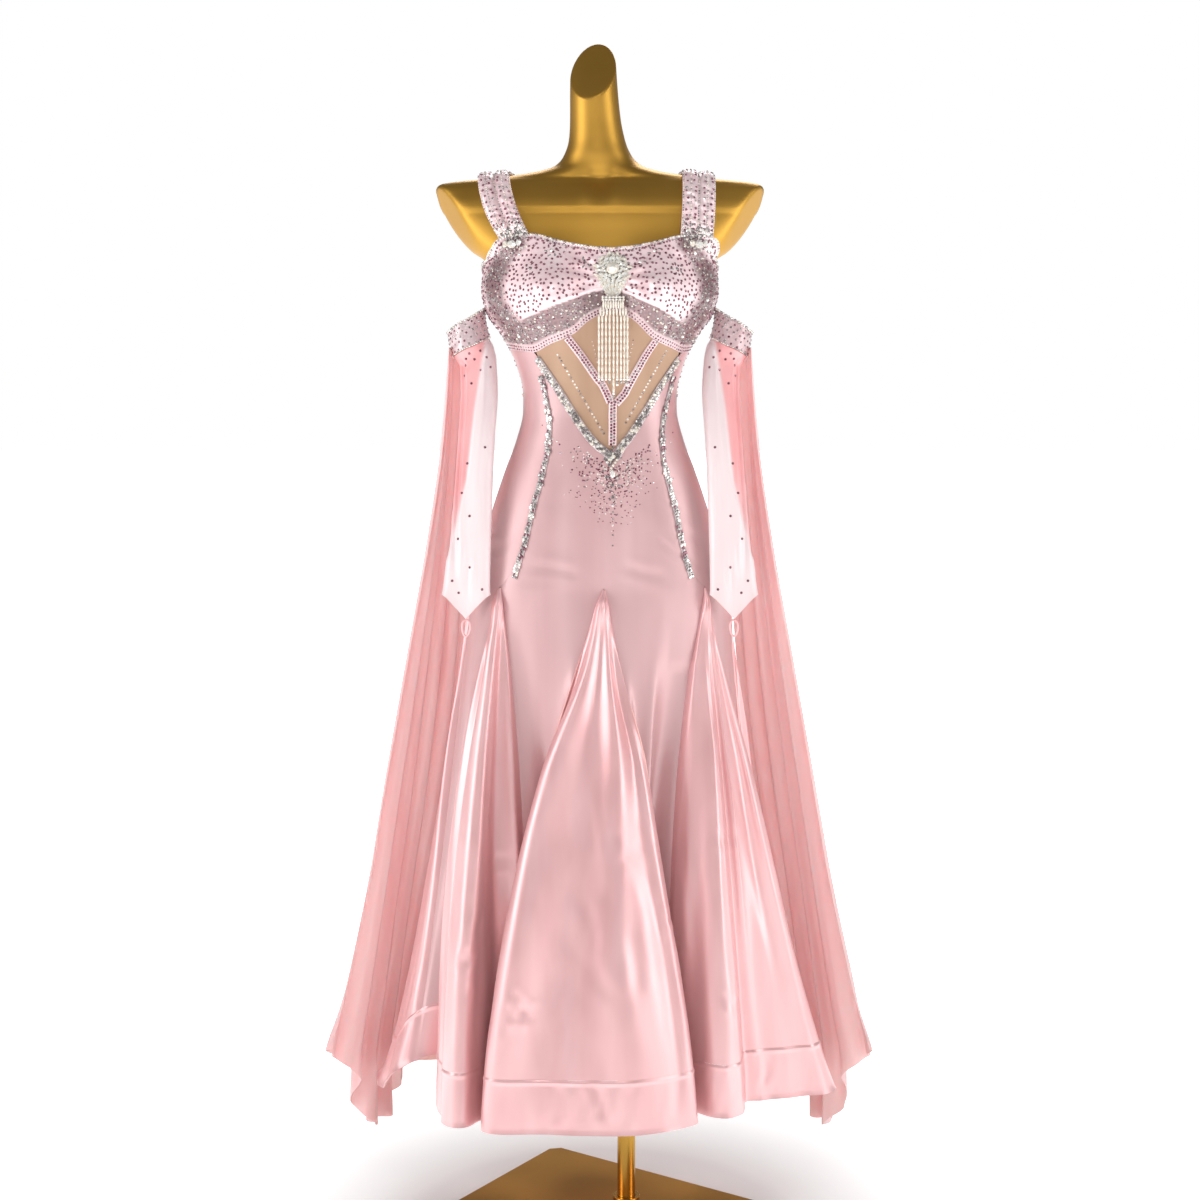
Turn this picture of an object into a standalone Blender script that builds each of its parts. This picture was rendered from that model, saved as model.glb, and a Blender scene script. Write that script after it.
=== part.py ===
"""Ballroom dance dress on a limbless dress form, with pole and base plate.

Metres, +Z up, the floor at z = 0.  The dress front faces -Y and its left-hand side as
seen from the front is -X.  Every wall of cloth comes from one surface: the torso above
WAIST_FLARE and the fluted skirt below it, so neighbouring pieces share their seam lines.
"""
import math

import bpy
import bmesh
from mathutils import Vector

NAME = "ballroom_dance_dress"

# ---- driving sizes -------------------------------------------------------------------
CLOTH = 0.0014            # satin wall
SEAM = 0.00024            # each piece stops this far short of its seam line
FORM_INSET = 0.0030       # the form's skin lies this far inside the cloth
FLARE_TOP = 0.910         # height of the godets' points
BAND = 0.068              # height of the stiffened hem band
FORM_BOTTOM = 0.868
PLATE = 0.010             # base plate thickness
PLATE_SIDES = (0.294, 0.458)
PLATE_CENTRE = (0.037, 0.0)
PLATE_TURN = math.radians(-34.1)
POLE_RADIUS = 0.0125
POLE_XY = (0.037, 0.0)
GAP = 0.0003

# ---- torso: one row a height ---------------------------------------------------------
TORSO = (
    # z, half width, front depth, back depth, centre x, centre y
    (0.850, 0.1775, 0.1000, 0.1120, 0.000, 0.000),
    (0.897, 0.1735, 0.1010, 0.1150, 0.000, 0.000),
    (0.938, 0.1637, 0.1000, 0.1165, 0.000, 0.000),
    (0.979, 0.1526, 0.0980, 0.1130, 0.000, 0.000),
    (1.020, 0.1400, 0.0950, 0.1040, 0.000, 0.000),
    (1.060, 0.1262, 0.0910, 0.0900, 0.000, 0.000),
    (1.100, 0.1112, 0.0860, 0.0770, 0.000, 0.000),
    (1.141, 0.1017, 0.0820, 0.0690, 0.000, 0.000),
    (1.161, 0.1015, 0.0820, 0.0680, 0.000, 0.000),
    (1.201, 0.1105, 0.0850, 0.0730, 0.000, 0.000),
    (1.241, 0.1300, 0.0880, 0.0810, 0.000, 0.000),
    (1.271, 0.1500, 0.0890, 0.0870, 0.000, 0.000),
    (1.300, 0.1560, 0.0880, 0.0920, 0.000, 0.000),
    (1.322, 0.1545, 0.0840, 0.0950, 0.000, 0.001),
    (1.337, 0.1560, 0.0800, 0.0950, 0.000, 0.002),
    (1.350, 0.1740, 0.0760, 0.0940, 0.000, 0.003),
    (1.372, 0.1980, 0.0700, 0.0910, 0.000, 0.005),
    (1.395, 0.2180, 0.0640, 0.0850, 0.000, 0.007),
    (1.415, 0.2300, 0.0570, 0.0770, 0.000, 0.009),
    (1.430, 0.2290, 0.0480, 0.0640, 0.000, 0.011),
    (1.440, 0.2120, 0.0410, 0.0520, 0.000, 0.012),
    (1.447, 0.1500, 0.0380, 0.0440, 0.000, 0.013),
    (1.454, 0.0950, 0.0385, 0.0425, -0.001, 0.013),
    (1.463, 0.0600, 0.0385, 0.0410, -0.002, 0.012),
    (1.476, 0.0468, 0.0390, 0.0410, -0.003, 0.011),
    (1.496, 0.0388, 0.0370, 0.0390, -0.004, 0.009),
    (1.522, 0.0350, 0.0350, 0.0370, -0.006, 0.006),
    (1.560, 0.0328, 0.0340, 0.0350, -0.008, 0.002),
    (1.600, 0.0310, 0.0330, 0.0340, -0.009, -0.001),
    (1.650, 0.0290, 0.0310, 0.0320, -0.010, -0.003),
)
BUST = (
    # centre x, centre z, depth, spread x, spread z
    (-0.066, 1.288, 0.030, 0.038, 0.037),
    (0.072, 1.288, 0.030, 0.038, 0.037),
)
ARM_CUT = ((0.2162, 0.012, 1.4312), (0.842, -0.400, -0.382))    # point, normal
NECK_CUT = ((-0.010, 0.000, 1.586), (-0.210, -0.780, 0.600))

# ---- seam lines on the torso, angles in degrees from the front, + towards +X -----------
PRINCESS = (
    # z, left angle, right angle
    (0.910, -47.5, 50.8),
    (0.930, -40.5, 43.8),
    (0.963, -36.0, 40.2),
    (1.018, -34.6, 40.6),
    (1.060, -32.7, 39.8),
    (1.090, -33.0, 42.0),
    (1.130, -36.5, 50.0),
    (1.169, -42.0, 61.0),
    (1.217, -44.5, 64.0),
)
SIDE_SEAM = 92.0
BACK_SEAM = 137.0
CENTRE_FRONT = 5.0
NECKLINE = (
    # angle, height of the bust pieces' top edge
    (-92.0, 1.330), (-78.0, 1.336), (-54.0, 1.350), (-42.0, 1.3640), (-34.0, 1.3690),
    (-25.0, 1.3690), (-16.5, 1.361), (-7.0, 1.354), (3.0, 1.3505), (13.4, 1.353),
    (23.0, 1.360), (30.5, 1.3670), (40.0, 1.3690), (49.3, 1.3660), (65.0, 1.347),
    (80.0, 1.336), (92.0, 1.330),
)
UNDERBUST = (
    # angle, height of the bust pieces' lower edge
    (-92.0, 1.222), (-70.0, 1.2205), (-44.5, 1.2170), (-28.0, 1.2275), (-12.5, 1.2400),
    (-3.0, 1.2590), (5.0, 1.2700), (12.0, 1.2620), (30.3, 1.2335), (45.0, 1.2240),
    (64.0, 1.2170), (92.0, 1.2200),
)
INSERT_POINT = (5.0, 1.0870)        # lowest point of the mesh insert: angle, height
BACK_TOP = (
    # angle either side of the centre back, height of the back bodice's top edge
    (88.0, 1.330), (72.0, 1.338), (56.0, 1.356), (46.0, 1.368), (28.0, 1.368),
    (16.0, 1.340), (0.0, 1.322),
)
BACK_COLUMNS = (92.0, 98.5, 105.0, 112.5, 120.0, 128.5, 137.0, 146.0, 155.0, 161.5, 168.0,
                174.0, 180.0)
BACK_WAIST = (
    # angle either side of the centre back, height of the back bodice's lower edge
    (88.0, 1.156), (60.0, 1.146), (30.0, 1.128), (0.0, 1.112),
)

# ---- skirt: one row a fold, going round from the centre back by the -X side ------------
# angle = where the fold starts on the hips, x y = where it meets the floor plan of the hem,
# hem = the hem's height there, spread = how early it reaches that plan (1 = a straight
# line), seam = the piece that starts here
FOLDS = (
    # angle, x, y, hem, spread, seam
    (-180.0, -0.078, 0.238, 0.200, 0.9, "centre_back_a"),
    (-168.0, -0.082, 0.205, 0.200, 0.9, ""),
    (-155.0, -0.098, 0.190, 0.200, 0.9, ""),
    (-137.0, -0.124, 0.200, 0.200, 0.9, "godet_back_l"),
    (-137.0, -0.150, 0.228, 0.200, 1.0, ""),
    (-137.0, -0.190, 0.238, 0.200, 1.0, ""),
    (-137.0, -0.224, 0.212, 0.200, 1.0, ""),
    (-137.0, -0.236, 0.172, 0.200, 1.0, ""),
    (-137.0, -0.216, 0.136, 0.200, 0.9, "side_back_l"),
    (-120.0, -0.212, 0.108, 0.203, 0.8, ""),
    (-105.0, -0.226, 0.088, 0.206, 0.7, ""),
    (-92.0, -0.250, 0.078, 0.208, 0.6, "godet_side_l"),
    (-92.0, -0.280, 0.060, 0.209, 0.6, ""),
    (-92.0, -0.302, 0.022, 0.211, 0.65, ""),
    (-92.0, -0.306, -0.024, 0.215, 0.75, ""),
    (-92.0, -0.300, -0.066, 0.224, 0.8, ""),
    (-92.0, -0.278, -0.100, 0.250, 0.8, ""),
    (-92.0, -0.248, -0.112, 0.276, 0.9, "side_front_l"),
    (-76.0, -0.222, -0.108, 0.284, 1.0, ""),
    (-62.0, -0.206, -0.118, 0.272, 1.2, ""),
    (-47.5, -0.200, -0.144, 0.252, 2.1, "godet_front_l"),
    (-47.5, -0.210, -0.175, 0.238, 2.0, ""),
    (-47.5, -0.205, -0.207, 0.231, 2.0, ""),
    (-47.5, -0.184, -0.222, 0.230, 1.8, ""),
    (-47.5, -0.160, -0.205, 0.230, 1.8, ""),
    (-47.5, -0.130, -0.172, 0.230, 2.2, ""),
    (-47.5, -0.096, -0.148, 0.230, 2.8, "centre_front_a"),
    (-38.0, -0.066, -0.130, 0.230, 2.4, ""),
    (-26.0, -0.050, -0.126, 0.230, 1.6, ""),
    (-12.0, -0.050, -0.142, 0.230, 2.8, ""),
    (1.0, -0.074, -0.167, 0.230, 3.4, "godet_front"),
    (1.0, -0.120, -0.189, 0.230, 1.9, ""),
    (1.0, -0.150, -0.210, 0.230, 1.7, ""),
    (1.0, -0.150, -0.233, 0.230, 1.7, ""),
    (1.0, -0.122, -0.247, 0.230, 1.5, ""),
    (1.0, -0.072, -0.252, 0.230, 1.2, ""),
    (1.0, -0.012, -0.254, 0.230, 1.1, ""),
    (1.0, 0.048, -0.249, 0.230, 1.1, ""),
    (1.0, 0.098, -0.236, 0.230, 1.1, ""),
    (1.0, 0.124, -0.214, 0.230, 1.2, ""),
    (1.0, 0.112, -0.190, 0.230, 1.4, ""),
    (1.0, 0.080, -0.168, 0.230, 2.0, "centre_front_b"),
    (16.0, 0.052, -0.146, 0.230, 1.4, ""),
    (28.0, 0.046, -0.126, 0.230, 1.8, ""),
    (40.0, 0.062, -0.119, 0.230, 2.6, ""),
    (50.8, 0.090, -0.137, 0.230, 3.0, "godet_front_r"),
    (50.8, 0.118, -0.162, 0.230, 2.6, ""),
    (50.8, 0.142, -0.188, 0.230, 2.0, ""),
    (50.8, 0.166, -0.197, 0.230, 1.6, ""),
    (50.8, 0.187, -0.184, 0.230, 1.3, ""),
    (50.8, 0.190, -0.156, 0.228, 1.2, ""),
    (50.8, 0.192, -0.130, 0.228, 1.2, ""),
    (50.8, 0.216, -0.118, 0.228, 1.1, ""),
    (50.8, 0.258, -0.118, 0.228, 1.0, ""),
    (50.8, 0.296, -0.110, 0.228, 1.0, ""),
    (50.8, 0.312, -0.084, 0.226, 0.9, ""),
    (50.8, 0.300, -0.056, 0.222, 0.8, "side_front_r"),
    (64.0, 0.276, -0.043, 0.220, 0.7, ""),
    (78.0, 0.262, -0.022, 0.218, 0.6, ""),
    (92.0, 0.274, 0.000, 0.215, 0.5, "godet_side_r"),
    (92.0, 0.298, 0.012, 0.213, 0.5, ""),
    (92.0, 0.304, 0.044, 0.211, 0.5, ""),
    (92.0, 0.285, 0.070, 0.209, 0.6, ""),
    (92.0, 0.254, 0.080, 0.208, 0.6, "side_back_r"),
    (105.0, 0.228, 0.088, 0.206, 0.7, ""),
    (120.0, 0.212, 0.108, 0.203, 0.8, ""),
    (137.0, 0.216, 0.136, 0.200, 0.9, "godet_back_r"),
    (137.0, 0.236, 0.172, 0.200, 1.0, ""),
    (137.0, 0.224, 0.212, 0.200, 1.0, ""),
    (137.0, 0.190, 0.238, 0.200, 1.0, ""),
    (137.0, 0.150, 0.228, 0.200, 1.0, ""),
    (137.0, 0.124, 0.200, 0.200, 0.9, "centre_back_b"),
    (155.0, 0.098, 0.190, 0.200, 0.9, ""),
    (168.0, 0.082, 0.205, 0.200, 0.9, ""),
    (180.0, 0.078, 0.238, 0.200, 0.9, "godet_back"),
    (180.0, 0.082, 0.268, 0.200, 1.0, ""),
    (180.0, 0.050, 0.292, 0.200, 1.0, ""),
    (180.0, 0.000, 0.300, 0.200, 1.0, ""),
    (180.0, -0.050, 0.292, 0.200, 1.0, ""),
    (180.0, -0.082, 0.268, 0.200, 1.0, ""),
)
DROPS = (0.0, 0.10, 0.19, 0.31, 0.45, 0.60, 0.76)   # rows down to the band
POINT_DROP = 0.020                                         # a godet's own point
PLAIN_ABOVE = 0.34                                         # drop below which folds open
FRONT_STEPS, BACK_STEPS = 2, 1                             # columns to a fold

# ---- colours -------------------------------------------------------------------------
LOOKS = {
    # base colour, roughness, metallic
    "satin": ((0.80, 0.46, 0.46), 0.28, 0.0),
    "bust": ((0.74, 0.42, 0.45), 0.35, 0.0),
    "mesh": ((0.56, 0.36, 0.25), 0.75, 0.0),
    "chiffon": ((0.83, 0.36, 0.36), 0.70, 0.0),
    "stones": ((0.62, 0.56, 0.56), 0.22, 0.6),
    "beads": ((0.86, 0.82, 0.78), 0.20, 0.1),
    "gold": ((0.45, 0.27, 0.05), 0.30, 1.0),
    "plate": ((0.24, 0.15, 0.05), 0.25, 1.0),
}


# ---- helpers -------------------------------------------------------------------------
def clear_scene():
    for item in list(bpy.data.objects):
        bpy.data.objects.remove(item, do_unlink=True)


def collection(label):
    made = bpy.data.collections.new(label)
    bpy.context.scene.collection.children.link(made)
    return made


def material(label, look):
    colour, rough, metal = LOOKS[look]
    made = bpy.data.materials.new(label)
    made.use_nodes = True
    shader = made.node_tree.nodes["Principled BSDF"]
    shader.inputs["Base Color"].default_value = (*colour, 1.0)
    shader.inputs["Roughness"].default_value = rough
    shader.inputs["Metallic"].default_value = metal
    return made


def mesh_object(label, verts, faces, look, group):
    mesh = bpy.data.meshes.new(label)
    mesh.from_pydata([tuple(v) for v in verts], [], faces)
    bm = bmesh.new()
    bm.from_mesh(mesh)
    bmesh.ops.recalc_face_normals(bm, faces=bm.faces)
    bm.to_mesh(mesh)
    bm.free()
    made = bpy.data.objects.new(label, mesh)
    made.data.materials.append(material(label + "_look", look))
    group.objects.link(made)
    return made


def through(rows, value, column):
    """Smooth curve through a table's rows, never over- or undershooting them."""
    if rows[0][0] > rows[-1][0]:
        rows = rows[::-1]
    if value <= rows[0][0]:
        return rows[0][column]
    if value >= rows[-1][0]:
        return rows[-1][column]
    i = 0
    while rows[i + 1][0] < value:
        i += 1

    def rise(k):
        return (rows[k + 1][column] - rows[k][column]) / (rows[k + 1][0] - rows[k][0])

    def slope(k):
        if k == 0 or k == len(rows) - 1:
            return rise(i)
        a, b = rise(k - 1), rise(k)
        return 0.0 if a * b <= 0.0 else 2.0 * a * b / (a + b)

    span = rows[i + 1][0] - rows[i][0]
    t = (value - rows[i][0]) / span
    return ((2 * t ** 3 - 3 * t ** 2 + 1) * rows[i][column]
            + (t ** 3 - 2 * t ** 2 + t) * span * slope(i)
            + (3 * t ** 2 - 2 * t ** 3) * rows[i + 1][column]
            + (t ** 3 - t ** 2) * span * slope(i + 1))


def mix(a, b, t):
    return a + (b - a) * t


# ---- the torso's surface ---------------------------------------------------------------
def roundness(z):
    return 2.3 - 0.3 * min(1.0, max(0.0, (z - 1.30) / 0.12))


def torso(angle, z, bust=1.0):
    c, s = math.cos(math.radians(angle)), math.sin(math.radians(angle))
    power = 2.0 / roundness(z)
    depth = through(TORSO, z, 2 if c > 0 else 3)
    x = through(TORSO, z, 1) * math.copysign(abs(s) ** power, s)
    y = -depth * math.copysign(abs(c) ** power, c)
    if c > 0.0:
        for bx, bz, amount, wide, tall in BUST:
            rise = (z - bz) / (tall * (1.25 if z > bz else 1.0))
            y -= bust * amount * math.exp(-((x - bx) / wide) ** 2 - rise ** 2) * min(1.0, c * 2.2)
    return Vector((x + through(TORSO, z, 4), y + through(TORSO, z, 5), z))


def torso_normal(angle, z):
    along = torso(angle + 0.8, z) - torso(angle - 0.8, z)
    up = torso(angle, z + 0.002) - torso(angle, z - 0.002)
    return along.cross(up).normalized()


def on_torso(angle, z, out=0.0):
    return torso(angle, z) + torso_normal(angle, z) * out


def angle_at(x, z):
    """Angle on the front where the torso has this x."""
    low, high = -89.0, 89.0
    for _ in range(40):
        middle = 0.5 * (low + high)
        if torso(middle, z).x < x:
            low = middle
        else:
            high = middle
    return 0.5 * (low + high)


# ---- the skirt's surface ---------------------------------------------------------------
def fold_value(c, column):
    """A column of FOLDS at position c round the skirt, by a rounded curve."""
    count = len(FOLDS)
    i = math.floor(c)
    t = c - i

    def row(k):
        value = FOLDS[k % count][column]
        if column == 0:
            turns = math.floor(k / count)
            return value + 360.0 * turns
        return value

    if column == 0:
        if FOLDS[i % count][0] == 180.0:
            return 180.0
        return mix(row(i), row(i + 1), t)
    p0, p1, p2, p3 = row(i - 1), row(i), row(i + 1), row(i + 2)
    return 0.5 * (2 * p1 + (p2 - p0) * t + (2 * p0 - 5 * p1 + 4 * p2 - p3) * t * t
                  + (3 * p1 - p0 - 3 * p2 + p3) * t ** 3)


def godet_run(c):
    """First and last position of the godet that c lies on, or None on a panel."""
    count = len(FOLDS)
    turn = math.floor(c / count) * count
    i = math.floor(c) % count
    if "godet" not in next(FOLDS[k][5] for k in range(i, -1, -1) if FOLDS[k][5]):
        return None
    first = next(k for k in range(i, -1, -1) if FOLDS[k][5])
    last = i + 1
    while not FOLDS[last % count][5]:
        last += 1
    return first + turn, last + turn


def skirt(c, drop):
    """Point of the skirt at position c, drop = 0 at the godets' points and 1 at the hem.
    Near its point a godet is one plain arch, and opens into its own fold below."""
    spot = cone(c, drop)
    run = godet_run(c)
    if run and drop < PLAIN_ABOVE:
        a, b, m = (cone(k, drop) for k in (run[0], run[1], 0.5 * (run[0] + run[1])))
        t = (c - run[0]) / (run[1] - run[0])
        arch = a + (b - a) * t + (m - (a + b) * 0.5) * math.sin(math.pi * t)
        share = drop / PLAIN_ABOVE
        share = share * share * (3.0 - 2.0 * share)
        spot = Vector((mix(arch.x, spot.x, share), mix(arch.y, spot.y, share), spot.z))
    return spot


def cone(c, drop):
    start = torso(fold_value(c, 0), FLARE_TOP)
    spread = fold_value(c, 4)
    side = 1.0 - (1.0 - drop) ** spread if drop < 1.0 else 1.0
    ahead = 1.0 - (1.0 - drop) ** min(spread, 1.15) if drop < 1.0 else 1.0
    x = mix(start.x, fold_value(c, 1), side)
    y = mix(start.y, fold_value(c, 2), ahead)
    z = mix(FLARE_TOP, fold_value(c, 3), drop)
    if z > FORM_BOTTOM - 0.06:
        half, depth = through(TORSO, z, 1), through(TORSO, z, 2 if y < 0 else 3)
        reach = ((abs(x) / half) ** 2.3 + (abs(y) / depth) ** 2.3) ** (1 / 2.3)
        if reach < 1.002:
            x, y = x * 1.002 / reach, y * 1.002 / reach
    return Vector((x, y, z))


def skirt_normal(c, drop):
    d = max(0.02, min(0.98, drop))
    along = skirt(c + 0.12, d) - skirt(c - 0.12, d)
    up = skirt(c, d - 0.015) - skirt(c, d + 0.015)
    return along.cross(up).normalized()


# ---- walls -----------------------------------------------------------------------------
def wall(label, cells, skin, look, group, thick=CLOTH, relief=None):
    """Closed wall over a sheet of cells.  skin(key) gives a point and its outward normal;
    relief(key, point) raises the outer point of thick applique."""
    verts, inner, outer, faces, edges = [], {}, {}, [], {}

    def corner(key):
        if key not in inner:
            point, normal = skin(key)
            lift = relief(key, point) if relief else 0.0
            inner[key] = len(verts)
            verts.append(point)
            outer[key] = len(verts)
            verts.append(point + normal * (thick + lift))

    def split(cell):
        """Both faces of the wall fold along the same, shorter, diagonal."""
        if len(cell) == 3:
            return [cell]
        a, b, c, d = cell
        spot = [verts[outer[key]] for key in cell]
        if (spot[0] - spot[2]).length <= (spot[1] - spot[3]).length:
            return [[a, b, c], [a, c, d]]
        return [[a, b, d], [b, c, d]]

    for cell in cells:
        for key in cell:
            corner(key)
        for part in split(cell):
            faces.append([outer[key] for key in part])
            faces.append([inner[key] for key in reversed(part)])
        for a, b in zip(cell, cell[1:] + cell[:1]):
            edges[(a, b)] = edges.get((a, b), 0) + 1
    for a, b in edges:
        if (b, a) not in edges:
            faces.append([outer[b], outer[a], inner[a], inner[b]])
    return mesh_object(label, verts, faces, look, group)


def grid_cells(rows, columns):
    """Quads between successive rows; rows and columns are lists of keys."""
    return [[(rows[i], columns[j]), (rows[i + 1], columns[j]),
             (rows[i + 1], columns[j + 1]), (rows[i], columns[j + 1])]
            for i in range(len(rows) - 1) for j in range(len(columns) - 1)]


def seam_index(piece):
    """Positions on FOLDS between which a piece lies."""
    count = len(FOLDS)
    first = next(i for i in range(count) if FOLDS[i][5] == piece)
    last = first + 1
    while not FOLDS[last % count][5]:
        last += 1
    return first, last


def stops(first, last, each):
    return [first + k / each for k in range((last - first) * each + 1)]


def skirt_point(c, drop, first, last):
    """Skirt point kept clear of the seams at first and last."""
    width = (skirt(c + 0.05, drop) - skirt(c - 0.05, drop)).length / 0.1
    inset = min(0.3, SEAM / max(width, 1e-4))
    place = c
    if c == first:
        place = c + inset
    elif c == last:
        place = c - inset
    return skirt(place, drop), skirt_normal(c, drop)


def band_drop(c, up=BAND):
    return 1.0 - up / (FLARE_TOP - fold_value(c, 3))


def skirt_rows():
    return list(DROPS) + [1.0]


def drop_at(row, c):
    """Rows above the band; the last one is the band's seam less its gap."""
    if row == len(DROPS):
        return band_drop(c, BAND + SEAM)
    return DROPS[row] * band_drop(c, BAND) / 0.92


def godet(label, piece, group):
    first, last = seam_index(piece)
    columns = stops(first, last, BACK_STEPS if "back" in label else FRONT_STEPS)
    middle = 0.5 * (first + last)

    def skin(key):
        row, c = key
        if row == 0:
            return skirt(middle, POINT_DROP), skirt_normal(middle, 0.03)
        return skirt_point(c, drop_at(row, c), first, last)

    rows = list(range(1, len(DROPS) + 1))
    cells = grid_cells(rows, columns)
    top = (0, middle)
    for a, b in zip(columns, columns[1:]):
        cells.append([top, (1, a), (1, b)])
    return wall(label, cells, skin, "satin", group)


CENTRE = ((0.910, 1.0), (1.087, 5.0), (1.217, 5.0))      # height, angle of the centre front


def seam_angle(z, side):
    return through(PRINCESS, z, 1 if side < 0 else 2)


def panel(label, legs, left_seam, right_seam, top_line, heights, group):
    """A dress panel: one sheet on the torso, and below the godets' points one leg for
    each run of folds in legs.  top_line(angle) is its upper edge."""
    runs = [seam_index(piece) for piece in legs]
    each = FRONT_STEPS
    columns, share = [], {}
    for k, (first, last) in enumerate(runs):
        for c in stops(first, last, each):
            columns.append((k, c))
            angle = fold_value(c, 0) if c < last else FOLDS[(last - 1) % len(FOLDS)][0]
            if c == last:
                nxt = FOLDS[last % len(FOLDS)][0]
                angle = nxt if abs(nxt - angle) < 90 else nxt + 360.0
            share[(k, c)] = angle
    a0 = share[columns[0]]
    a1 = share[columns[-1]]
    if a1 < a0:
        a1 += 360.0
    for key in share:
        value = share[key]
        if value < a0 - 1e-6:
            value += 360.0
        share[key] = (value - a0) / (a1 - a0)

    def merged(key):
        """The two legs meet in one column above the godet's point."""
        k, c = key
        if k > 0 and c == runs[k][0]:
            return (k - 1, runs[k - 1][1])
        return key

    upper = []
    for key in columns:
        if merged(key) not in upper:
            upper.append(merged(key))

    def angle_across(z, part):
        if label != "centre_front":
            return mix(left_seam(z), right_seam(z), part)
        middle, half = through(CENTRE, z, 1), share[(0, runs[0][1])]
        if part <= half:
            return mix(left_seam(z), middle, part / half)
        return mix(middle, right_seam(z), (part - half) / (1.0 - half))

    def skin(key):
        row, column = key
        k, c = column
        first, last = runs[k]
        if isinstance(row, int) and row > 0:
            return skirt_point(c, drop_at(row, c), first, last)
        level = 0.0 if row == 0 else -row          # share of the height to the top edge
        part = share[column]
        high = top_line(angle_across(1.217, part))
        for _ in range(20):
            high = 0.5 * (high + top_line(angle_across(high, part)))
        z = mix(FLARE_TOP, high, level)
        angle = angle_across(z, part)
        reach = (torso(angle + 0.5, z) - torso(angle - 0.5, z)).length
        inset = SEAM / reach
        if part == 0.0:
            angle += inset
        elif part == 1.0:
            angle -= inset
        return torso(angle, z), torso_normal(angle, z)

    rows = [-h for h in reversed(heights)] + [0]
    cells = grid_cells(rows, upper)
    for k, (first, last) in enumerate(runs):
        own = [(k, c) for c in stops(first, last, each)]
        joined = [merged(key) for key in own]
        for j in range(len(own) - 1):
            cells.append([(0, joined[j]), (1, own[j]), (1, own[j + 1]), (0, joined[j + 1])])
        cells += grid_cells(list(range(1, len(DROPS) + 1)), own)
    return wall(label, cells, skin, "satin", group)


def upper_piece(label, angles, top, bottom, rows, look, group, thick=CLOTH, relief=None,
                out=0.0):
    """A piece that stays on the torso, between two lines over a list of angles."""
    first, last = angles[0], angles[-1]

    def skin(key):
        level, angle = key
        z = mix(bottom(angle) + SEAM, top(angle), level)
        place = angle
        if angle in (first, last):
            inset = SEAM / (torso(angle + 0.5, z) - torso(angle - 0.5, z)).length
            place = angle + (inset if angle == first else -inset)
        return on_torso(place, z, out), torso_normal(place, z)

    levels = [1.0 - k / rows for k in range(rows + 1)]
    return wall(label, grid_cells(levels, angles), skin, look, group, thick, relief)


def spaced(a, b, count):
    return [mix(a, b, k / count) for k in range(count + 1)]


# ---- the bodice ------------------------------------------------------------------------
MOTIFS = (
    # x, z, radius, height of thick lace applique on the bust
    (-0.112, 1.345, 0.017, 0.0022), (-0.140, 1.318, 0.016, 0.0022), (-0.136, 1.285, 0.015, 0.0018),
    (-0.118, 1.262, 0.016, 0.0022), (-0.104, 1.238, 0.015, 0.0022), (-0.078, 1.250, 0.012, 0.0016),
    (-0.062, 1.345, 0.013, 0.0016), (-0.088, 1.322, 0.012, 0.0014), (-0.020, 1.330, 0.011, 0.0016),
    (0.122, 1.345, 0.017, 0.0022), (0.142, 1.318, 0.016, 0.0022), (0.138, 1.285, 0.015, 0.0018),
    (0.120, 1.262, 0.016, 0.0022), (0.106, 1.238, 0.015, 0.0022), (0.084, 1.250, 0.012, 0.0016),
    (0.070, 1.345, 0.013, 0.0016), (0.098, 1.322, 0.012, 0.0014), (0.052, 1.330, 0.011, 0.0016),
)


def applique(_key, point):
    lift = 0.0
    for x, z, radius, height in MOTIFS:
        far = math.hypot(point.x - x, point.z - z) / radius
        if far < 1.0 and point.y < 0.02:
            lift = max(lift, height * (1.0 - far ** 2))
    return lift


def neckline(angle):
    return through(NECKLINE, angle, 1)


def underbust(angle):
    return through(UNDERBUST, angle, 1)


def insert_edge(angle):
    """The V below the mesh insert."""
    low, point = INSERT_POINT[1], INSERT_POINT[0]
    if angle < point:
        return mix(low, 1.217, (point - angle) / (point + 44.5))
    return mix(low, 1.217, (angle - point) / (64.0 - point))


def back_line(rows, angle):
    return through(rows, abs(180.0 - abs(angle)), 1)


def bodice(group):
    side = SIDE_SEAM
    upper_piece("bust_l", spaced(-side, CENTRE_FRONT, 15), neckline, underbust, 8, "bust",
                group, relief=applique)
    upper_piece("bust_r", spaced(CENTRE_FRONT, side, 15), neckline, underbust, 8, "bust",
                group, relief=applique)
    for tag, a, b in (("l", -180.0, -side), ("r", side, 180.0)):
        upper_piece("bodice_back_" + tag, sorted(math.copysign(k, b if tag == "r" else a)
                                                   for k in BACK_COLUMNS),
                    lambda angle: back_line(BACK_TOP, angle),
                    lambda angle: back_line(BACK_WAIST, angle) + SEAM, 7, "bust", group)
    # the mesh insert stops short of the V's two thin tips
    inner = [a for a in spaced(-side, CENTRE_FRONT, 15) + spaced(CENTRE_FRONT, side, 15)[1:]
             if -42.0 < a < 60.0]
    upper_piece("mesh_insert", inner, lambda angle: underbust(angle) - 2 * SEAM,
                lambda angle: insert_edge(angle) + 3 * SEAM, 3, "mesh", group, thick=0.0010)


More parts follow.
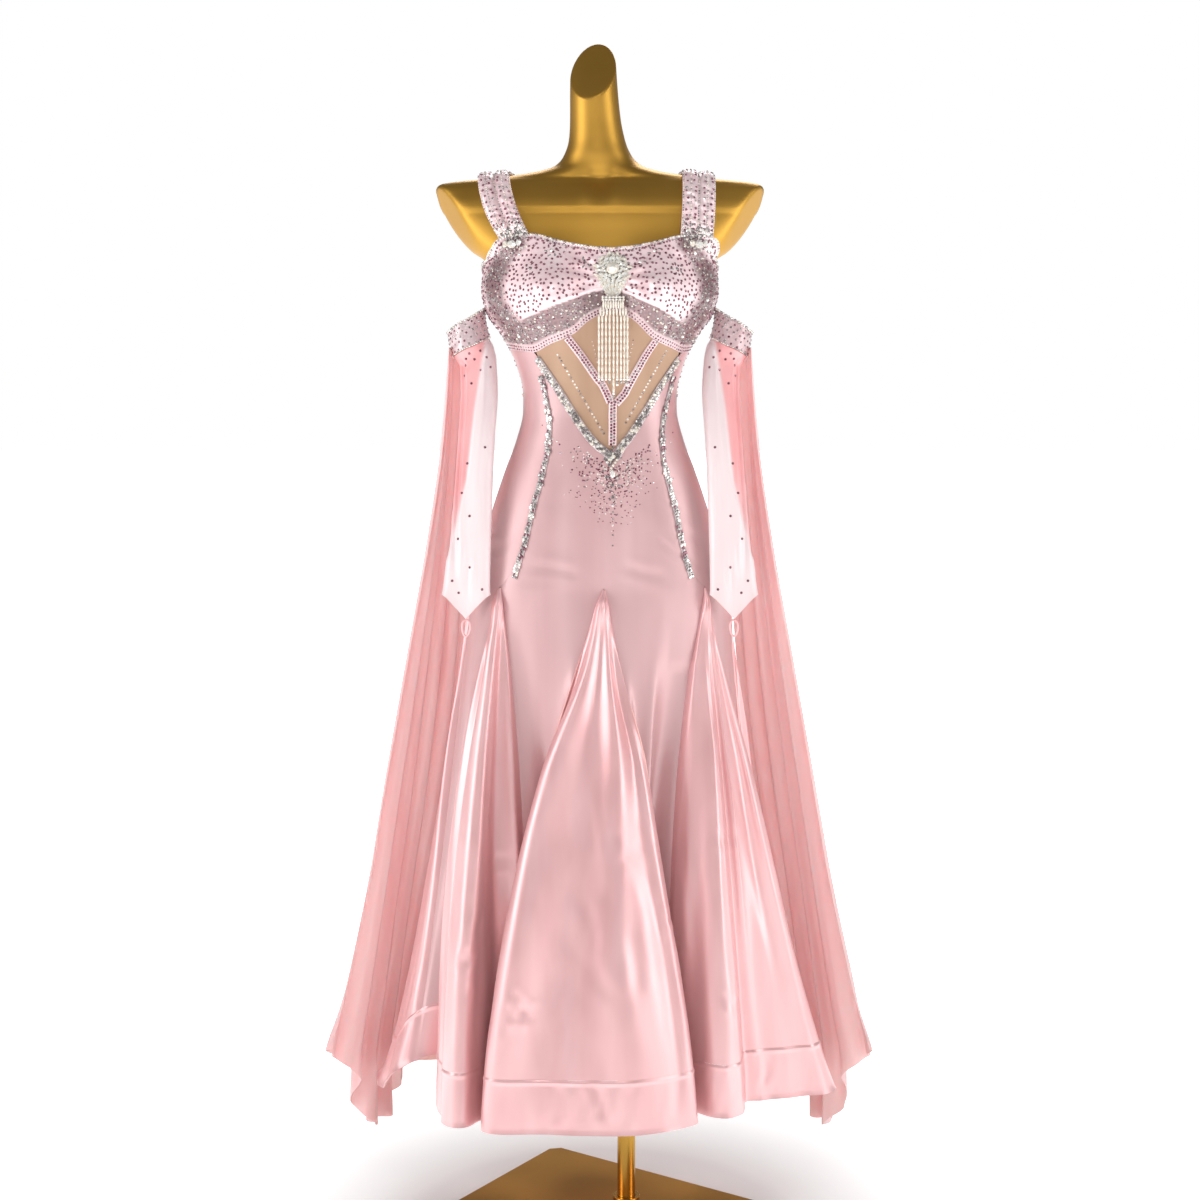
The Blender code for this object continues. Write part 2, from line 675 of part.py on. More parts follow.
def panels(group):
    heights = [0.16, 0.31, 0.45, 0.57, 0.68, 0.78, 0.88, 1.0]
    panel("centre_front", ("centre_front_a", "centre_front_b"),
          lambda z: seam_angle(z, -1), lambda z: seam_angle(z, 1),
          lambda angle: insert_edge(angle) - SEAM, heights, group)
    panel("side_front_l", ("side_front_l",), lambda z: -SIDE_SEAM,
          lambda z: seam_angle(z, -1), lambda angle: underbust(angle) - SEAM, heights, group)
    panel("side_front_r", ("side_front_r",), lambda z: seam_angle(z, 1),
          lambda z: SIDE_SEAM, lambda angle: underbust(angle) - SEAM, heights, group)
    low = [k / 4 for k in range(1, 5)]
    panel("side_back_l", ("side_back_l",), lambda z: -BACK_SEAM, lambda z: -SIDE_SEAM,
          lambda angle: back_line(BACK_WAIST, angle) - SEAM, low, group)
    panel("side_back_r", ("side_back_r",), lambda z: SIDE_SEAM, lambda z: BACK_SEAM,
          lambda angle: back_line(BACK_WAIST, angle) - SEAM, low, group)
    panel("centre_back", ("centre_back_b", "centre_back_a"), lambda z: BACK_SEAM,
          lambda z: 360.0 - BACK_SEAM,
          lambda angle: back_line(BACK_WAIST, angle if angle < 180 else angle - 360) - SEAM,
          low, group)
    for label in ("godet_front", "godet_front_l", "godet_front_r", "godet_side_l",
                  "godet_side_r", "godet_back_l", "godet_back_r", "godet_back"):
        godet(label, label, group)


def hem_bands(group):
    """Two lengths of stiffened satin band, joined at the side seams."""
    count = len(FOLDS)
    left = next(i for i in range(count) if FOLDS[i][5] == "godet_side_l")
    right = next(i for i in range(count) if FOLDS[i][5] == "godet_side_r")
    for label, first, last in (("hem_band_front", left, right),
                               ("hem_band_back", right, left + count)):
        def skin(key, first=first, last=last):
            level, c = key
            drop = mix(band_drop(c, BAND - 2 * SEAM), 1.0, level)
            return skirt_point(c, drop, first, last)
        columns = []
        for piece_at in range(first, last):
            piece = next(FOLDS[k % count][5] for k in range(piece_at, -1, -1) if FOLDS[k % count][5])
            each = BACK_STEPS if "godet_back" in piece else FRONT_STEPS
            columns += stops(piece_at, piece_at + 1, each)[:-1]
        wall(label, grid_cells([0.0, 1.0], columns + [last]), skin, "satin", group, thick=0.0018)


# ---- straps ----------------------------------------------------------------------------
def shoulder_point(x, turn):
    """Point on the torso over the shoulder at this x; turn runs 0 (front) to 180 (back)."""
    cy, cz = 0.008, 1.360
    dy, dz = -math.cos(math.radians(turn)), math.sin(math.radians(turn))

    def outside(reach):
        y, z = cy + dy * reach, cz + dz * reach
        half = through(TORSO, z, 1)
        y0 = y - through(TORSO, z, 5)
        depth = through(TORSO, z, 2 if y0 < 0 else 3)
        power = roundness(z)
        return (abs(x - through(TORSO, z, 4)) / half) ** power + (abs(y0) / depth) ** power > 1.0

    low, high = 0.01, 0.14
    for _ in range(34):
        middle = 0.5 * (low + high)
        if outside(middle):
            high = middle
        else:
            low = middle
    return Vector((x, cy + dy * low, cz + dz * low))


STRAPS = (
    # side, inner and outer x at the front foot, at the shoulder, at the back foot
    ("l", -0.0880, -0.1290, -0.1200, -0.1620, -0.0800, -0.1220),
    ("r", 0.1035, 0.1460, 0.1085, 0.1520, 0.0800, 0.1220),
)


def strap_x(row, turn, across):
    _, f0, f1, s0, s1, b0, b1 = row
    t = turn / 90.0
    if t <= 1.0:
        inner, outer = mix(f0, s0, math.sin(t * math.pi / 2)), mix(f1, s1, math.sin(t * math.pi / 2))
    else:
        inner, outer = mix(s0, b0, t - 1.0), mix(s1, b1, t - 1.0)
    return mix(inner, outer, across)


def straps(group):
    """Padded straps: two gathered rolls with a crease between, over each shoulder."""
    profile = (
        # across, height
        (0.00, 0.0024), (0.12, 0.0070), (0.36, 0.0074), (0.50, 0.0034),
        (0.64, 0.0074), (0.88, 0.0070), (1.00, 0.0024),
    )
    for row in STRAPS:
        def foot(across, back):
            x = strap_x(row, 180.0 if back else 0.0, across)
            low, high = 0.0, 60.0
            for _ in range(30):
                middle = 0.5 * (low + high)
                point = shoulder_point(x, 180.0 - middle if back else middle)
                if back:
                    edge = back_line(BACK_TOP, 180.0 - math.degrees(
                        math.asin(min(1.0, abs(x) / through(TORSO, point.z, 1)))) * 1.0)
                else:
                    edge = neckline(angle_at(x, min(point.z, 1.40)))
                if point.z < edge + 0.0010:
                    low = middle
                else:
                    high = middle
            return 180.0 - high if back else high

        count = 16
        ends = {across: (foot(across, False), foot(across, True)) for across, _ in profile}

        def skin(key):
            level, across = key
            a, b = ends[across]
            turn = mix(a, b, level)
            x = strap_x(row, turn, across)
            here = shoulder_point(x, turn)
            side = shoulder_point(x + 0.002, turn) - shoulder_point(x - 0.002, turn)
            along = shoulder_point(x, turn + 1.0) - shoulder_point(x, turn - 1.0)
            normal = side.cross(along).normalized()
            if normal.z < 0 and normal.y * (here.y - 0.008) < 0:
                normal = -normal
            if normal.dot(here - Vector((x, 0.008, 1.360))) < 0:
                normal = -normal
            return here + normal * 0.0009, normal

        heights = dict(profile)

        def puff(key, _point):
            level, across = key
            wave = 0.88 + 0.12 * math.cos(level * count * math.pi)
            return heights[across] * wave - CLOTH

        wall("strap_" + row[0], grid_cells([k / count for k in range(count + 1)],
                                           [a for a, _ in profile]), skin, "bust", group,
             relief=puff)


# ---- trims on the bodice ---------------------------------------------------------------
def ribbon(label, path, width, group, look="stones", thick=0.0022, lift=0.0013, parts=None,
           ends=0.0):
    """Thin raised trim along a path of (angle, z), made from the torso's points."""
    points = []
    parts = parts or 14
    spots = [torso(a, z) for a, z in path]
    total = [0.0]
    for a, b in zip(spots, spots[1:]):
        total.append(total[-1] + (b - a).length)
    for k in range(parts + 1):
        want = mix(ends, total[-1] - ends, k / parts)
        i = max(j for j in range(len(total) - 1) if total[j] <= want + 1e-9)
        t = (want - total[i]) / (total[i + 1] - total[i])
        points.append((mix(path[i][0], path[i + 1][0], t), mix(path[i][1], path[i + 1][1], t)))

    def skin(key):
        k, side = key
        a, b = points[max(0, k - 1)], points[min(parts, k + 1)]
        angle, z = points[k]
        run = torso(*b) - torso(*a)
        normal = torso_normal(angle, z)
        across = run.cross(normal).normalized() * (side * width / 2)
        place = torso(angle, z) + across
        at = angle_at(place.x, place.z)
        return on_torso(at, place.z, CLOTH + lift), torso_normal(at, place.z)

    def bead(key, _point):
        return 0.0009 * (1.0 + math.cos(key[0] * math.pi)) * (1.0 if key[1] == 0 else 0.4)

    return wall(label, grid_cells(list(range(parts + 1)), [-1, 0, 1]), skin, look, group,
                thick, bead)


def trims(group):
    point = INSERT_POINT
    drop = 0.0075                                   # the V trim lies just below the insert's edge
    left = [(-43.2, 1.217 - drop)] + [(a, insert_edge(a) - drop) for a in (-32.0, -20.0, -8.0, 1.0)]
    right = [(62.0, 1.217 - drop)] + [(a, insert_edge(a) - drop) for a in (48.0, 34.0, 22.0, 11.5)]
    ribbon("v_trim_l", left + [(point[0] - 1.2, point[1] - drop - 0.003)], 0.0110, group,
           lift=0.0018, parts=12)
    ribbon("v_trim_r", right + [(point[0] + 5.2, point[1] - drop + 0.003)], 0.0110, group,
           lift=0.0018, parts=12)
    for tag, side in (("l", -1), ("r", 1)):
        rows = [(seam_angle(z, side), z) for z in (1.168, 1.15, 1.13, 1.11, 1.09, 1.07, 1.05, 1.03,
                                                   1.01, 0.99, 0.97, 0.95, 0.935)]
        rows.append((seam_angle(0.935, side) - side * 0.5, 0.922))
        ribbon("princess_trim_" + tag, rows, 0.0075, group, parts=20)
    # pink stoned bands on the insert, meeting in a short stem
    ribbon("insert_band_l", [(-15.6, 1.2330), (-7.5, 1.205), (1.0, 1.1756), (3.6, 1.159)], 0.0075,
           group, "bust", 0.0016, 0.0012, 7, 0.003)
    ribbon("insert_band_r", [(31.0, 1.2270), (24.0, 1.197), (16.8, 1.1639), (11.2, 1.152)], 0.0075,
           group, "bust", 0.0016, 0.0012, 7, 0.003)
    ribbon("insert_stem", [(7.2, 1.1480), (6.9, 1.125), (6.4, 1.101)], 0.0090,
           group, "bust", 0.0016, 0.0010, 4)


def bust_front(x, z, out):
    angle = angle_at(x, z)
    return on_torso(angle, z, out), torso_normal(angle, z)


BROOCH = (0.0165, 1.3230)
BROOCH_RINGS = (
    # reach, height
    (1.00, 0.0016), (0.62, 0.0032), (0.36, 0.0050), (0.34, 0.0072), (0.16, 0.0094),
)


def brooch(group):
    """Rayed brooch with a domed stone, its back following the cloth."""
    count = 20
    cx, cz = BROOCH

    def place(reach, k, height):
        ray = 1.0 if k % 2 == 0 else 0.78
        wide, tall = 0.0205 * ray, (0.0250 if k > count // 2 else 0.0170) * ray
        if reach < 0.5:
            wide = tall = 0.0200
        a = 2 * math.pi * k / count
        x, z = cx + math.cos(a) * wide * reach, cz + math.sin(a) * tall * reach
        spot, _ = bust_front(x, z, 0.0)
        spot.y -= CLOTH + 0.0018 + height
        return spot

    verts, faces = [], []
    rings = [(1.0, 0.0), (0.5, 0.0)] + list(BROOCH_RINGS)
    for reach, height in rings:
        for k in range(count):
            verts.append(place(reach, k, height))
    back, front = len(verts), len(verts) + 1
    verts.append(place(0.0, 0, 0.0))
    verts.append(place(0.0, 0, 0.0104))
    order = [1, 0, 2, 3, 4, 5, 6]
    for a, b in zip(order, order[1:]):
        for k in range(count):
            n = (k + 1) % count
            faces.append([a * count + k, a * count + n, b * count + n, b * count + k])
    for k in range(count):
        n = (k + 1) % count
        faces.append([back, count + n, count + k])
        faces.append([front, 6 * count + k, 6 * count + n])
    mesh_object("brooch", verts, faces, "beads", group)


FRINGE = (
    # share of the strip's width, length of the strand
    (0.04, 0.104), (0.15, 0.108), (0.27, 0.106), (0.39, 0.110), (0.52, 0.128),
    (0.64, 0.112), (0.76, 0.110), (0.87, 0.108), (0.97, 0.112),
)


def fringe(group):
    """Nine bead strands fused at their roots into one narrow strip under the brooch."""
    x0, x1, top, bottom = -0.0040, 0.0375, 1.2880, 1.2820
    y = min(bust_front(x, z, 0.0)[0].y for x in (x0, x1) for z in (top, 1.262)) - 0.0024
    bm = bmesh.new()

    def box(xa, xb, ya, yb, za, zb):
        made = bmesh.ops.create_cube(bm, size=1.0)["verts"]
        for v in made:
            v.co = Vector((mix(xa, xb, v.co.x + 0.5), mix(ya, yb, v.co.y + 0.5),
                           mix(za, zb, v.co.z + 0.5)))

    box(x0, x1, y - 0.0030, y, bottom, top)
    mesh = bpy.data.meshes.new("fringe")
    bm.to_mesh(mesh)
    bm.free()
    strip = bpy.data.objects.new("fringe", mesh)
    strip.data.materials.append(material("fringe_look", "beads"))
    group.objects.link(strip)
    cutters = collection(NAME + "_tools")
    for k, (share, length) in enumerate(FRINGE):
        bm = bmesh.new()
        made = bmesh.ops.create_cone(bm, cap_ends=True, segments=4, radius1=0.0012,
                                     radius2=0.0014, depth=length)
        bmesh.ops.translate(bm, verts=made["verts"],
                            vec=(mix(x0 + 0.001, x1 - 0.001, share), y - 0.0015,
                                 0.5 * (top + bottom) - length / 2))
        mesh = bpy.data.meshes.new("strand")
        bm.to_mesh(mesh)
        bm.free()
        strand = bpy.data.objects.new("strand_%d" % k, mesh)
        strand.hide_render = True
        cutters.objects.link(strand)
        join = strip.modifiers.new("strand_%d" % k, "BOOLEAN")
        join.operation, join.solver, join.object = "UNION", "EXACT", strand
    return strip


def strap_jewels(group):
    """A domed stone at the foot of each strap."""
    for tag, x, z in (("l", -0.1135, 1.3555), ("r", 0.1275, 1.3560)):
        spot, normal = bust_front(x, z, 0.0)
        bm = bmesh.new()
        bmesh.ops.create_uvsphere(bm, u_segments=12, v_segments=8, radius=1.0)
        low = [v for v in bm.verts if v.co.z < -1e-4]
        bmesh.ops.delete(bm, geom=low, context="VERTS")
        bmesh.ops.holes_fill(bm, edges=bm.edges)
        turn = Vector((0, 0, 1)).rotation_difference(normal)
        for v in bm.verts:
            v.co = turn @ Vector((v.co.x * 0.0095, v.co.y * 0.0080, v.co.z * 0.0055))
            v.co += spot + normal * (CLOTH + 0.0022)
        mesh = bpy.data.meshes.new("strap_jewel_" + tag)
        bm.to_mesh(mesh)
        bm.free()
        made = bpy.data.objects.new("strap_jewel_" + tag, mesh)
        made.data.materials.append(material(made.name + "_look", "beads"))
        group.objects.link(made)


# ---- off-shoulder sleeves ---------------------------------------------------------------
# Each row is one ring of the empty sleeve, as drawn for the -X side: x is inner and outer
# edge, y the middle, depth the half depth.  The +X side mirrors it.
CUFF_BAND = (
    # z inner, z outer, x inner, x outer, y, half depth
    (1.2760, 1.2435, -0.1556, -0.2020, 0.004, 0.030),
    (1.2600, 1.2310, -0.1545, -0.2000, 0.003, 0.031),
    (1.2360, 1.2120, -0.1490, -0.1950, 0.000, 0.030),
)
GAUNTLET = (
    # z, x inner, x outer, y, half depth
    (1.2354, -0.1490, -0.1950, 0.000, 0.0298),
    (1.2050, -0.1420, -0.1850, -0.014, 0.0150),
    (1.1600, -0.1395, -0.1830, -0.030, 0.0105),
    (1.1000, -0.1430, -0.1860, -0.048, 0.0085),
    (1.0300, -0.1455, -0.1910, -0.063, 0.0080),
    (0.9600, -0.1475, -0.1970, -0.0755, 0.0080),
    (0.9000, -0.1485, -0.2035, -0.0830, 0.0080),
)
CUFF_POINT = 0.031          # how far the cuff's point drops below its sides
SLEEVE_SIDES = 12


def ring_point(x0, x1, y, half, k, sides, z0, z1):
    """k = 0 at the inner edge, then round by the front."""
    a = 2 * math.pi * k / sides
    c = math.cos(a)
    x = mix(x0, x1, 0.5 - 0.5 * math.copysign(abs(c) ** 0.85, c))
    return Vector((x, y - half * math.sin(a), mix(z0, z1, 0.5 - 0.5 * c)))


def tube_skin(rows_at, sides, mirror, out=0.0):
    def skin(key):
        level, k = key
        here = rows_at(level, k)
        along = rows_at(level, k + 0.5) - rows_at(level, k - 0.5)
        up = rows_at(level - 0.02, k) - rows_at(level + 0.02, k)
        normal = along.cross(up).normalized()
        middle = (rows_at(level, 0) + rows_at(level, sides / 2)) * 0.5
        if normal.dot(here - middle) < 0:
            normal = -normal
        here = here + normal * out
        if mirror:
            here = Vector((-here.x, here.y, here.z))
            normal = Vector((-normal.x, normal.y, normal.z))
        return here, normal
    return skin


def closed_cells(rows, sides):
    return [[(rows[i], k), (rows[i + 1], k), (rows[i + 1], (k + 1) % sides),
             (rows[i], (k + 1) % sides)]
            for i in range(len(rows) - 1) for k in range(sides)]


def band_ring(level, k):
    row = level * (len(CUFF_BAND) - 1)
    pick = [through([(i,) + r for i, r in enumerate(CUFF_BAND)], row, c + 1) for c in range(6)]
    zi, zo, x0, x1, y, half = pick
    return ring_point(x0, x1, y, half, k, SLEEVE_SIDES, zi, zo)


def gauntlet_ring(level, k):
    row = min(level, 1.0) * (len(GAUNTLET) - 1)
    pick = [through([(i,) + r for i, r in enumerate(GAUNTLET)], row, c + 1) for c in range(5)]
    z, x0, x1, y, half = pick
    spot = ring_point(x0, x1, y, half, k, SLEEVE_SIDES, z, z)
    if level < 0.25:
        # the top edge slants with the band above it
        spot.z += (0.25 - level) / 0.25 * -0.024 * (0.5 - 0.5 * math.cos(2 * math.pi * k / SLEEVE_SIDES))
    if level > 0.8:
        # the cuff comes to a point in front and behind
        share = 1.0 - abs(math.cos(2 * math.pi * k / SLEEVE_SIDES)) ** 0.85
        spot.z -= (level - 0.8) / 0.2 * CUFF_POINT * share
    return spot


def sleeves(group):
    for tag, mirror in (("l", False), ("r", True)):
        wall("sleeve_band_" + tag, closed_cells([0.0, 0.5, 1.0], SLEEVE_SIDES),
             tube_skin(band_ring, SLEEVE_SIDES, mirror), "bust", group, thick=0.0018)
        rows = [0.0, 0.12, 0.27, 0.45, 0.63, 0.8, 1.0]
        wall("gauntlet_" + tag, closed_cells(rows, SLEEVE_SIDES),
             tube_skin(gauntlet_ring, SLEEVE_SIDES, mirror), "satin", group, thick=0.0012)
        side = 1.0 if mirror else -1.0
        # finger loop under the cuff's front point
        low = gauntlet_ring(1.0, SLEEVE_SIDES / 4)
        curve = bpy.data.curves.new("finger_loop_" + tag, "CURVE")
        curve.dimensions = "3D"
        curve.bevel_depth, curve.bevel_resolution = 0.0011, 1
        line = curve.splines.new("POLY")
        steps = 12
        line.points.add(steps - 1)
        for k in range(steps):
            a = 2 * math.pi * k / steps
            line.points[k].co = (side * abs(low.x) + 0.0046 * math.sin(a), low.y - 0.0004,
                                 low.z - 0.0114 + 0.0098 * math.cos(a), 1.0)
        line.use_cyclic_u = True
        made = bpy.data.objects.new("finger_loop_" + tag, curve)
        made.data.materials.append(material(made.name + "_look", "satin"))
        group.objects.link(made)


# ---- chiffon floats ----------------------------------------------------------------------
# Rows down the float as drawn for the -X side: where its outer front edge and its inner
# back edge hang, and how deep its folds are.
FLOAT = (
    # z, outer x, outer y, inner x, inner y, fold depth
    (1.2240, -0.1993, -0.018, -0.1560, 0.041, 0.0008),
    (1.1600, -0.2030, -0.014, -0.1610, 0.046, 0.0035),
    (1.0800, -0.2110, -0.010, -0.1700, 0.052, 0.0050),
    (0.9600, -0.2300, -0.006, -0.1790, 0.062, 0.0065),
    (0.8000, -0.2600, -0.004, -0.1910, 0.074, 0.0085),
    (0.6200, -0.2930, -0.004, -0.2150, 0.090, 0.0105),
    (0.4500, -0.3220, -0.002, -0.2460, 0.110, 0.0115),
    (0.3200, -0.3420, 0.000, -0.2700, 0.126, 0.0130),
    (0.2200, -0.3560, 0.002, -0.2850, 0.136, 0.0135),
    (0.1200, -0.3560, 0.004, -0.2900, 0.142, 0.0140),
)
FLOAT_HEM = (
    # share across, height of the lower edge, reach outwards at the lower edge
    (0.00, 0.262, 0.036), (0.10, 0.235, 0.022), (0.20, 0.196, 0.010), (0.30, 0.148, 0.002),
    (0.42, 0.121, 0.000), (0.60, 0.124, 0.000), (0.80, 0.156, 0.000), (1.00, 0.210, 0.000),
)
FLOAT_FOLDS = 4.5


def float_point(level, share):
    hem = through(FLOAT_HEM, share, 1)
    z = mix(FLOAT[0][0], hem, level)
    rows = FLOAT
    ox, oy = through(rows, z, 1), through(rows, z, 2)
    ix, iy = through(rows, z, 3), through(rows, z, 4)
    deep = through(rows, z, 5)
    x, y = mix(ox, ix, share), mix(oy, iy, share)
    run = Vector((ix - ox, iy - oy, 0.0))
    away = Vector((-run.y, run.x, 0.0)).normalized()
    bow = math.sin(math.pi * share) * 0.30 * run.length * (1.0 - level) ** 2
    wave = deep * math.sin(2 * math.pi * FLOAT_FOLDS * share)
    flare = through(FLOAT_HEM, share, 2) * max(0.0, (level - 0.72) / 0.28) ** 1.6
    spot = Vector((x, y, z)) + away * (bow + wave)
    spot -= run.normalized() * flare
    return spot


def floats(group):
    columns = spaced(0.0, 1.0, 26)
    rows = [0.0, 0.07, 0.20, 0.38, 0.58, 0.76, 0.90, 1.0]
    for tag, mirror in (("l", False), ("r", True)):
        def skin(key, mirror=mirror):
            level, share = key
            here = float_point(level, share)
            along = float_point(level, share + 0.004) - float_point(level, share - 0.004)
            up = float_point(max(0.0, level - 0.01), share) - float_point(level + 0.01, share)
            normal = up.cross(along).normalized()
            if mirror:
                here = Vector((-here.x, here.y, here.z))
                normal = Vector((-normal.x, normal.y, normal.z))
            return here, normal
        wall("float_" + tag, grid_cells(rows, columns), skin, "chiffon", group, thick=0.0010)


# ---- dress form and stand ------------------------------------------------------------------
def dress_form(group):
    sides = 30
    heights = [FORM_BOTTOM, 0.874] + [row[0] for row in TORSO if row[0] > 0.89]
    heights += [1.286, 1.4505, 1.458]
    heights = sorted(heights)
    verts, faces = [], []
    for i, z in enumerate(heights):
        inset = FORM_INSET + (0.004 if i == 0 else 0.0)
        for k in range(sides):
            angle = 360.0 * k / sides
            angle = angle - 360.0 if angle > 180.0 else angle
            spot = torso(angle, z, 0.85)
            middle = Vector((through(TORSO, z, 4), through(TORSO, z, 5), z))
            flat = torso(angle + 1.0, z) - torso(angle - 1.0, z)
            inwards = Vector((-flat.y, flat.x, 0.0)).normalized()
            if inwards.dot(middle - spot) < 0:
                inwards = -inwards
            verts.append(spot + inwards * (inset if z < 1.40 else 0.0013))
    rows = len(heights)
    for i in range(rows - 1):
        for k in range(sides):
            n = (k + 1) % sides
            faces.append([i * sides + k, i * sides + n, (i + 1) * sides + n, (i + 1) * sides + k])
    faces.append([k for k in range(sides)][::-1])
    faces.append([(rows - 1) * sides + k for k in range(sides)])
    made = mesh_object("dress_form", verts, faces, "gold", group)
    bm = bmesh.new()
    bm.from_mesh(made.data)
    for side in (1.0, -1.0):
        (px, py, pz), (nx, ny, nz) = ARM_CUT
        cut(bm, (side * px, py, pz), (side * nx, ny, nz),
            lambda v, side=side: v.z > 1.345 and side * v.x > 0.06)
    cut(bm, *NECK_CUT, lambda v: v.z > 1.50)
    bmesh.ops.recalc_face_normals(bm, faces=bm.faces)
    bm.to_mesh(made.data)
    bm.free()


def cut(bm, point, normal, near):
    """Slice the body flat where near() holds, and close it behind the plane."""
    geom = [v for v in bm.verts if near(v.co)]
    geom += [e for e in bm.edges if all(near(v.co) for v in e.verts)]
    geom += [f for f in bm.faces if all(near(v.co) for v in f.verts)]
    bmesh.ops.bisect_plane(bm, geom=geom, dist=1e-6, plane_co=point, plane_no=normal,
                           clear_outer=True)
    bmesh.ops.remove_doubles(bm, verts=bm.verts, dist=1e-5)
    rim = [e for e in bm.edges if len(e.link_faces) == 1]
    bmesh.ops.holes_fill(bm, edges=rim)


def turned(label, profile, at, look, group, ring=False, flip=False, steps=24):
    """Solid of revolution about a vertical axis from a half profile of (radius, z)."""
    mesh = bpy.data.meshes.new(label)
    edges = [(i, i + 1) for i in range(len(profile) - 1)]
    if ring:
        edges.append((len(profile) - 1, 0))
    mesh.from_pydata([(r, 0.0, z) for r, z in profile], edges, [])
    made = bpy.data.objects.new(label, mesh)
    made.location = (at[0], at[1], 0.0)
    screw = made.modifiers.new("turn", "SCREW")
    screw.axis, screw.steps, screw.render_steps = "Z", steps, steps
    screw.use_merge_vertices, screw.merge_threshold = True, 0.00005
    screw.use_normal_flip = flip
    made.data.materials.append(material(label + "_look", look))
    group.objects.link(made)
    return made


def stand(group):
    # base plate: a flat outline with clipped corners
    a, b, clip = PLATE_SIDES[0] / 2, PLATE_SIDES[1] / 2, 0.013
    ca, sa = math.cos(PLATE_TURN), math.sin(PLATE_TURN)
    outline = [(b - clip, -a), (b, -a + clip), (b, a - clip), (b - clip, a),
               (-b + clip, a), (-b, a - clip), (-b, -a + clip), (-b + clip, -a)]
    curve = bpy.data.curves.new("base_plate", "CURVE")
    curve.dimensions, curve.fill_mode = "2D", "BOTH"
    curve.extrude = PLATE / 2
    line = curve.splines.new("POLY")
    line.points.add(len(outline) - 1)
    for k, (u, v) in enumerate(outline):
        line.points[k].co = (u * ca - v * sa, u * sa + v * ca, 0.0, 1.0)
    line.use_cyclic_u = True
    plate = bpy.data.objects.new("base_plate", curve)
    plate.location = (PLATE_CENTRE[0], PLATE_CENTRE[1], PLATE / 2)
    plate.data.materials.append(material("base_plate_look", "plate"))
    group.objects.link(plate)
    z0 = PLATE + GAP
    turned("pole_foot", [(POLE_RADIUS + GAP, z0), (0.038, z0), (0.037, z0 + 0.006),
                         (0.019, z0 + 0.008), (0.0185, z0 + 0.031),
                         (POLE_RADIUS + GAP, z0 + 0.031)], POLE_XY, "gold", group, ring=True, flip=True)
    turned("pole", [(0.0, FORM_BOTTOM - GAP), (POLE_RADIUS, FORM_BOTTOM - GAP),
                    (POLE_RADIUS, z0), (0.0, z0)], POLE_XY, "gold", group)
    top = FORM_BOTTOM - GAP
    turned("form_socket", [(POLE_RADIUS + GAP, top), (POLE_RADIUS + GAP, top - 0.034),
                           (0.0185, top - 0.034), (0.0185, top - 0.008), (0.036, top - 0.005),
                           (0.036, top)], POLE_XY, "gold", group, ring=True, flip=True)


def build():
    clear_scene()
    group = collection(NAME)
    dress_form(group)
    stand(group)
    bodice(group)
    panels(group)
    hem_bands(group)
    straps(group)
    trims(group)
    brooch(group)
    fringe(group)
    strap_jewels(group)
    sleeves(group)
    floats(group)


build()
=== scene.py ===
"""Looks of a ballroom dance dress on a dress form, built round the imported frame."""
import math
import random

import bmesh
import bpy
import numpy as np
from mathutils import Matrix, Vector


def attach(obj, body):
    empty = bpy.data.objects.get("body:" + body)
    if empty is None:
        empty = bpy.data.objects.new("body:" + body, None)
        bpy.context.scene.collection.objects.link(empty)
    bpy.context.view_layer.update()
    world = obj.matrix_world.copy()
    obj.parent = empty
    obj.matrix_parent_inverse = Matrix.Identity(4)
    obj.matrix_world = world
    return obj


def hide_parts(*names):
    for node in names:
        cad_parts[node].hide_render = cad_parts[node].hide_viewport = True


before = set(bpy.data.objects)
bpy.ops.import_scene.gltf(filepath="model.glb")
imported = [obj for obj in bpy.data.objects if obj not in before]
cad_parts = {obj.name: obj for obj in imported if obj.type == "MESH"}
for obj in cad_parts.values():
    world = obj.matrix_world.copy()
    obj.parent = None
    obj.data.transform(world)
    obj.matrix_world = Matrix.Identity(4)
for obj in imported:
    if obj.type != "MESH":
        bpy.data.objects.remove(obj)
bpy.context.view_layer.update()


def numbered(rows):
    """The rows of a table, each led by its own number."""
    return tuple((float(k), *row) for k, row in enumerate(rows))


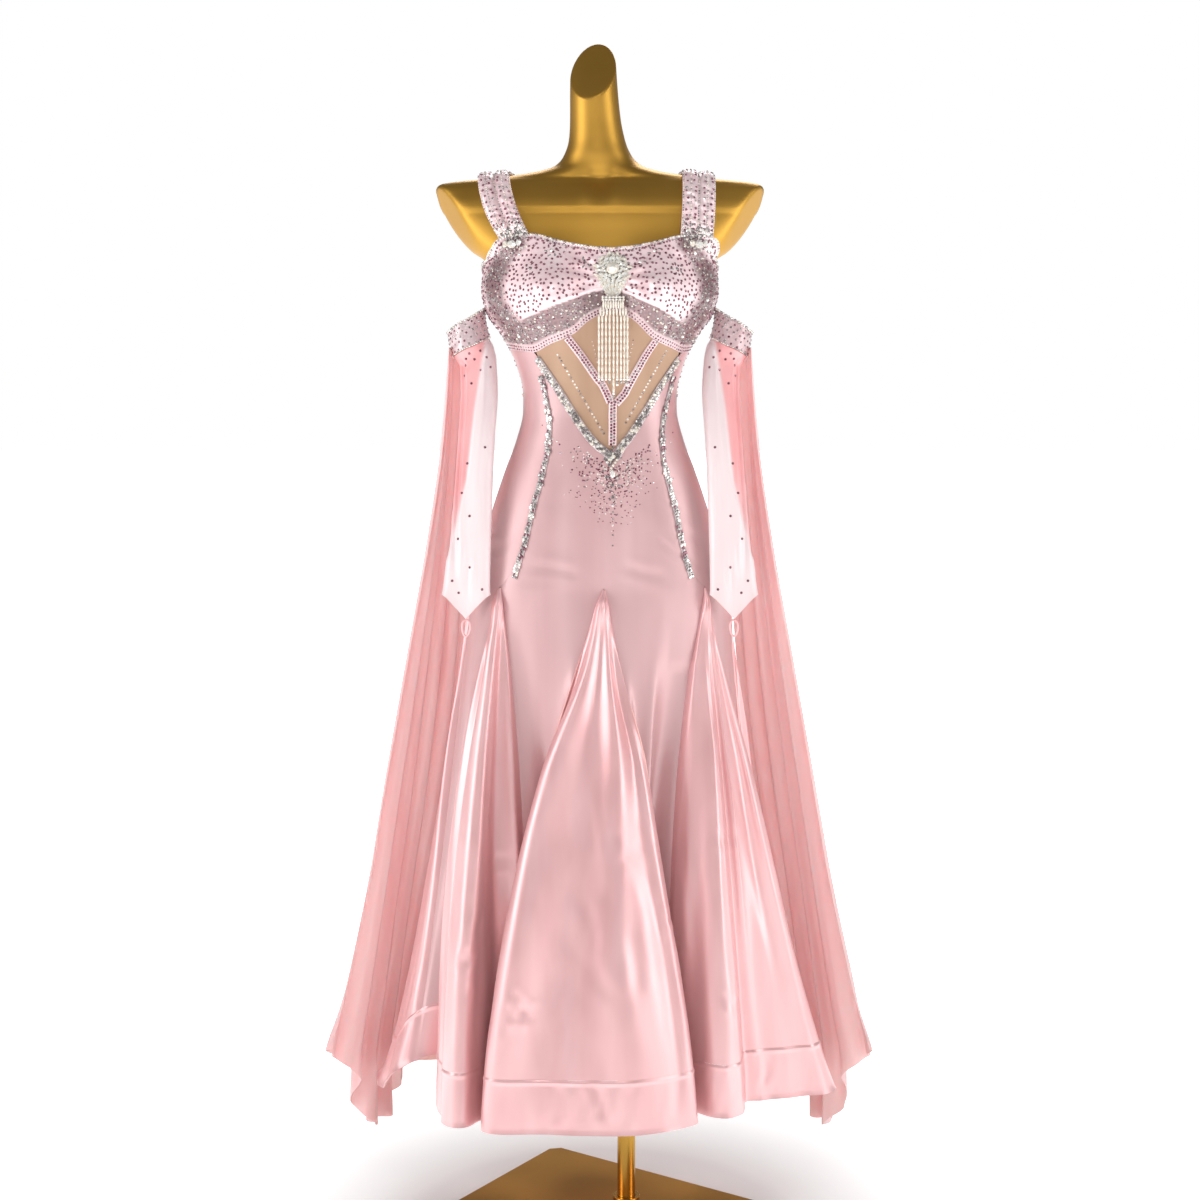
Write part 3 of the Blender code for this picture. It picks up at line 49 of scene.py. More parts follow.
# ---- sizes, in metres, as the solids have them -------------------------------------------
CLOTH = 0.0014              # outer face of the dress, outwards from the bare torso
SHEET = 0.0009              # wall of a piece here, inwards from its outer face
FLARE_TOP = 0.910           # height of the godets' points
BAND = 0.068                # depth of the hem band
FORM_BOTTOM = 0.868         # height of the form's lower rim
PLAIN_ABOVE = 0.34          # drop by which a godet has fully opened into its own folds
SIDE_SEAM, BACK_SEAM, CENTRE_FRONT = 92.0, 137.0, 5.0
INSERT_POINT = (5.0, 1.0870)
CUFF_POINT = 0.031          # how far a gauntlet's point reaches below its sides
FLOAT_FOLDS = 4.5           # folds across a float
PLATE, PLATE_SIDES, PLATE_TURN = 0.010, (0.294, 0.458), math.radians(-34.1)
POLE_XY, POLE_RADIUS = (0.037, 0.0), 0.0125
MOTIFS = (
    # x, z, radius, height of thick lace applique on the bust
    (-0.112, 1.345, 0.017, 0.0022), (-0.14, 1.318, 0.016, 0.0022), (-0.136, 1.285, 0.015, 0.0018),
    (-0.118, 1.262, 0.016, 0.0022), (-0.104, 1.238, 0.015, 0.0022), (-0.078, 1.25, 0.012, 0.0016),
    (-0.062, 1.345, 0.013, 0.0016), (-0.088, 1.322, 0.012, 0.0014), (-0.02, 1.33, 0.011, 0.0016),
    (0.122, 1.345, 0.017, 0.0022), (0.142, 1.318, 0.016, 0.0022), (0.138, 1.285, 0.015, 0.0018),
    (0.12, 1.262, 0.016, 0.0022), (0.106, 1.238, 0.015, 0.0022), (0.084, 1.25, 0.012, 0.0016),
    (0.07, 1.345, 0.013, 0.0016), (0.098, 1.322, 0.012, 0.0014), (0.052, 1.33, 0.011, 0.0016),
)
BROOCH = (0.0165, 1.3230)
TORSO = (
    # z, half width, front depth, back depth, centre x, centre y
    (0.85, 0.1775, 0.1, 0.112, 0.0, 0.0), (0.897, 0.1735, 0.101, 0.115, 0.0, 0.0),
    (0.938, 0.1637, 0.1, 0.1165, 0.0, 0.0), (0.979, 0.1526, 0.098, 0.113, 0.0, 0.0),
    (1.02, 0.14, 0.095, 0.104, 0.0, 0.0), (1.06, 0.1262, 0.091, 0.09, 0.0, 0.0),
    (1.1, 0.1112, 0.086, 0.077, 0.0, 0.0), (1.141, 0.1017, 0.082, 0.069, 0.0, 0.0),
    (1.161, 0.1015, 0.082, 0.068, 0.0, 0.0), (1.201, 0.1105, 0.085, 0.073, 0.0, 0.0),
    (1.241, 0.13, 0.088, 0.081, 0.0, 0.0), (1.271, 0.15, 0.089, 0.087, 0.0, 0.0),
    (1.3, 0.156, 0.088, 0.092, 0.0, 0.0), (1.322, 0.1545, 0.084, 0.095, 0.0, 0.001),
    (1.337, 0.156, 0.08, 0.095, 0.0, 0.002), (1.35, 0.174, 0.076, 0.094, 0.0, 0.003),
    (1.372, 0.198, 0.07, 0.091, 0.0, 0.005), (1.395, 0.218, 0.064, 0.085, 0.0, 0.007),
    (1.415, 0.23, 0.057, 0.077, 0.0, 0.009), (1.43, 0.229, 0.048, 0.064, 0.0, 0.011),
    (1.44, 0.212, 0.041, 0.052, 0.0, 0.012), (1.447, 0.15, 0.038, 0.044, 0.0, 0.013),
    (1.454, 0.095, 0.0385, 0.0425, -0.001, 0.013), (1.463, 0.06, 0.0385, 0.041, -0.002, 0.012),
    (1.476, 0.0468, 0.039, 0.041, -0.003, 0.011), (1.496, 0.0388, 0.037, 0.039, -0.004, 0.009),
    (1.522, 0.035, 0.035, 0.037, -0.006, 0.006), (1.56, 0.0328, 0.034, 0.035, -0.008, 0.002),
    (1.6, 0.031, 0.033, 0.034, -0.009, -0.001), (1.65, 0.029, 0.031, 0.032, -0.01, -0.003),
)
BUST = (
    # centre x, centre z, depth, spread x, spread z
    (-0.066, 1.288, 0.03, 0.038, 0.037), (0.072, 1.288, 0.03, 0.038, 0.037),
)
ARM_CUT = ((0.2162, 0.012, 1.4312), (0.842, -0.400, -0.382))    # point, normal
NECK_CUT = ((-0.010, 0.000, 1.586), (-0.210, -0.780, 0.600))

# ---- seam lines on the torso, angles in degrees from the front, + towards +X -----------
PRINCESS = (
    # z, left angle, right angle
    (0.91, -47.5, 50.8), (0.93, -40.5, 43.8), (0.963, -36.0, 40.2), (1.018, -34.6, 40.6),
    (1.06, -32.7, 39.8), (1.09, -33.0, 42.0), (1.13, -36.5, 50.0), (1.169, -42.0, 61.0),
    (1.217, -44.5, 64.0),
)
CENTRE = ((0.910, 1.0), (1.087, 5.0), (1.217, 5.0))      # height, angle of the centre front


# ---- the bodice ------------------------------------------------------------------------
NECKLINE = (
    # angle, height of the bust pieces' top edge
    (-92.0, 1.33), (-78.0, 1.336), (-54.0, 1.35), (-42.0, 1.364), (-34.0, 1.369), (-25.0, 1.369),
    (-16.5, 1.361), (-7.0, 1.354), (3.0, 1.3505), (13.4, 1.353), (23.0, 1.36), (30.5, 1.367),
    (40.0, 1.369), (49.3, 1.366), (65.0, 1.347), (80.0, 1.336), (92.0, 1.33),
)
UNDERBUST = (
    # angle, height of the bust pieces' lower edge
    (-92.0, 1.222), (-70.0, 1.2205), (-44.5, 1.217), (-28.0, 1.2275), (-12.5, 1.24), (-3.0, 1.259),
    (5.0, 1.27), (12.0, 1.262), (30.3, 1.2335), (45.0, 1.224), (64.0, 1.217), (92.0, 1.22),
)
BACK_TOP = (
    # angle either side of the centre back, height of the back bodice's top edge
    (88.0, 1.33), (72.0, 1.338), (56.0, 1.356), (46.0, 1.368), (28.0, 1.368), (16.0, 1.34), (0.0, 1.322),
)
BACK_WAIST = (
    # angle either side of the centre back, height of the back bodice's lower edge
    (88.0, 1.156), (60.0, 1.146), (30.0, 1.128), (0.0, 1.112),
)
FOLDS = (
    # angle, x, y, hem, spread, seam
    (-180.0, -0.078, 0.238, 0.2, 0.9, "centre_back_a"), (-168.0, -0.082, 0.205, 0.2, 0.9, ""),
    (-155.0, -0.098, 0.19, 0.2, 0.9, ""), (-137.0, -0.124, 0.2, 0.2, 0.9, "godet_back_l"),
    (-137.0, -0.15, 0.228, 0.2, 1.0, ""), (-137.0, -0.19, 0.238, 0.2, 1.0, ""),
    (-137.0, -0.224, 0.212, 0.2, 1.0, ""), (-137.0, -0.236, 0.172, 0.2, 1.0, ""),
    (-137.0, -0.216, 0.136, 0.2, 0.9, "side_back_l"), (-120.0, -0.212, 0.108, 0.203, 0.8, ""),
    (-105.0, -0.226, 0.088, 0.206, 0.7, ""), (-92.0, -0.25, 0.078, 0.208, 0.6, "godet_side_l"),
    (-92.0, -0.28, 0.06, 0.209, 0.6, ""), (-92.0, -0.302, 0.022, 0.211, 0.65, ""),
    (-92.0, -0.306, -0.024, 0.215, 0.75, ""), (-92.0, -0.3, -0.066, 0.224, 0.8, ""),
    (-92.0, -0.278, -0.1, 0.25, 0.8, ""), (-92.0, -0.248, -0.112, 0.276, 0.9, "side_front_l"),
    (-76.0, -0.222, -0.108, 0.284, 1.0, ""), (-62.0, -0.206, -0.118, 0.272, 1.2, ""),
    (-47.5, -0.2, -0.144, 0.252, 2.1, "godet_front_l"), (-47.5, -0.21, -0.175, 0.238, 2.0, ""),
    (-47.5, -0.205, -0.207, 0.231, 2.0, ""), (-47.5, -0.184, -0.222, 0.23, 1.8, ""),
    (-47.5, -0.16, -0.205, 0.23, 1.8, ""), (-47.5, -0.13, -0.172, 0.23, 2.2, ""),
    (-47.5, -0.096, -0.148, 0.23, 2.8, "centre_front_a"), (-38.0, -0.066, -0.13, 0.23, 2.4, ""),
    (-26.0, -0.05, -0.126, 0.23, 1.6, ""), (-12.0, -0.05, -0.142, 0.23, 2.8, ""),
    (1.0, -0.074, -0.167, 0.23, 3.4, "godet_front"), (1.0, -0.12, -0.189, 0.23, 1.9, ""),
    (1.0, -0.15, -0.21, 0.23, 1.7, ""), (1.0, -0.15, -0.233, 0.23, 1.7, ""),
    (1.0, -0.122, -0.247, 0.23, 1.5, ""), (1.0, -0.072, -0.252, 0.23, 1.2, ""),
    (1.0, -0.012, -0.254, 0.23, 1.1, ""), (1.0, 0.048, -0.249, 0.23, 1.1, ""),
    (1.0, 0.098, -0.236, 0.23, 1.1, ""), (1.0, 0.124, -0.214, 0.23, 1.2, ""),
    (1.0, 0.112, -0.19, 0.23, 1.4, ""), (1.0, 0.08, -0.168, 0.23, 2.0, "centre_front_b"),
    (16.0, 0.052, -0.146, 0.23, 1.4, ""), (28.0, 0.046, -0.126, 0.23, 1.8, ""),
    (40.0, 0.062, -0.119, 0.23, 2.6, ""), (50.8, 0.09, -0.137, 0.23, 3.0, "godet_front_r"),
    (50.8, 0.118, -0.162, 0.23, 2.6, ""), (50.8, 0.142, -0.188, 0.23, 2.0, ""),
    (50.8, 0.166, -0.197, 0.23, 1.6, ""), (50.8, 0.187, -0.184, 0.23, 1.3, ""),
    (50.8, 0.19, -0.156, 0.228, 1.2, ""), (50.8, 0.192, -0.13, 0.228, 1.2, ""),
    (50.8, 0.216, -0.118, 0.228, 1.1, ""), (50.8, 0.258, -0.118, 0.228, 1.0, ""),
    (50.8, 0.296, -0.11, 0.228, 1.0, ""), (50.8, 0.312, -0.084, 0.226, 0.9, ""),
    (50.8, 0.3, -0.056, 0.222, 0.8, "side_front_r"), (64.0, 0.276, -0.043, 0.22, 0.7, ""),
    (78.0, 0.262, -0.022, 0.218, 0.6, ""), (92.0, 0.274, 0.0, 0.215, 0.5, "godet_side_r"),
    (92.0, 0.298, 0.012, 0.213, 0.5, ""), (92.0, 0.304, 0.044, 0.211, 0.5, ""),
    (92.0, 0.285, 0.07, 0.209, 0.6, ""), (92.0, 0.254, 0.08, 0.208, 0.6, "side_back_r"),
    (105.0, 0.228, 0.088, 0.206, 0.7, ""), (120.0, 0.212, 0.108, 0.203, 0.8, ""),
    (137.0, 0.216, 0.136, 0.2, 0.9, "godet_back_r"), (137.0, 0.236, 0.172, 0.2, 1.0, ""),
    (137.0, 0.224, 0.212, 0.2, 1.0, ""), (137.0, 0.19, 0.238, 0.2, 1.0, ""),
    (137.0, 0.15, 0.228, 0.2, 1.0, ""), (137.0, 0.124, 0.2, 0.2, 0.9, "centre_back_b"),
    (155.0, 0.098, 0.19, 0.2, 0.9, ""), (168.0, 0.082, 0.205, 0.2, 0.9, ""),
    (180.0, 0.078, 0.238, 0.2, 0.9, "godet_back"), (180.0, 0.082, 0.268, 0.2, 1.0, ""),
    (180.0, 0.05, 0.292, 0.2, 1.0, ""), (180.0, 0.0, 0.3, 0.2, 1.0, ""),
    (180.0, -0.05, 0.292, 0.2, 1.0, ""), (180.0, -0.082, 0.268, 0.2, 1.0, ""),
)
STRAPS = (
    # side, inner and outer x at the front foot, at the shoulder, at the back foot
    ("l", -0.088, -0.129, -0.12, -0.162, -0.08, -0.122), ("r", 0.1035, 0.146, 0.1085, 0.152, 0.08, 0.122),
)
CUFF_BAND = numbered((
    # z inner, z outer, x inner, x outer, y, half depth
    (1.276, 1.2435, -0.1556, -0.202, 0.004, 0.03), (1.26, 1.231, -0.1545, -0.2, 0.003, 0.031),
    (1.236, 1.212, -0.149, -0.195, 0.0, 0.03),
))
GAUNTLET = numbered((
    # z, x inner, x outer, y, half depth
    (1.2354, -0.149, -0.195, 0.0, 0.0298), (1.205, -0.142, -0.185, -0.014, 0.015),
    (1.16, -0.1395, -0.183, -0.03, 0.0105), (1.1, -0.143, -0.186, -0.048, 0.0085),
    (1.03, -0.1455, -0.191, -0.063, 0.008), (0.96, -0.1475, -0.197, -0.0755, 0.008),
    (0.9, -0.1485, -0.2035, -0.083, 0.008),
))
FLOAT = (
    # z, outer x, outer y, inner x, inner y, fold depth
    (1.224, -0.1993, -0.018, -0.156, 0.041, 0.0008), (1.16, -0.203, -0.014, -0.161, 0.046, 0.0035),
    (1.08, -0.211, -0.01, -0.17, 0.052, 0.005), (0.96, -0.23, -0.006, -0.179, 0.062, 0.0065),
    (0.8, -0.26, -0.004, -0.191, 0.074, 0.0085), (0.62, -0.293, -0.004, -0.215, 0.09, 0.0105),
    (0.45, -0.322, -0.002, -0.246, 0.11, 0.0115), (0.32, -0.342, 0.0, -0.27, 0.126, 0.013),
    (0.22, -0.356, 0.002, -0.285, 0.136, 0.0135), (0.12, -0.356, 0.004, -0.29, 0.142, 0.014),
)
FLOAT_HEM = (
    # share across, height of the lower edge, reach outwards at the lower edge
    (0.0, 0.262, 0.036), (0.1, 0.235, 0.022), (0.2, 0.196, 0.01), (0.3, 0.148, 0.002), (0.42, 0.121, 0.0),
    (0.6, 0.124, 0.0), (0.8, 0.156, 0.0), (1.0, 0.21, 0.0),
)
FRINGE = (
    # share of the strip's width, length of the strand
    (0.04, 0.104), (0.15, 0.108), (0.27, 0.106), (0.39, 0.11), (0.52, 0.128), (0.64, 0.112), (0.76, 0.11),
    (0.87, 0.108), (0.97, 0.112),
)
rng = random.Random(11)


# ---- numbers along tables ----------------------------------------------------------------
_tables = {}


def curve(rows, value, column=1):
    """Smooth curve through a table's rows, never over- or undershooting them."""
    key = (id(rows), column)
    if key not in _tables:
        done = sorted(rows)
        xs = np.array([r[0] for r in done], float)
        ys = np.array([r[column] for r in done], float)
        rise = np.diff(ys) / np.diff(xs)
        slope = np.concatenate([rise[:1], np.zeros(len(xs) - 2), rise[-1:]])
        a, b = rise[:-1], rise[1:]
        same = a * b > 0
        slope[1:-1] = np.where(same, 2 * a * b / np.where(same, a + b, 1.0), 0.0)
        _tables[key] = (xs, ys, slope)
    xs, ys, slope = _tables[key]
    v = np.clip(value, xs[0], xs[-1])
    i = np.clip(np.searchsorted(xs, v, side="left") - 1, 0, len(xs) - 2)
    span = xs[i + 1] - xs[i]
    t = (v - xs[i]) / span
    return ((2 * t ** 3 - 3 * t ** 2 + 1) * ys[i] + (t ** 3 - 2 * t ** 2 + t) * span * slope[i]
            + (3 * t ** 2 - 2 * t ** 3) * ys[i + 1] + (t ** 3 - t ** 2) * span * slope[i + 1])


def mix(a, b, t):
    return a + (b - a) * t


def soft(value, low, high):
    """0 below low, 1 above high, smooth between."""
    t = np.clip((np.asarray(value, float) - low) / (high - low), 0.0, 1.0)
    return t * t * (3.0 - 2.0 * t)


def hump(value, centre, width):
    return np.exp(-((np.asarray(value, float) - centre) / width) ** 2)


def unit(v):
    return v / np.maximum(np.linalg.norm(v, axis=-1, keepdims=True), 1e-9)


def ripple(value, seed, count=5):
    """Uneven smooth wave, about -1 to 1, the same for the same seed."""
    pick = random.Random(seed)
    total = 0.0
    for k in range(count):
        total = total + math.pow(0.72, k) * np.sin(value * (1.0 + 0.83 * k) + pick.uniform(0, 6.3))
    return total / 2.2


# ---- the torso ---------------------------------------------------------------------------
def torso(angle, z, bust=1.0):
    angle, z = np.broadcast_arrays(np.asarray(angle, float), np.asarray(z, float))
    c, s = np.cos(np.radians(angle)), np.sin(np.radians(angle))
    power = 2.0 / (2.3 - 0.3 * np.clip((z - 1.30) / 0.12, 0.0, 1.0))
    depth = np.where(c > 0, curve(TORSO, z, 2), curve(TORSO, z, 3))
    x = curve(TORSO, z, 1) * np.sign(s) * np.abs(s) ** power
    y = -depth * np.sign(c) * np.abs(c) ** power
    for bx, bz, amount, wide, tall in BUST:
        rise = (z - bz) / (tall * np.where(z > bz, 1.25, 1.0))
        lift = amount * np.exp(-((x - bx) / wide) ** 2 - rise ** 2) * np.minimum(1.0, c * 2.2)
        y = y - np.where(c > 0, bust * lift, 0.0)
    return np.stack([x + curve(TORSO, z, 4), y + curve(TORSO, z, 5), z], -1)


def torso_normal(angle, z):
    along = torso(np.add(angle, 0.8), z) - torso(np.subtract(angle, 0.8), z)
    up = torso(angle, np.add(z, 0.002)) - torso(angle, np.subtract(z, 0.002))
    return unit(np.cross(along, up))


def on_torso(path):
    """Points and normals of the bare torso at rows of (angle, z)."""
    angle, z = np.asarray(path, float).T
    return torso(angle, z), torso_normal(angle, z)


def angle_at(x, z):
    """Angle on the front where the torso has this x."""
    x, z = np.broadcast_arrays(np.asarray(x, float), np.asarray(z, float))
    low, high = np.full(x.shape, -92.0), np.full(x.shape, 92.0)
    for _ in range(34):
        middle = 0.5 * (low + high)
        less = torso(middle, z)[..., 0] < x
        low, high = np.where(less, middle, low), np.where(less, high, middle)
    return 0.5 * (low + high)


def neckline(angle):
    return curve(NECKLINE, angle)


def underbust(angle):
    return curve(UNDERBUST, angle)


def insert_edge(angle):
    point, low = INSERT_POINT
    angle = np.asarray(angle, float)
    return np.where(angle < point, mix(low, 1.217, (point - angle) / (point + 44.5)),
                    mix(low, 1.217, (angle - point) / (64.0 - point)))


def seam_angle(z, side):
    return curve(PRINCESS, z, 1 if side < 0 else 2)


def back_line(rows, angle):
    return curve(rows, np.abs(180.0 - np.abs(angle)))


# ---- the skirt ---------------------------------------------------------------------------
ROWS = np.array([row[:5] for row in FOLDS], float)
COUNT = len(FOLDS)


def fold(c, column):
    c = np.asarray(c, float)
    i = np.floor(c).astype(int)
    t = c - i
    if column == 0:
        a, b = (ROWS[k % COUNT, 0] + 360.0 * (k // COUNT) for k in (i, i + 1))
        return np.where(ROWS[i % COUNT, 0] == 180.0, 180.0, mix(a, b, t))
    p0, p1, p2, p3 = (ROWS[(i + k) % COUNT, column] for k in (-1, 0, 1, 2))
    return 0.5 * (2 * p1 + (p2 - p0) * t + (2 * p0 - 5 * p1 + 4 * p2 - p3) * t * t
                  + (3 * p1 - p0 - 3 * p2 + p3) * t ** 3)


def cone(c, drop):
    start = torso(fold(c, 0), FLARE_TOP)
    spread = fold(c, 4)
    left = np.clip(1.0 - np.asarray(drop, float), 0.0, 1.0)
    x = mix(start[..., 0], fold(c, 1), 1.0 - left ** spread)
    y = mix(start[..., 1], fold(c, 2), 1.0 - left ** np.minimum(spread, 1.15))
    z = mix(FLARE_TOP, fold(c, 3), drop)
    half, depth = curve(TORSO, z, 1), np.where(y < 0, curve(TORSO, z, 2), curve(TORSO, z, 3))
    reach = ((np.abs(x) / half) ** 2.3 + (np.abs(y) / depth) ** 2.3) ** (1 / 2.3)
    push = np.where((z > FORM_BOTTOM - 0.06) & (reach < 1.002), 1.002 / np.maximum(reach, 1e-6), 1.0)
    return np.stack([x * push, y * push, z], -1)


STARTS = [i for i in range(COUNT) if FOLDS[i][5]]
RUNS = [max(k for k in STARTS if k <= i) for i in range(COUNT)]
RUN_FIRST = np.array([float(RUNS[i]) for i in range(COUNT)])
RUN_LAST = np.array([float(min([k for k in STARTS if k > i] + [COUNT])) for i in range(COUNT)])
IS_GODET = np.array(["godet" in FOLDS[RUNS[i]][5] for i in range(COUNT)])


def skirt(c, drop):
    """Skirt point at fold position c; drop is 0 at the godets' points and 1 at the hem.  Near
    its point a godet is one plain arch, and opens into its own folds below."""
    c, drop = np.broadcast_arrays(np.asarray(c, float), np.asarray(drop, float))
    spot = cone(c, drop)
    i = np.floor(c).astype(int)
    turn = (i // COUNT) * COUNT
    first, last = RUN_FIRST[i % COUNT] + turn, RUN_LAST[i % COUNT] + turn
    a, b, m = cone(first, drop), cone(last, drop), cone((first + last) / 2, drop)
    t = ((c - first) / (last - first))[..., None]
    arch = a + (b - a) * t + (m - (a + b) * 0.5) * np.sin(np.pi * t)
    share = np.where(IS_GODET[i % COUNT], soft(drop, 0.0, PLAIN_ABOVE), 1.0)[..., None]
    return np.concatenate([mix(arch, spot, share)[..., :2], spot[..., 2:]], -1)


def skirt_normal(c, drop):
    c, drop = np.broadcast_arrays(np.asarray(c, float), np.asarray(drop, float))
    d = np.clip(drop, 0.02, 0.98)
    along = skirt(c + 0.12, d) - skirt(c - 0.12, d)
    up = skirt(c, d - 0.015) - skirt(c, d + 0.015)
    return unit(np.cross(along, up))


def band_drop(c, up=BAND):
    return 1.0 - up / (FLARE_TOP - fold(c, 3))


def seam_index(piece):
    first = next(i for i in range(COUNT) if FOLDS[i][5] == piece)
    last = first + 1
    while not FOLDS[last % COUNT][5]:
        last += 1
    return first, last


# ---- materials ---------------------------------------------------------------------------
def nodes_of(name, values=None):
    """A material, its tree and its shader, with the values that are the same all over."""
    made = bpy.data.materials.new(name)
    made.use_nodes = True
    shader = made.node_tree.nodes["Principled BSDF"]
    for key, value in (values or {}).items():
        shader.inputs[key].default_value = value
    return made, made.node_tree, shader


def add(tree, kind, inputs=None, **settings):
    node = tree.nodes.new(kind)
    for key, value in settings.items():
        setattr(node, key, value)
    for key, value in (inputs or {}).items():
        if isinstance(value, bpy.types.NodeSocket):
            tree.links.new(value, node.inputs[key])
        else:
            node.inputs[key].default_value = value
    return node


def ramp(tree, factor, stops):
    node = add(tree, "ShaderNodeValToRGB", {"Fac": factor})
    band = node.color_ramp
    while len(band.elements) < len(stops):
        band.elements.new(0.5)
    for item, (place, colour) in zip(band.elements, stops):
        item.position = place
        item.color = (*colour, 1.0)
    return node.outputs["Color"]


def stretched(tree, scale):
    place = add(tree, "ShaderNodeTexCoord").outputs["Object"]
    return add(tree, "ShaderNodeMapping", {"Vector": place, "Scale": scale}).outputs["Vector"]


def noise(tree, scale, detail, rough=None):
    """Fac of a noise whose object coordinates are stretched by scale."""
    inputs = {"Vector": stretched(tree, scale), "Scale": 1.0, "Detail": detail}
    if rough is not None:
        inputs["Roughness"] = rough
    return add(tree, "ShaderNodeTexNoise", inputs).outputs["Fac"]


def roughened(tree, shader, factor, rough, **ends):
    """Roughness a little under and over rough, along the factor."""
    inputs = {key.replace("_", " "): value for key, value in ends.items()}
    inputs.update({"Value": factor, "To Min": rough - 0.04, "To Max": rough + 0.05})
    spread = add(tree, "ShaderNodeMapRange", inputs)
    tree.links.new(spread.outputs["Result"], shader.inputs["Roughness"])


def cloth_look(name, dark, mid, light, rough, metal=0.0, sheen=0.0, weave=1900.0, bump=0.05,
               alpha=1.0, streak=(26.0, 26.0, 2.2), specular=0.5, tint=(1.0, 1.0, 1.0),
               through_light=0.0, gloss=0.0):
    """Woven cloth: painted sheen as lighter and darker streaks running down the cloth, soft mottling and a
    fine weave.
    """
    made, tree, shader = nodes_of(name, {
        "Metallic": metal, "Sheen Weight": sheen, "Sheen Tint": (*tint, 1.0), "Specular IOR Level": specular,
        "Alpha": alpha, "Coat Weight": gloss, "Coat Roughness": 0.30})
    # painted sheen: streaks of lighter and darker base colour running down the cloth
    sheen_streaks = noise(tree, streak, 2.0, 0.5)
    tree.links.new(ramp(tree, sheen_streaks, ((0.30, dark), (0.50, mid), (0.72, light))), shader.inputs["Base Color"])
    warp = noise(tree, (weave, weave, weave * 0.6), 0.0)
    mottle = noise(tree, (34.0, 34.0, 20.0), 1.0)
    roughened(tree, shader, mottle, rough, From_Min=0.3, From_Max=0.7)
    soft_bump = add(tree, "ShaderNodeBump", {"Height": mottle, "Strength": bump, "Distance": 0.002})
    fine = add(tree, "ShaderNodeBump", {"Height": warp, "Strength": 0.05, "Distance": 0.0001,
                                        "Normal": soft_bump.outputs["Normal"]})
    tree.links.new(fine.outputs["Normal"], shader.inputs["Normal"])
    if through_light:
        shader.inputs["Subsurface Weight"].default_value = through_light
        shader.inputs["Subsurface Radius"].default_value = (1.0, 0.45, 0.42)
        shader.inputs["Subsurface Scale"].default_value = 0.004
    return made


def zoned(made, stops, scale):
    """Second colour where the mesh's zone says so, broken up by cells of this scale."""
    tree = made.node_tree
    shader = tree.nodes["Principled BSDF"]
    plain = shader.inputs["Base Color"].links[0].from_socket
    zone = add(tree, "ShaderNodeAttribute", attribute_name="zone").outputs["Fac"]
    cells = add(tree, "ShaderNodeTexVoronoi", {"Vector": stretched(tree, scale), "Scale": 1.0})
    blend = add(tree, "ShaderNodeMix", data_type="RGBA")
    tree.links.new(zone, blend.inputs["Factor"])
    tree.links.new(plain, blend.inputs[6])
    tree.links.new(ramp(tree, cells.outputs["Distance"], stops), blend.inputs[7])
    tree.links.new(blend.outputs[2], shader.inputs["Base Color"])
    return made


def metal_look(name, dark, light, rough, scale=9.0):
    """Lacquered metal: cloudy shade and a fine grain."""
    made, tree, shader = nodes_of(name, {"Metallic": 1.0})
    cloud = noise(tree, (scale,) * 3, 3.0)
    tree.links.new(ramp(tree, cloud, ((0.3, dark), (0.7, light))), shader.inputs["Base Color"])
    grain = noise(tree, (260.0,) * 3, 0.0)
    roughened(tree, shader, cloud, rough)
    bump = add(tree, "ShaderNodeBump", {"Height": grain, "Strength": 0.03, "Distance": 0.0001})
    tree.links.new(bump.outputs["Normal"], shader.inputs["Normal"])
    return made


def gem_look(name, colours, rough, metal, specular=0.8):
    """Cut stones and beads: each differs a little from its neighbour."""
    made, tree, shader = nodes_of(name, {
        "Roughness": rough, "Metallic": metal, "Specular IOR Level": specular, "Coat Weight": 0.4})
    speck = noise(tree, (330.0,) * 3, 1.0)
    steps = [(0.28 + 0.44 * k / (len(colours) - 1), c) for k, c in enumerate(colours)]
    tree.links.new(ramp(tree, speck, steps), shader.inputs["Base Color"])
    return made


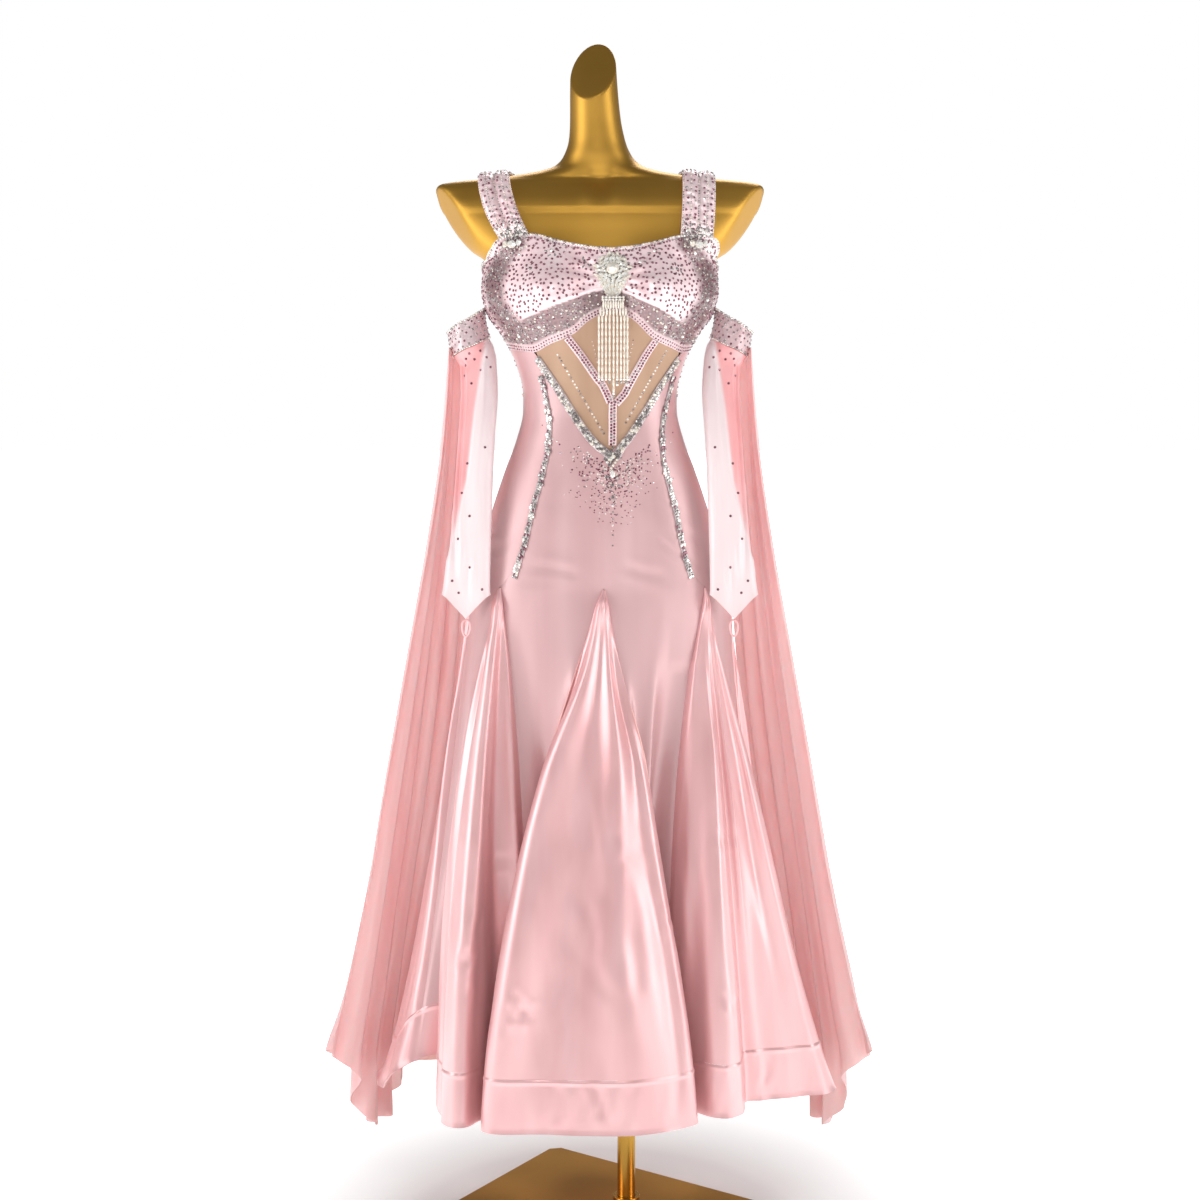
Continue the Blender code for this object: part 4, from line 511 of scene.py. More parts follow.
LOOK = {
    "satin": cloth_look("pink_satin", (0.785, 0.432, 0.439), (0.83, 0.478, 0.485), (0.865, 0.528, 0.534),
                        0.345, 0.42, 0.08, bump=0.03, specular=0.7, gloss=0.10),
    # painted shade: the same pink satin as the godets with a darker, greyer base, for the fitted panels and
    # the legs between the godets
    "panel": cloth_look("shaded_panel_satin", (0.595, 0.358, 0.365), (0.63, 0.390, 0.397), (0.665, 0.428, 0.435),
                        0.38, 0.26, 0.10, bump=0.03, specular=0.6, gloss=0.06),
    # painted shade: the gauntlet satin's coral second colour darkens the outer side of each gauntlet
    "pale": zoned(cloth_look("gauntlet_satin", (0.80, 0.64, 0.65), (0.85, 0.71, 0.72), (0.89, 0.77, 0.78),
                             0.40, 0.05, 0.12, specular=0.5, gloss=0.1),
                  ((0.2, (0.82, 0.33, 0.335)), (0.8, (0.90, 0.43, 0.435))), (40.0, 40.0, 6.0)),
    "lining": cloth_look("satin_back", (0.90, 0.50, 0.46), (0.93, 0.56, 0.52), (0.95, 0.62, 0.58),
                         0.72, 0.0, 0.2, specular=0.3),
    "bust": zoned(cloth_look("bodice_satin", (0.90, 0.62, 0.645), (0.94, 0.71, 0.735), (0.97, 0.80, 0.82),
                             0.34, 0.16, 0.1, bump=0.12, specular=0.8, gloss=0.35),
                  ((0.12, (0.43, 0.35, 0.345)), (0.34, (0.13, 0.074, 0.078)), (0.75, (0.27, 0.15, 0.155))),
                  (190.0, 190.0, 190.0)),
    "mesh": cloth_look("nude_mesh", (0.43, 0.268, 0.18), (0.47, 0.30, 0.205), (0.515, 0.333, 0.23),
                       0.8, 0.0, 0.2, weave=2300.0, specular=0.2),
    "chiffon": cloth_look("coral_chiffon", (0.98, 0.53, 0.53), (0.985, 0.585, 0.585), (0.99, 0.64, 0.635),
                          0.85, 0.0, 0.25, weave=2300.0, alpha=0.76, streak=(34.0, 34.0, 1.4),
                          specular=0.2, tint=(1.0, 0.85, 0.85), through_light=0.7),
    "lace": cloth_look("silver_lace", (0.36, 0.29, 0.29), (0.50, 0.42, 0.42), (0.66, 0.58, 0.58),
                       0.38, 0.35, 0.1, bump=0.3, streak=(90.0, 90.0, 90.0)),
    "gold": metal_look("gold_form", (0.46, 0.250, 0.044), (0.53, 0.298, 0.056), 0.44),
    "pole": metal_look("gold_pole", (0.60, 0.34, 0.06), (0.70, 0.42, 0.09), 0.20),
    "plate": metal_look("brown_gold_plate", (0.56, 0.265, 0.050), (0.62, 0.300, 0.060), 0.36),
}
GEM = {
    "rose": gem_look("rose_stone", ((0.10, 0.020, 0.040), (0.19, 0.055, 0.085), (0.34, 0.14, 0.18)),
                     0.18, 0.35),
    "silver": gem_look("silver_stone", ((0.17, 0.155, 0.155), (0.34, 0.315, 0.31), (0.72, 0.69, 0.66)),
                       0.18, 0.6),
    "crystal": gem_look("aurora_stone", ((0.90, 0.84, 0.72), (0.93, 0.90, 0.86), (0.80, 0.82, 0.80),
                                         (0.97, 0.88, 0.68)), 0.08, 0.30),
    "pearl": gem_look("pearl_bead", ((0.64, 0.57, 0.48), (0.74, 0.68, 0.59), (0.84, 0.79, 0.71)), 0.24, 0.05),
}
KINDS = list(GEM)
ROSE_AND_SILVER = ("rose", "rose", "silver")     # drawn from, so that two in three are rose


def finish_piece(made, nodes):
    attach(made, "root")
    for node in nodes:
        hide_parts(node)
    return made


def linked(name, mesh):
    """A new object of this mesh in the scene."""
    made = bpy.data.objects.new(name, mesh)
    bpy.context.scene.collection.objects.link(made)
    return made


def mesh_of(name, verts, faces):
    mesh = bpy.data.meshes.new(name)
    mesh.from_pydata(verts, [], faces)
    return mesh


def sharpen_edges(mesh):
    """The cut edges stay crisp, so that no shade runs in from a seam."""
    uses = np.zeros(len(mesh.edges), int)
    loops = np.empty(len(mesh.loops), np.int32)
    mesh.loops.foreach_get("edge_index", loops)
    np.add.at(uses, loops, 1)
    mesh.attributes.new("sharp_edge", "BOOLEAN", "EDGE").data.foreach_set("value", uses == 1)


def shell(name, grids, looks, wrap=False, middle=(0.0, 0.0), thick=SHEET, zone=None):
    """Thin wall behind one or more grids of points (rows, columns, xyz), welded where they
    meet.  middle is a point or line inside the piece, which tells its outer side; zone is a
    grid of numbers that the material may read."""
    grids = [grids] if isinstance(grids, np.ndarray) else grids
    verts, faces, total = [], [], 0
    for grid in grids:
        rows, columns = grid.shape[:2]
        index = total + np.arange(rows * columns).reshape(rows, columns)
        if wrap:
            index = np.concatenate([index, index[:, :1]], 1)
        faces.append(np.stack([index[:-1, :-1], index[1:, :-1], index[1:, 1:], index[:-1, 1:]],
                              -1).reshape(-1, 4))
        verts.append(grid.reshape(-1, 3))
        total += rows * columns
    verts, faces = np.concatenate(verts), np.concatenate(faces)
    corner = verts[faces]
    normal = np.cross(corner[:, 1] - corner[:, 0], corner[:, 3] - corner[:, 0])
    out = corner.mean(1) - np.array([*middle, 0.0][:3])
    out[:, 2] *= len(middle) == 3
    if (normal * out).sum() < 0:
        faces = faces[:, ::-1]
    mesh = mesh_of(name, verts.tolist(), faces.tolist())
    if zone is not None:
        layer = mesh.attributes.new("zone", "FLOAT", "POINT")
        layer.data.foreach_set("value", np.ravel(zone).astype(np.float32))
    if len(grids) > 1:
        bm = bmesh.new()
        bm.from_mesh(mesh)
        bmesh.ops.remove_doubles(bm, verts=bm.verts, dist=2e-5)
        bm.to_mesh(mesh)
        bm.free()
    mesh.shade_smooth()
    sharpen_edges(mesh)
    made = linked(name, mesh)
    for look in looks:
        mesh.materials.append(LOOK[look])
    wall = made.modifiers.new("wall", "SOLIDIFY")
    wall.thickness, wall.offset, wall.use_rim = thick, -1.0, True
    wall.material_offset, wall.material_offset_rim = 1, 0
    return finish_piece(made, [name])


def drawn(value):
    """The value itself, or one drawn from a (low, high) range or from a tuple of names."""
    if not isinstance(value, tuple):
        return value
    return rng.choice(value) if isinstance(value[0], str) else rng.uniform(*value)


def jitter(count, reach):
    return np.array([rng.uniform(-reach, reach) for _ in range(count)])


class Gems:
    """Collects small cut stones and round beads, and builds them as one mesh.  A radius, kind,
    turn or stretch may be a tuple that the value is drawn from."""

    def __init__(self):
        self.verts, self.faces, self.kinds, self.smooth = [], [], [], []

    def _frame(self, normal, turn):
        n = Vector(normal).normalized()
        side = n.cross(Vector((0.0, 0.0, 1.0)))
        if side.length < 0.05:
            side = n.cross(Vector((0.0, 1.0, 0.0)))
        side.normalize()
        up = side.cross(n)
        c, s = math.cos(turn), math.sin(turn)
        return side * c + up * s, up * c - side * s, n

    def _add(self, faces, kind, smooth):
        self.faces += faces
        self.kinds += [KINDS.index(kind)] * len(faces)
        self.smooth += [smooth] * len(faces)

    def stone(self, at, normal, radius, kind, tall=0.55, turn=0.0, stretch=1.0, sides=6):
        radius, kind, turn, stretch = (drawn(v) for v in (radius, kind, turn, stretch))
        u, v, n = self._frame(normal, turn)
        at = Vector(at)
        first = len(self.verts)
        for reach, height in ((1.0, -0.25), (0.98, 0.10), (0.55, tall)):
            for k in range(sides):
                a = 2 * math.pi * (k + 0.5) / sides
                self.verts.append(at + u * (math.cos(a) * radius * reach)
                                  + v * (math.sin(a) * radius * reach * stretch)
                                  + n * (radius * height))
        faces = []
        for low in (first, first + sides):
            for k in range(sides):
                a, b = low + k, low + (k + 1) % sides
                faces.append((a, b, b + sides, a + sides))
        faces.append(tuple(first + k for k in reversed(range(sides))))
        faces.append(tuple(first + 2 * sides + k for k in range(sides)))
        self._add(faces, kind, False)

    def bead(self, at, radius, kind, sides=6, rings=4, tall=1.0, axis=(0.0, 0.0, 1.0)):
        radius, kind = drawn(radius), drawn(kind)
        u, v, n = self._frame(axis, 0.0)
        at = Vector(at)
        first = len(self.verts)
        self.verts.append(at + n * (radius * tall))
        for r in range(1, rings):
            p = math.pi * r / rings
            for k in range(sides):
                a = 2 * math.pi * k / sides
                self.verts.append(at + (u * math.cos(a) + v * math.sin(a)) * (radius * math.sin(p))
                                  + n * (radius * tall * math.cos(p)))
        self.verts.append(at - n * (radius * tall))
        last = len(self.verts) - 1
        faces = []
        for k in range(sides):
            m = (k + 1) % sides
            faces += [(first, first + 1 + k, first + 1 + m), (last, last - sides + m, last - sides + k)]
            for r in range(rings - 2):
                a, b = first + 1 + r * sides + k, first + 1 + r * sides + m
                faces.append((a, a + sides, b + sides, b))
        self._add(faces, kind, True)

    def stones(self, spots, lift, *look):
        """A stone on each of the (points, normals), lifted along its normal."""
        for p, n, up in zip(*spots, lift + np.zeros(len(spots[0]))):
            self.stone(p + n * up, n, *look)

    def beads(self, spots, lift, *look):
        for p, n, up in zip(*spots, lift + np.zeros(len(spots[0]))):
            self.bead(p + n * up, *look)

    def build(self, name, nodes=(), slot="stones"):
        mesh = mesh_of(name, [tuple(v) for v in self.verts], self.faces)
        for kind in KINDS:
            mesh.materials.append(GEM[kind])
        mesh.polygons.foreach_set("material_index", self.kinds)
        mesh.polygons.foreach_set("use_smooth", self.smooth)
        mesh.update()
        return finish_piece(linked(name, mesh), nodes)


def run_of(path):
    """Distance along the torso at each row of a path of (angle, z)."""
    spots = torso(path[:, 0], path[:, 1])
    return np.concatenate([[0.0], np.cumsum(np.linalg.norm(np.diff(spots, axis=0), axis=1))])


def along(path, step, start=0.0):
    """Evenly spaced places on a path of (angle, z) points of the torso."""
    path = np.asarray(path, float)
    total = run_of(path)
    want = np.arange(start, total[-1], step)
    return np.stack([np.interp(want, total, path[:, 0]), np.interp(want, total, path[:, 1])], -1)


# ---- creases, listed one by one ----------------------------------------------------------
CREASES = (
    # face (-1 front, 1 back), x z of one end, x z of the other, bow, width, depth
    # hips
    (-1, -0.172, 0.962, -0.131, 0.984, 0.004, 0.0035, 0.0012),
    (-1, -0.158, 0.948, -0.118, 0.962, 0.003, 0.0045, 0.0008),
    (-1, 0.079, 0.972, 0.132, 0.939, -0.004, 0.0035, 0.0012),
    (-1, 0.096, 0.99, 0.142, 0.968, -0.003, 0.0045, 0.0008),
    (-1, -0.1, 0.938, -0.03, 0.929, 0.003, 0.006, 0.0006),
    (-1, 0.03, 0.941, 0.086, 0.926, -0.003, 0.006, 0.0006),
    # waist
    (-1, -0.15, 1.1, -0.09, 1.118, 0.003, 0.005, 0.0006),
    (-1, 0.085, 1.118, 0.14, 1.102, -0.003, 0.005, 0.0006),
    # star crease, front fold
    (-1, -0.112, 0.404, -0.088, 0.364, 0.004, 0.0036, 0.0014),
    (-1, -0.122, 0.383, -0.08, 0.38, -0.004, 0.0036, 0.0012),
    (-1, -0.106, 0.362, -0.09, 0.394, 0.003, 0.0035, 0.0011),
    (-1, -0.128, 0.36, -0.108, 0.352, 0.002, 0.0035, 0.0009),
    # left fold's diagonals
    (-1, -0.184, 0.425, -0.14, 0.47, 0.004, 0.004, 0.0016),
    (-1, -0.176, 0.395, -0.15, 0.408, 0.002, 0.0035, 0.0012),
    (-1, -0.16, 0.548, -0.118, 0.556, 0.003, 0.005, 0.001),
    (-1, -0.165, 0.455, -0.15, 0.5, 0.004, 0.005, 0.0012),
    # centre fold
    (-1, 0.02, 0.56, 0.062, 0.584, 0.003, 0.004, 0.0014),
    (-1, 0.006, 0.592, 0.04, 0.6, 0.002, 0.005, 0.001),
    (-1, -0.02, 0.52, -0.01, 0.455, 0.004, 0.0085, 0.0008),
    (-1, -0.012, 0.455, 0.01, 0.4, -0.003, 0.0085, 0.0007),
    (-1, 0.034, 0.48, 0.046, 0.4, 0.004, 0.0085, 0.0008),
    # right fold
    (-1, 0.15, 0.59, 0.186, 0.58, -0.003, 0.005, 0.0011),
    (-1, 0.085, 0.486, 0.108, 0.47, 0.002, 0.004, 0.001),
    (-1, 0.16, 0.38, 0.184, 0.366, 0.002, 0.0045, 0.0012),
    # hem band puckers
    (-1, -0.01, 0.296, 0.006, 0.246, 0.003, 0.0045, 0.0016),
    (-1, 0.01, 0.294, -0.002, 0.252, 0.002, 0.004, 0.0014),
    (-1, 0.034, 0.29, 0.028, 0.24, 0.002, 0.006, 0.001),
    (-1, -0.052, 0.292, -0.058, 0.244, 0.003, 0.006, 0.001),
    (-1, 0.17, 0.296, 0.176, 0.254, 0.003, 0.0055, 0.001),
    (-1, 0.222, 0.286, 0.216, 0.248, 0.003, 0.0055, 0.0012),
    # the same kind behind
    (1, -0.15, 0.96, -0.096, 0.984, 0.004, 0.004, 0.0011),
    (1, 0.092, 0.976, 0.148, 0.95, -0.004, 0.004, 0.0011),
    (1, -0.07, 0.93, 0.01, 0.922, 0.004, 0.006, 0.0007),
    (1, -0.11, 1.06, -0.05, 1.08, 0.003, 0.005, 0.0007),
    (1, 0.05, 1.082, 0.108, 1.062, -0.003, 0.005, 0.0007),
    (1, -0.19, 0.47, -0.15, 0.52, 0.004, 0.0045, 0.0015),
    (1, 0.14, 0.43, 0.196, 0.456, -0.004, 0.0045, 0.0014),
    (1, -0.04, 0.4, 0.03, 0.43, 0.005, 0.0045, 0.0016), (1, 0.0, 0.56, 0.04, 0.6, 0.004, 0.005, 0.0012),
    (1, -0.22, 0.33, -0.17, 0.35, 0.003, 0.0045, 0.0014),
    (1, 0.02, 0.262, 0.026, 0.214, 0.003, 0.0055, 0.0012),
    (1, -0.12, 0.26, -0.128, 0.214, 0.003, 0.0055, 0.0012),
)


def creases(points, table=CREASES):
    """Soft troughs with a raised shoulder either side, from the table."""
    x, y, z = points[..., 0], points[..., 1], points[..., 2]
    total = np.zeros(x.shape)
    for face, x0, z0, x1, z1, bow, width, depth in table:
        run = np.array([x1 - x0, z1 - z0])
        length = np.linalg.norm(run)
        run = run / length
        t = ((x - x0) * run[0] + (z - z0) * run[1]) / length
        off = (z - z0) * run[0] - (x - x0) * run[1] - bow * 4 * t * (1 - t)
        ends = soft(t, -0.12, 0.22) * (1 - soft(t, 0.78, 1.12))
        side = soft(y * face, 0.0, 0.03)
        trough, shoulder = hump(off, 0.0, width), hump(np.abs(off), 1.9 * width, width)
        total += ends * side * depth * (0.5 * shoulder - trough)
    return total


# ---- the skirt's own relief --------------------------------------------------------------
GATHERS = (
    # godet, folds across its point, height of their ridges, drop where they have died out
    ("godet_front", 6.0, 0.0016, 0.15), ("godet_front_l", 5.0, 0.0016, 0.14),
    ("godet_front_r", 5.0, 0.0013, 0.14), ("godet_side_l", 4.0, 0.0012, 0.15),
    ("godet_side_r", 4.0, 0.0012, 0.15), ("godet_back_l", 5.0, 0.0014, 0.15),
    ("godet_back_r", 5.0, 0.0014, 0.15), ("godet_back", 6.0, 0.0015, 0.15),
)
SEAM_WIDTH, SEAM_DEPTH = 0.0030, 0.0003


def seam_dip(distance, along_seam, seed):
    """Sewn seam: a narrow valley whose edges pucker a little."""
    pucker = 0.00012 * ripple(along_seam * 330.0, seed) * hump(distance, 0.0, 0.010)
    edge = soft(distance, 0.0, 0.002)
    return pucker * edge - SEAM_DEPTH * hump(distance, 0.0, SEAM_WIDTH)


def fold_width(c, drop):
    return np.linalg.norm(skirt(c + 0.05, drop) - skirt(c - 0.05, drop), axis=-1) / 0.1


def seam_gap(c, drop, first, last):
    """Distance across the cloth from a fold position to the nearer seam of its piece."""
    return np.minimum(c - first, last - c) * fold_width(np.clip(c, first + 0.06, last - 0.06), drop)


def leg_relief(points, c, drop, first, last):
    near = seam_gap(c, np.maximum(drop, 0.01), first, last)
    total = seam_dip(near, points[..., 2], first) + creases(points)
    # slow unevenness of hand-hung satin
    slow = ripple(points[..., 2] * 21.0 + c * 0.9, 5) * ripple(c * 2.3 + points[..., 2] * 4.0, 6)
    return total + 0.0006 * slow * soft(near, 0.0, 0.02) * soft(drop, 0.10, 0.45)


def point_gathers(u, drop, folds, high, end, seed):
    """Fine folds that start at a godet's point and fade into its fullness."""
    phase = u * folds + 0.30 * np.sin(2 * math.pi * u * 1.7 + seed) + 0.12 * np.sin(9.0 * u + seed)
    ridge = np.cos(2 * math.pi * phase) * (0.70 + 0.30 * np.sin(5.3 * u + 2.0 * seed))
    reach = end * (0.62 + 0.38 * np.cos(7.1 * u * folds / 7.0 + seed))
    fade = np.exp(-(drop / reach) ** 1.6) * soft(drop, 0.004, 0.035)
    return high * ridge * fade * np.sin(np.pi * np.clip(u, 0, 1)) ** 0.6


FLUTES = (
    # godet or leg of a panel, then its ridges and troughs: share of the width at the point and
    # at the hem, height, half width as a share, drops where it begins and has fully grown
    ("godet_front", (0.05, 0.11, 0.0040, 0.050, 0.00, 0.14), (0.19, 0.22, -0.0050, 0.058, 0.02, 0.20),
     (0.39, 0.33, 0.0072, 0.064, 0.00, 0.12), (0.54, 0.46, -0.0050, 0.060, 0.03, 0.25),
     (0.70, 0.61, 0.0062, 0.052, 0.00, 0.14), (0.84, 0.76, -0.0052, 0.056, 0.03, 0.22),
     (0.95, 0.89, 0.0042, 0.042, 0.02, 0.20)),
    ("godet_front_l", (0.12, 0.12, 0.0048, 0.048, 0.00, 0.14), (0.27, 0.27, -0.0056, 0.052, 0.02, 0.18),
     (0.52, 0.54, 0.0075, 0.105, 0.00, 0.12), (0.78, 0.80, -0.0058, 0.058, 0.02, 0.18),
     (0.93, 0.93, 0.0046, 0.040, 0.00, 0.16)),
    ("godet_front_r", (0.10, 0.08, 0.0044, 0.050, 0.00, 0.14), (0.36, 0.34, -0.0046, 0.090, 0.04, 0.24),
     (0.64, 0.62, 0.0072, 0.060, 0.00, 0.14), (0.80, 0.77, -0.0060, 0.052, 0.02, 0.18),
     (0.93, 0.92, 0.0040, 0.040, 0.02, 0.20)),
    ("godet_side_l", (0.20, 0.20, -0.0040, 0.070, 0.03, 0.25), (0.40, 0.38, 0.0050, 0.070, 0.02, 0.20),
     (0.66, 0.66, -0.0046, 0.070, 0.05, 0.30), (0.88, 0.88, 0.0036, 0.060, 0.05, 0.30)),
    ("godet_side_r", (0.80, 0.80, -0.0040, 0.070, 0.03, 0.25), (0.60, 0.62, 0.0050, 0.070, 0.02, 0.20),
     (0.34, 0.34, -0.0046, 0.070, 0.05, 0.30), (0.12, 0.12, 0.0036, 0.060, 0.05, 0.30)),
    ("godet_back_l", (0.42, 0.40, 0.0064, 0.070, 0.00, 0.16), (0.18, 0.16, -0.0050, 0.070, 0.04, 0.24),
     (0.70, 0.72, -0.0052, 0.070, 0.04, 0.26), (0.90, 0.88, 0.0036, 0.050, 0.02, 0.20)),
    ("godet_back_r", (0.58, 0.60, 0.0064, 0.070, 0.00, 0.16), (0.82, 0.84, -0.0050, 0.070, 0.04, 0.24),
     (0.30, 0.28, -0.0052, 0.070, 0.04, 0.26), (0.10, 0.12, 0.0036, 0.050, 0.02, 0.20)),
    ("godet_back", (0.32, 0.30, 0.0066, 0.060, 0.00, 0.16), (0.48, 0.48, -0.0050, 0.060, 0.04, 0.24),
     (0.67, 0.69, 0.0060, 0.060, 0.02, 0.18), (0.84, 0.86, -0.0044, 0.056, 0.06, 0.28),
     (0.14, 0.14, -0.0040, 0.056, 0.06, 0.28)),
    ("centre_front_a", (0.46, 0.46, -0.0050, 0.17, 0.10, 0.36), (0.80, 0.80, 0.0026, 0.080, 0.12, 0.40)),
    ("centre_front_b", (0.20, 0.18, -0.0048, 0.090, 0.06, 0.30), (0.44, 0.40, 0.0052, 0.080, 0.05, 0.26),
     (0.74, 0.72, -0.0056, 0.130, 0.08, 0.34)),
    ("side_front_l", (0.50, 0.50, -0.0046, 0.150, 0.10, 0.40)),
    ("side_front_r", (0.50, 0.50, -0.0040, 0.150, 0.10, 0.40)),
    ("side_back_l", (0.50, 0.50, -0.0040, 0.150, 0.10, 0.40)),
    ("side_back_r", (0.50, 0.50, -0.0040, 0.150, 0.10, 0.40)),
    ("centre_back_a", (0.45, 0.45, -0.0044, 0.150, 0.10, 0.40)),
    ("centre_back_b", (0.55, 0.55, -0.0044, 0.150, 0.10, 0.40)),
)
RIM_HIGH, RIM_WIDTH = 0.0030, 0.0070


def flutes(name, u, drop, near):
    """Long ridges and troughs that fan out from a godet's point, or hollow a panel's leg."""
    rows = next(row[1:] for row in FLUTES if row[0] == name)
    total = 0.0 * u
    for k, (at_point, at_hem, high, wide, begin, grown) in enumerate(rows):
        middle = mix(at_point, at_hem, np.clip(drop * 2.2, 0, 1))
        share = wide * (1.45 - 0.45 * np.clip(drop * 1.6, 0, 1))
        bend = 0.012 * np.sin(drop * (5.0 + k) + 9.0 * at_hem) * soft(drop, 0.15, 0.5)
        size = 1.25 * high * soft(drop, begin, grown) * (0.26 + 0.74 * soft(drop, 0.0, 0.38))
        size = size * (1.0 + 0.22 * np.sin(drop * 11.0 + 5.0 * k + 8.0 * at_hem))
        total = total + size * hump(u, middle + bend, share)
    return total * soft(near, 0.0, 0.010)


def rims(near, drop):
    """Rounded rims where a godet stands out from its seams."""
    rise = 1.0 - hump(near, 0.0, 0.45 * RIM_WIDTH)
    fade = hump(np.maximum(near - RIM_WIDTH, 0.0), 0.0, 1.6 * RIM_WIDTH)
    return RIM_HIGH * rise * fade * soft(drop, 0.0, 0.03) * (1.0 - 0.45 * drop)


# ---- panels, godets and hem --------------------------------------------------------------
COLUMNS, UPPER_ROWS, LOWER_ROWS, BAND_ROWS = 9, 44, 78, 24    # columns are counted a fold
MEET = 0.00006                           # half of the gap that parts two pieces at a seam


def columns_of(first, last, each):
    return np.linspace(first, last, int((last - first) * each) + 1)


def tuck(c, drop, first, last):
    """Draws the outermost columns back from the seam by half its gap."""
    width = fold_width(np.clip(c, first + 0.06, last - 0.06), np.maximum(drop, 0.02))
    inset = np.minimum(0.2, MEET / np.maximum(width, 1e-4))
    return np.clip(c, first + inset, last - inset)


def leg_grid(first, last, each, rows, top=0.0):
    c = columns_of(first, last, each)[None, :]
    low = band_drop(c, BAND + MEET)
    drop = top + (low - top) * rows[:, None] ** 1.15
    c = c + 0 * drop
    return skirt(tuck(c, drop, first, last), drop), skirt_normal(c, drop), c, drop


def godets():
    rows = np.linspace(0.0, 1.0, LOWER_ROWS)
    for seed, (name, folds, high, end) in enumerate(GATHERS):
        first, last = seam_index(name)
        each = COLUMNS + 2 if "front" in name else COLUMNS - 1
        points, normal, c, drop = leg_grid(first, last, each, rows, 0.0035)
        u = (c - first) / (last - first)
        near = seam_gap(c, np.maximum(drop, 0.01), first, last)
        relief = leg_relief(points, c, drop, first, last) + point_gathers(u, drop, folds, high, end, seed)
        relief = relief + flutes(name, u, drop, near) + rims(near, drop)
        mound = 0.0062 * hump(drop, 0.034, 0.030) * np.sin(np.pi * u) ** 0.7
        shell(name, points + normal * (CLOTH + relief + mound)[..., None], ("satin", "lining"))


PANELS = (
    # node, its runs of folds
    ("centre_front", ("centre_front_a", "centre_front_b")),
    ("side_front_l", ("side_front_l",)), ("side_front_r", ("side_front_r",)),
    ("side_back_l", ("side_back_l",)), ("side_back_r", ("side_back_r",)),
    ("centre_back", ("centre_back_b", "centre_back_a")),
)


def panel_sides(name, z, share, half):
    """Angle at height z and share of the panel's width."""
    if name == "centre_front":
        left, middle, right = seam_angle(z, -1), curve(CENTRE, z), seam_angle(z, 1)
        return np.where(share <= half, mix(left, middle, share / half),
                        mix(middle, right, (share - half) / (1.0 - half)))
    ends = {"side_front_l": (-SIDE_SEAM, seam_angle(z, -1)), "side_front_r": (seam_angle(z, 1), SIDE_SEAM),
            "side_back_l": (-BACK_SEAM, -SIDE_SEAM), "side_back_r": (SIDE_SEAM, BACK_SEAM),
            "centre_back": (BACK_SEAM, 360.0 - BACK_SEAM)}[name]
    return mix(ends[0], ends[1], share)


def panel_top(name, angle):
    if name == "centre_front":
        return insert_edge(angle)
    if "front" in name:
        return underbust(angle)
    return back_line(BACK_WAIST, np.where(angle > 180.0, angle - 360.0, angle))


def panel_shares(runs, each):
    """Shares of the panel's width at each leg's columns, the panel's first angle and its span."""
    angles = []
    for first, last in runs:
        angle = fold(np.minimum(columns_of(first, last, each), last - 1e-9), 0)
        angle[-1] = FOLDS[last % COUNT][0]
        if angle[-1] < angle[0] - 90:
            angle[-1] += 360.0
        angles.append(angle)
    a0 = angles[0][0]
    angles = [np.where(a < a0 - 1e-6, a + 360.0, a) for a in angles]
    span = angles[-1][-1] - a0
    return [(a - a0) / span for a in angles], a0, span


def panel_upper(name, share, half):
    """The fitted part of a panel, from its top edge down to the godets' points."""
    high = panel_top(name, panel_sides(name, 1.217 + 0 * share, share, half))
    for _ in range(20):
        high = 0.5 * (high + panel_top(name, panel_sides(name, high, share, half)))
    z = mix(FLARE_TOP, high[None, :] - MEET, np.linspace(1.0, 0.0, UPPER_ROWS)[:-1, None])
    part = share[None, :] + 0 * z
    angle = panel_sides(name, z, part, half)
    reach = np.linalg.norm(torso(angle + 0.5, z) - torso(angle - 0.5, z), axis=-1)
    angle = angle + np.where(part < 1e-6, MEET / reach, 0.0) - np.where(part > 1 - 1e-6, MEET / reach, 0.0)
    points = torso(angle, z)
    left, right = panel_sides(name, z, 0.0, half), panel_sides(name, z, 1.0, half)
    near = np.minimum(angle - left, right - angle) * reach
    relief = seam_dip(near, z, 3) + creases(points) + panel_wrinkles(points)
    return points + torso_normal(angle, z) * (CLOTH + relief)[..., None]


def panels():
    rows = np.linspace(0.0, 1.0, LOWER_ROWS)
    for name, legs in PANELS:
        each = COLUMNS if "front" in name else COLUMNS - 2
        runs = [seam_index(leg) for leg in legs]
        shares, a0, span = panel_shares(runs, each)
        grids = []
        for leg, (first, last), share in zip(legs, runs, shares):
            upper = panel_upper(name, share, shares[0][-1])
            points, normal, c, drop = leg_grid(first, last, each, rows)
            relief = leg_relief(points, c, drop, first, last) + panel_wrinkles(points)
            relief = relief + flutes(leg, (c - first) / (last - first), drop, seam_gap(c, drop, first, last))
            # the skirt's normals take over from the torso's below the godets' points
            first_normal = torso_normal(share * span + a0, FLARE_TOP)[None]
            rise = (CLOTH + relief)[..., None]
            blend = soft(drop, 0.0, 0.03)[..., None]
            lower = mix(points + first_normal * rise, points + normal * rise, blend)
            grids.append(np.concatenate([upper, lower]))
        shell(name, grids, ("panel", "lining"))


def panel_wrinkles(points):
    """Very low slack in the fitted part of the dress, more at waist and hip."""
    x, z = points[..., 0], points[..., 2]
    slack = ripple(z * 46.0 + x * 9.0, 21) * ripple(x * 17.0 + z * 6.0, 22)
    return 0.0004 * slack * soft(z, 0.86, 0.96) * (1 - soft(z, 1.15, 1.20))


def hem_waves(c, drop):
    """What the godets and legs above do at the hem, carried into the band."""
    total = 0.0 * c
    for name, *_ in FLUTES:
        first, last = seam_index(name)
        for turn in (0, COUNT):
            inside = (c >= first + turn) & (c <= last + turn)
            u = np.clip((c - first - turn) / (last - first), 0, 1)
            near = np.minimum(u, 1 - u) * (last - first) * fold_width(c, 0.95)
            here = flutes(name, u, drop, near)
            if "godet" in name:
                here = here + rims(near, drop)
            total = np.where(inside, here, total)
    return total


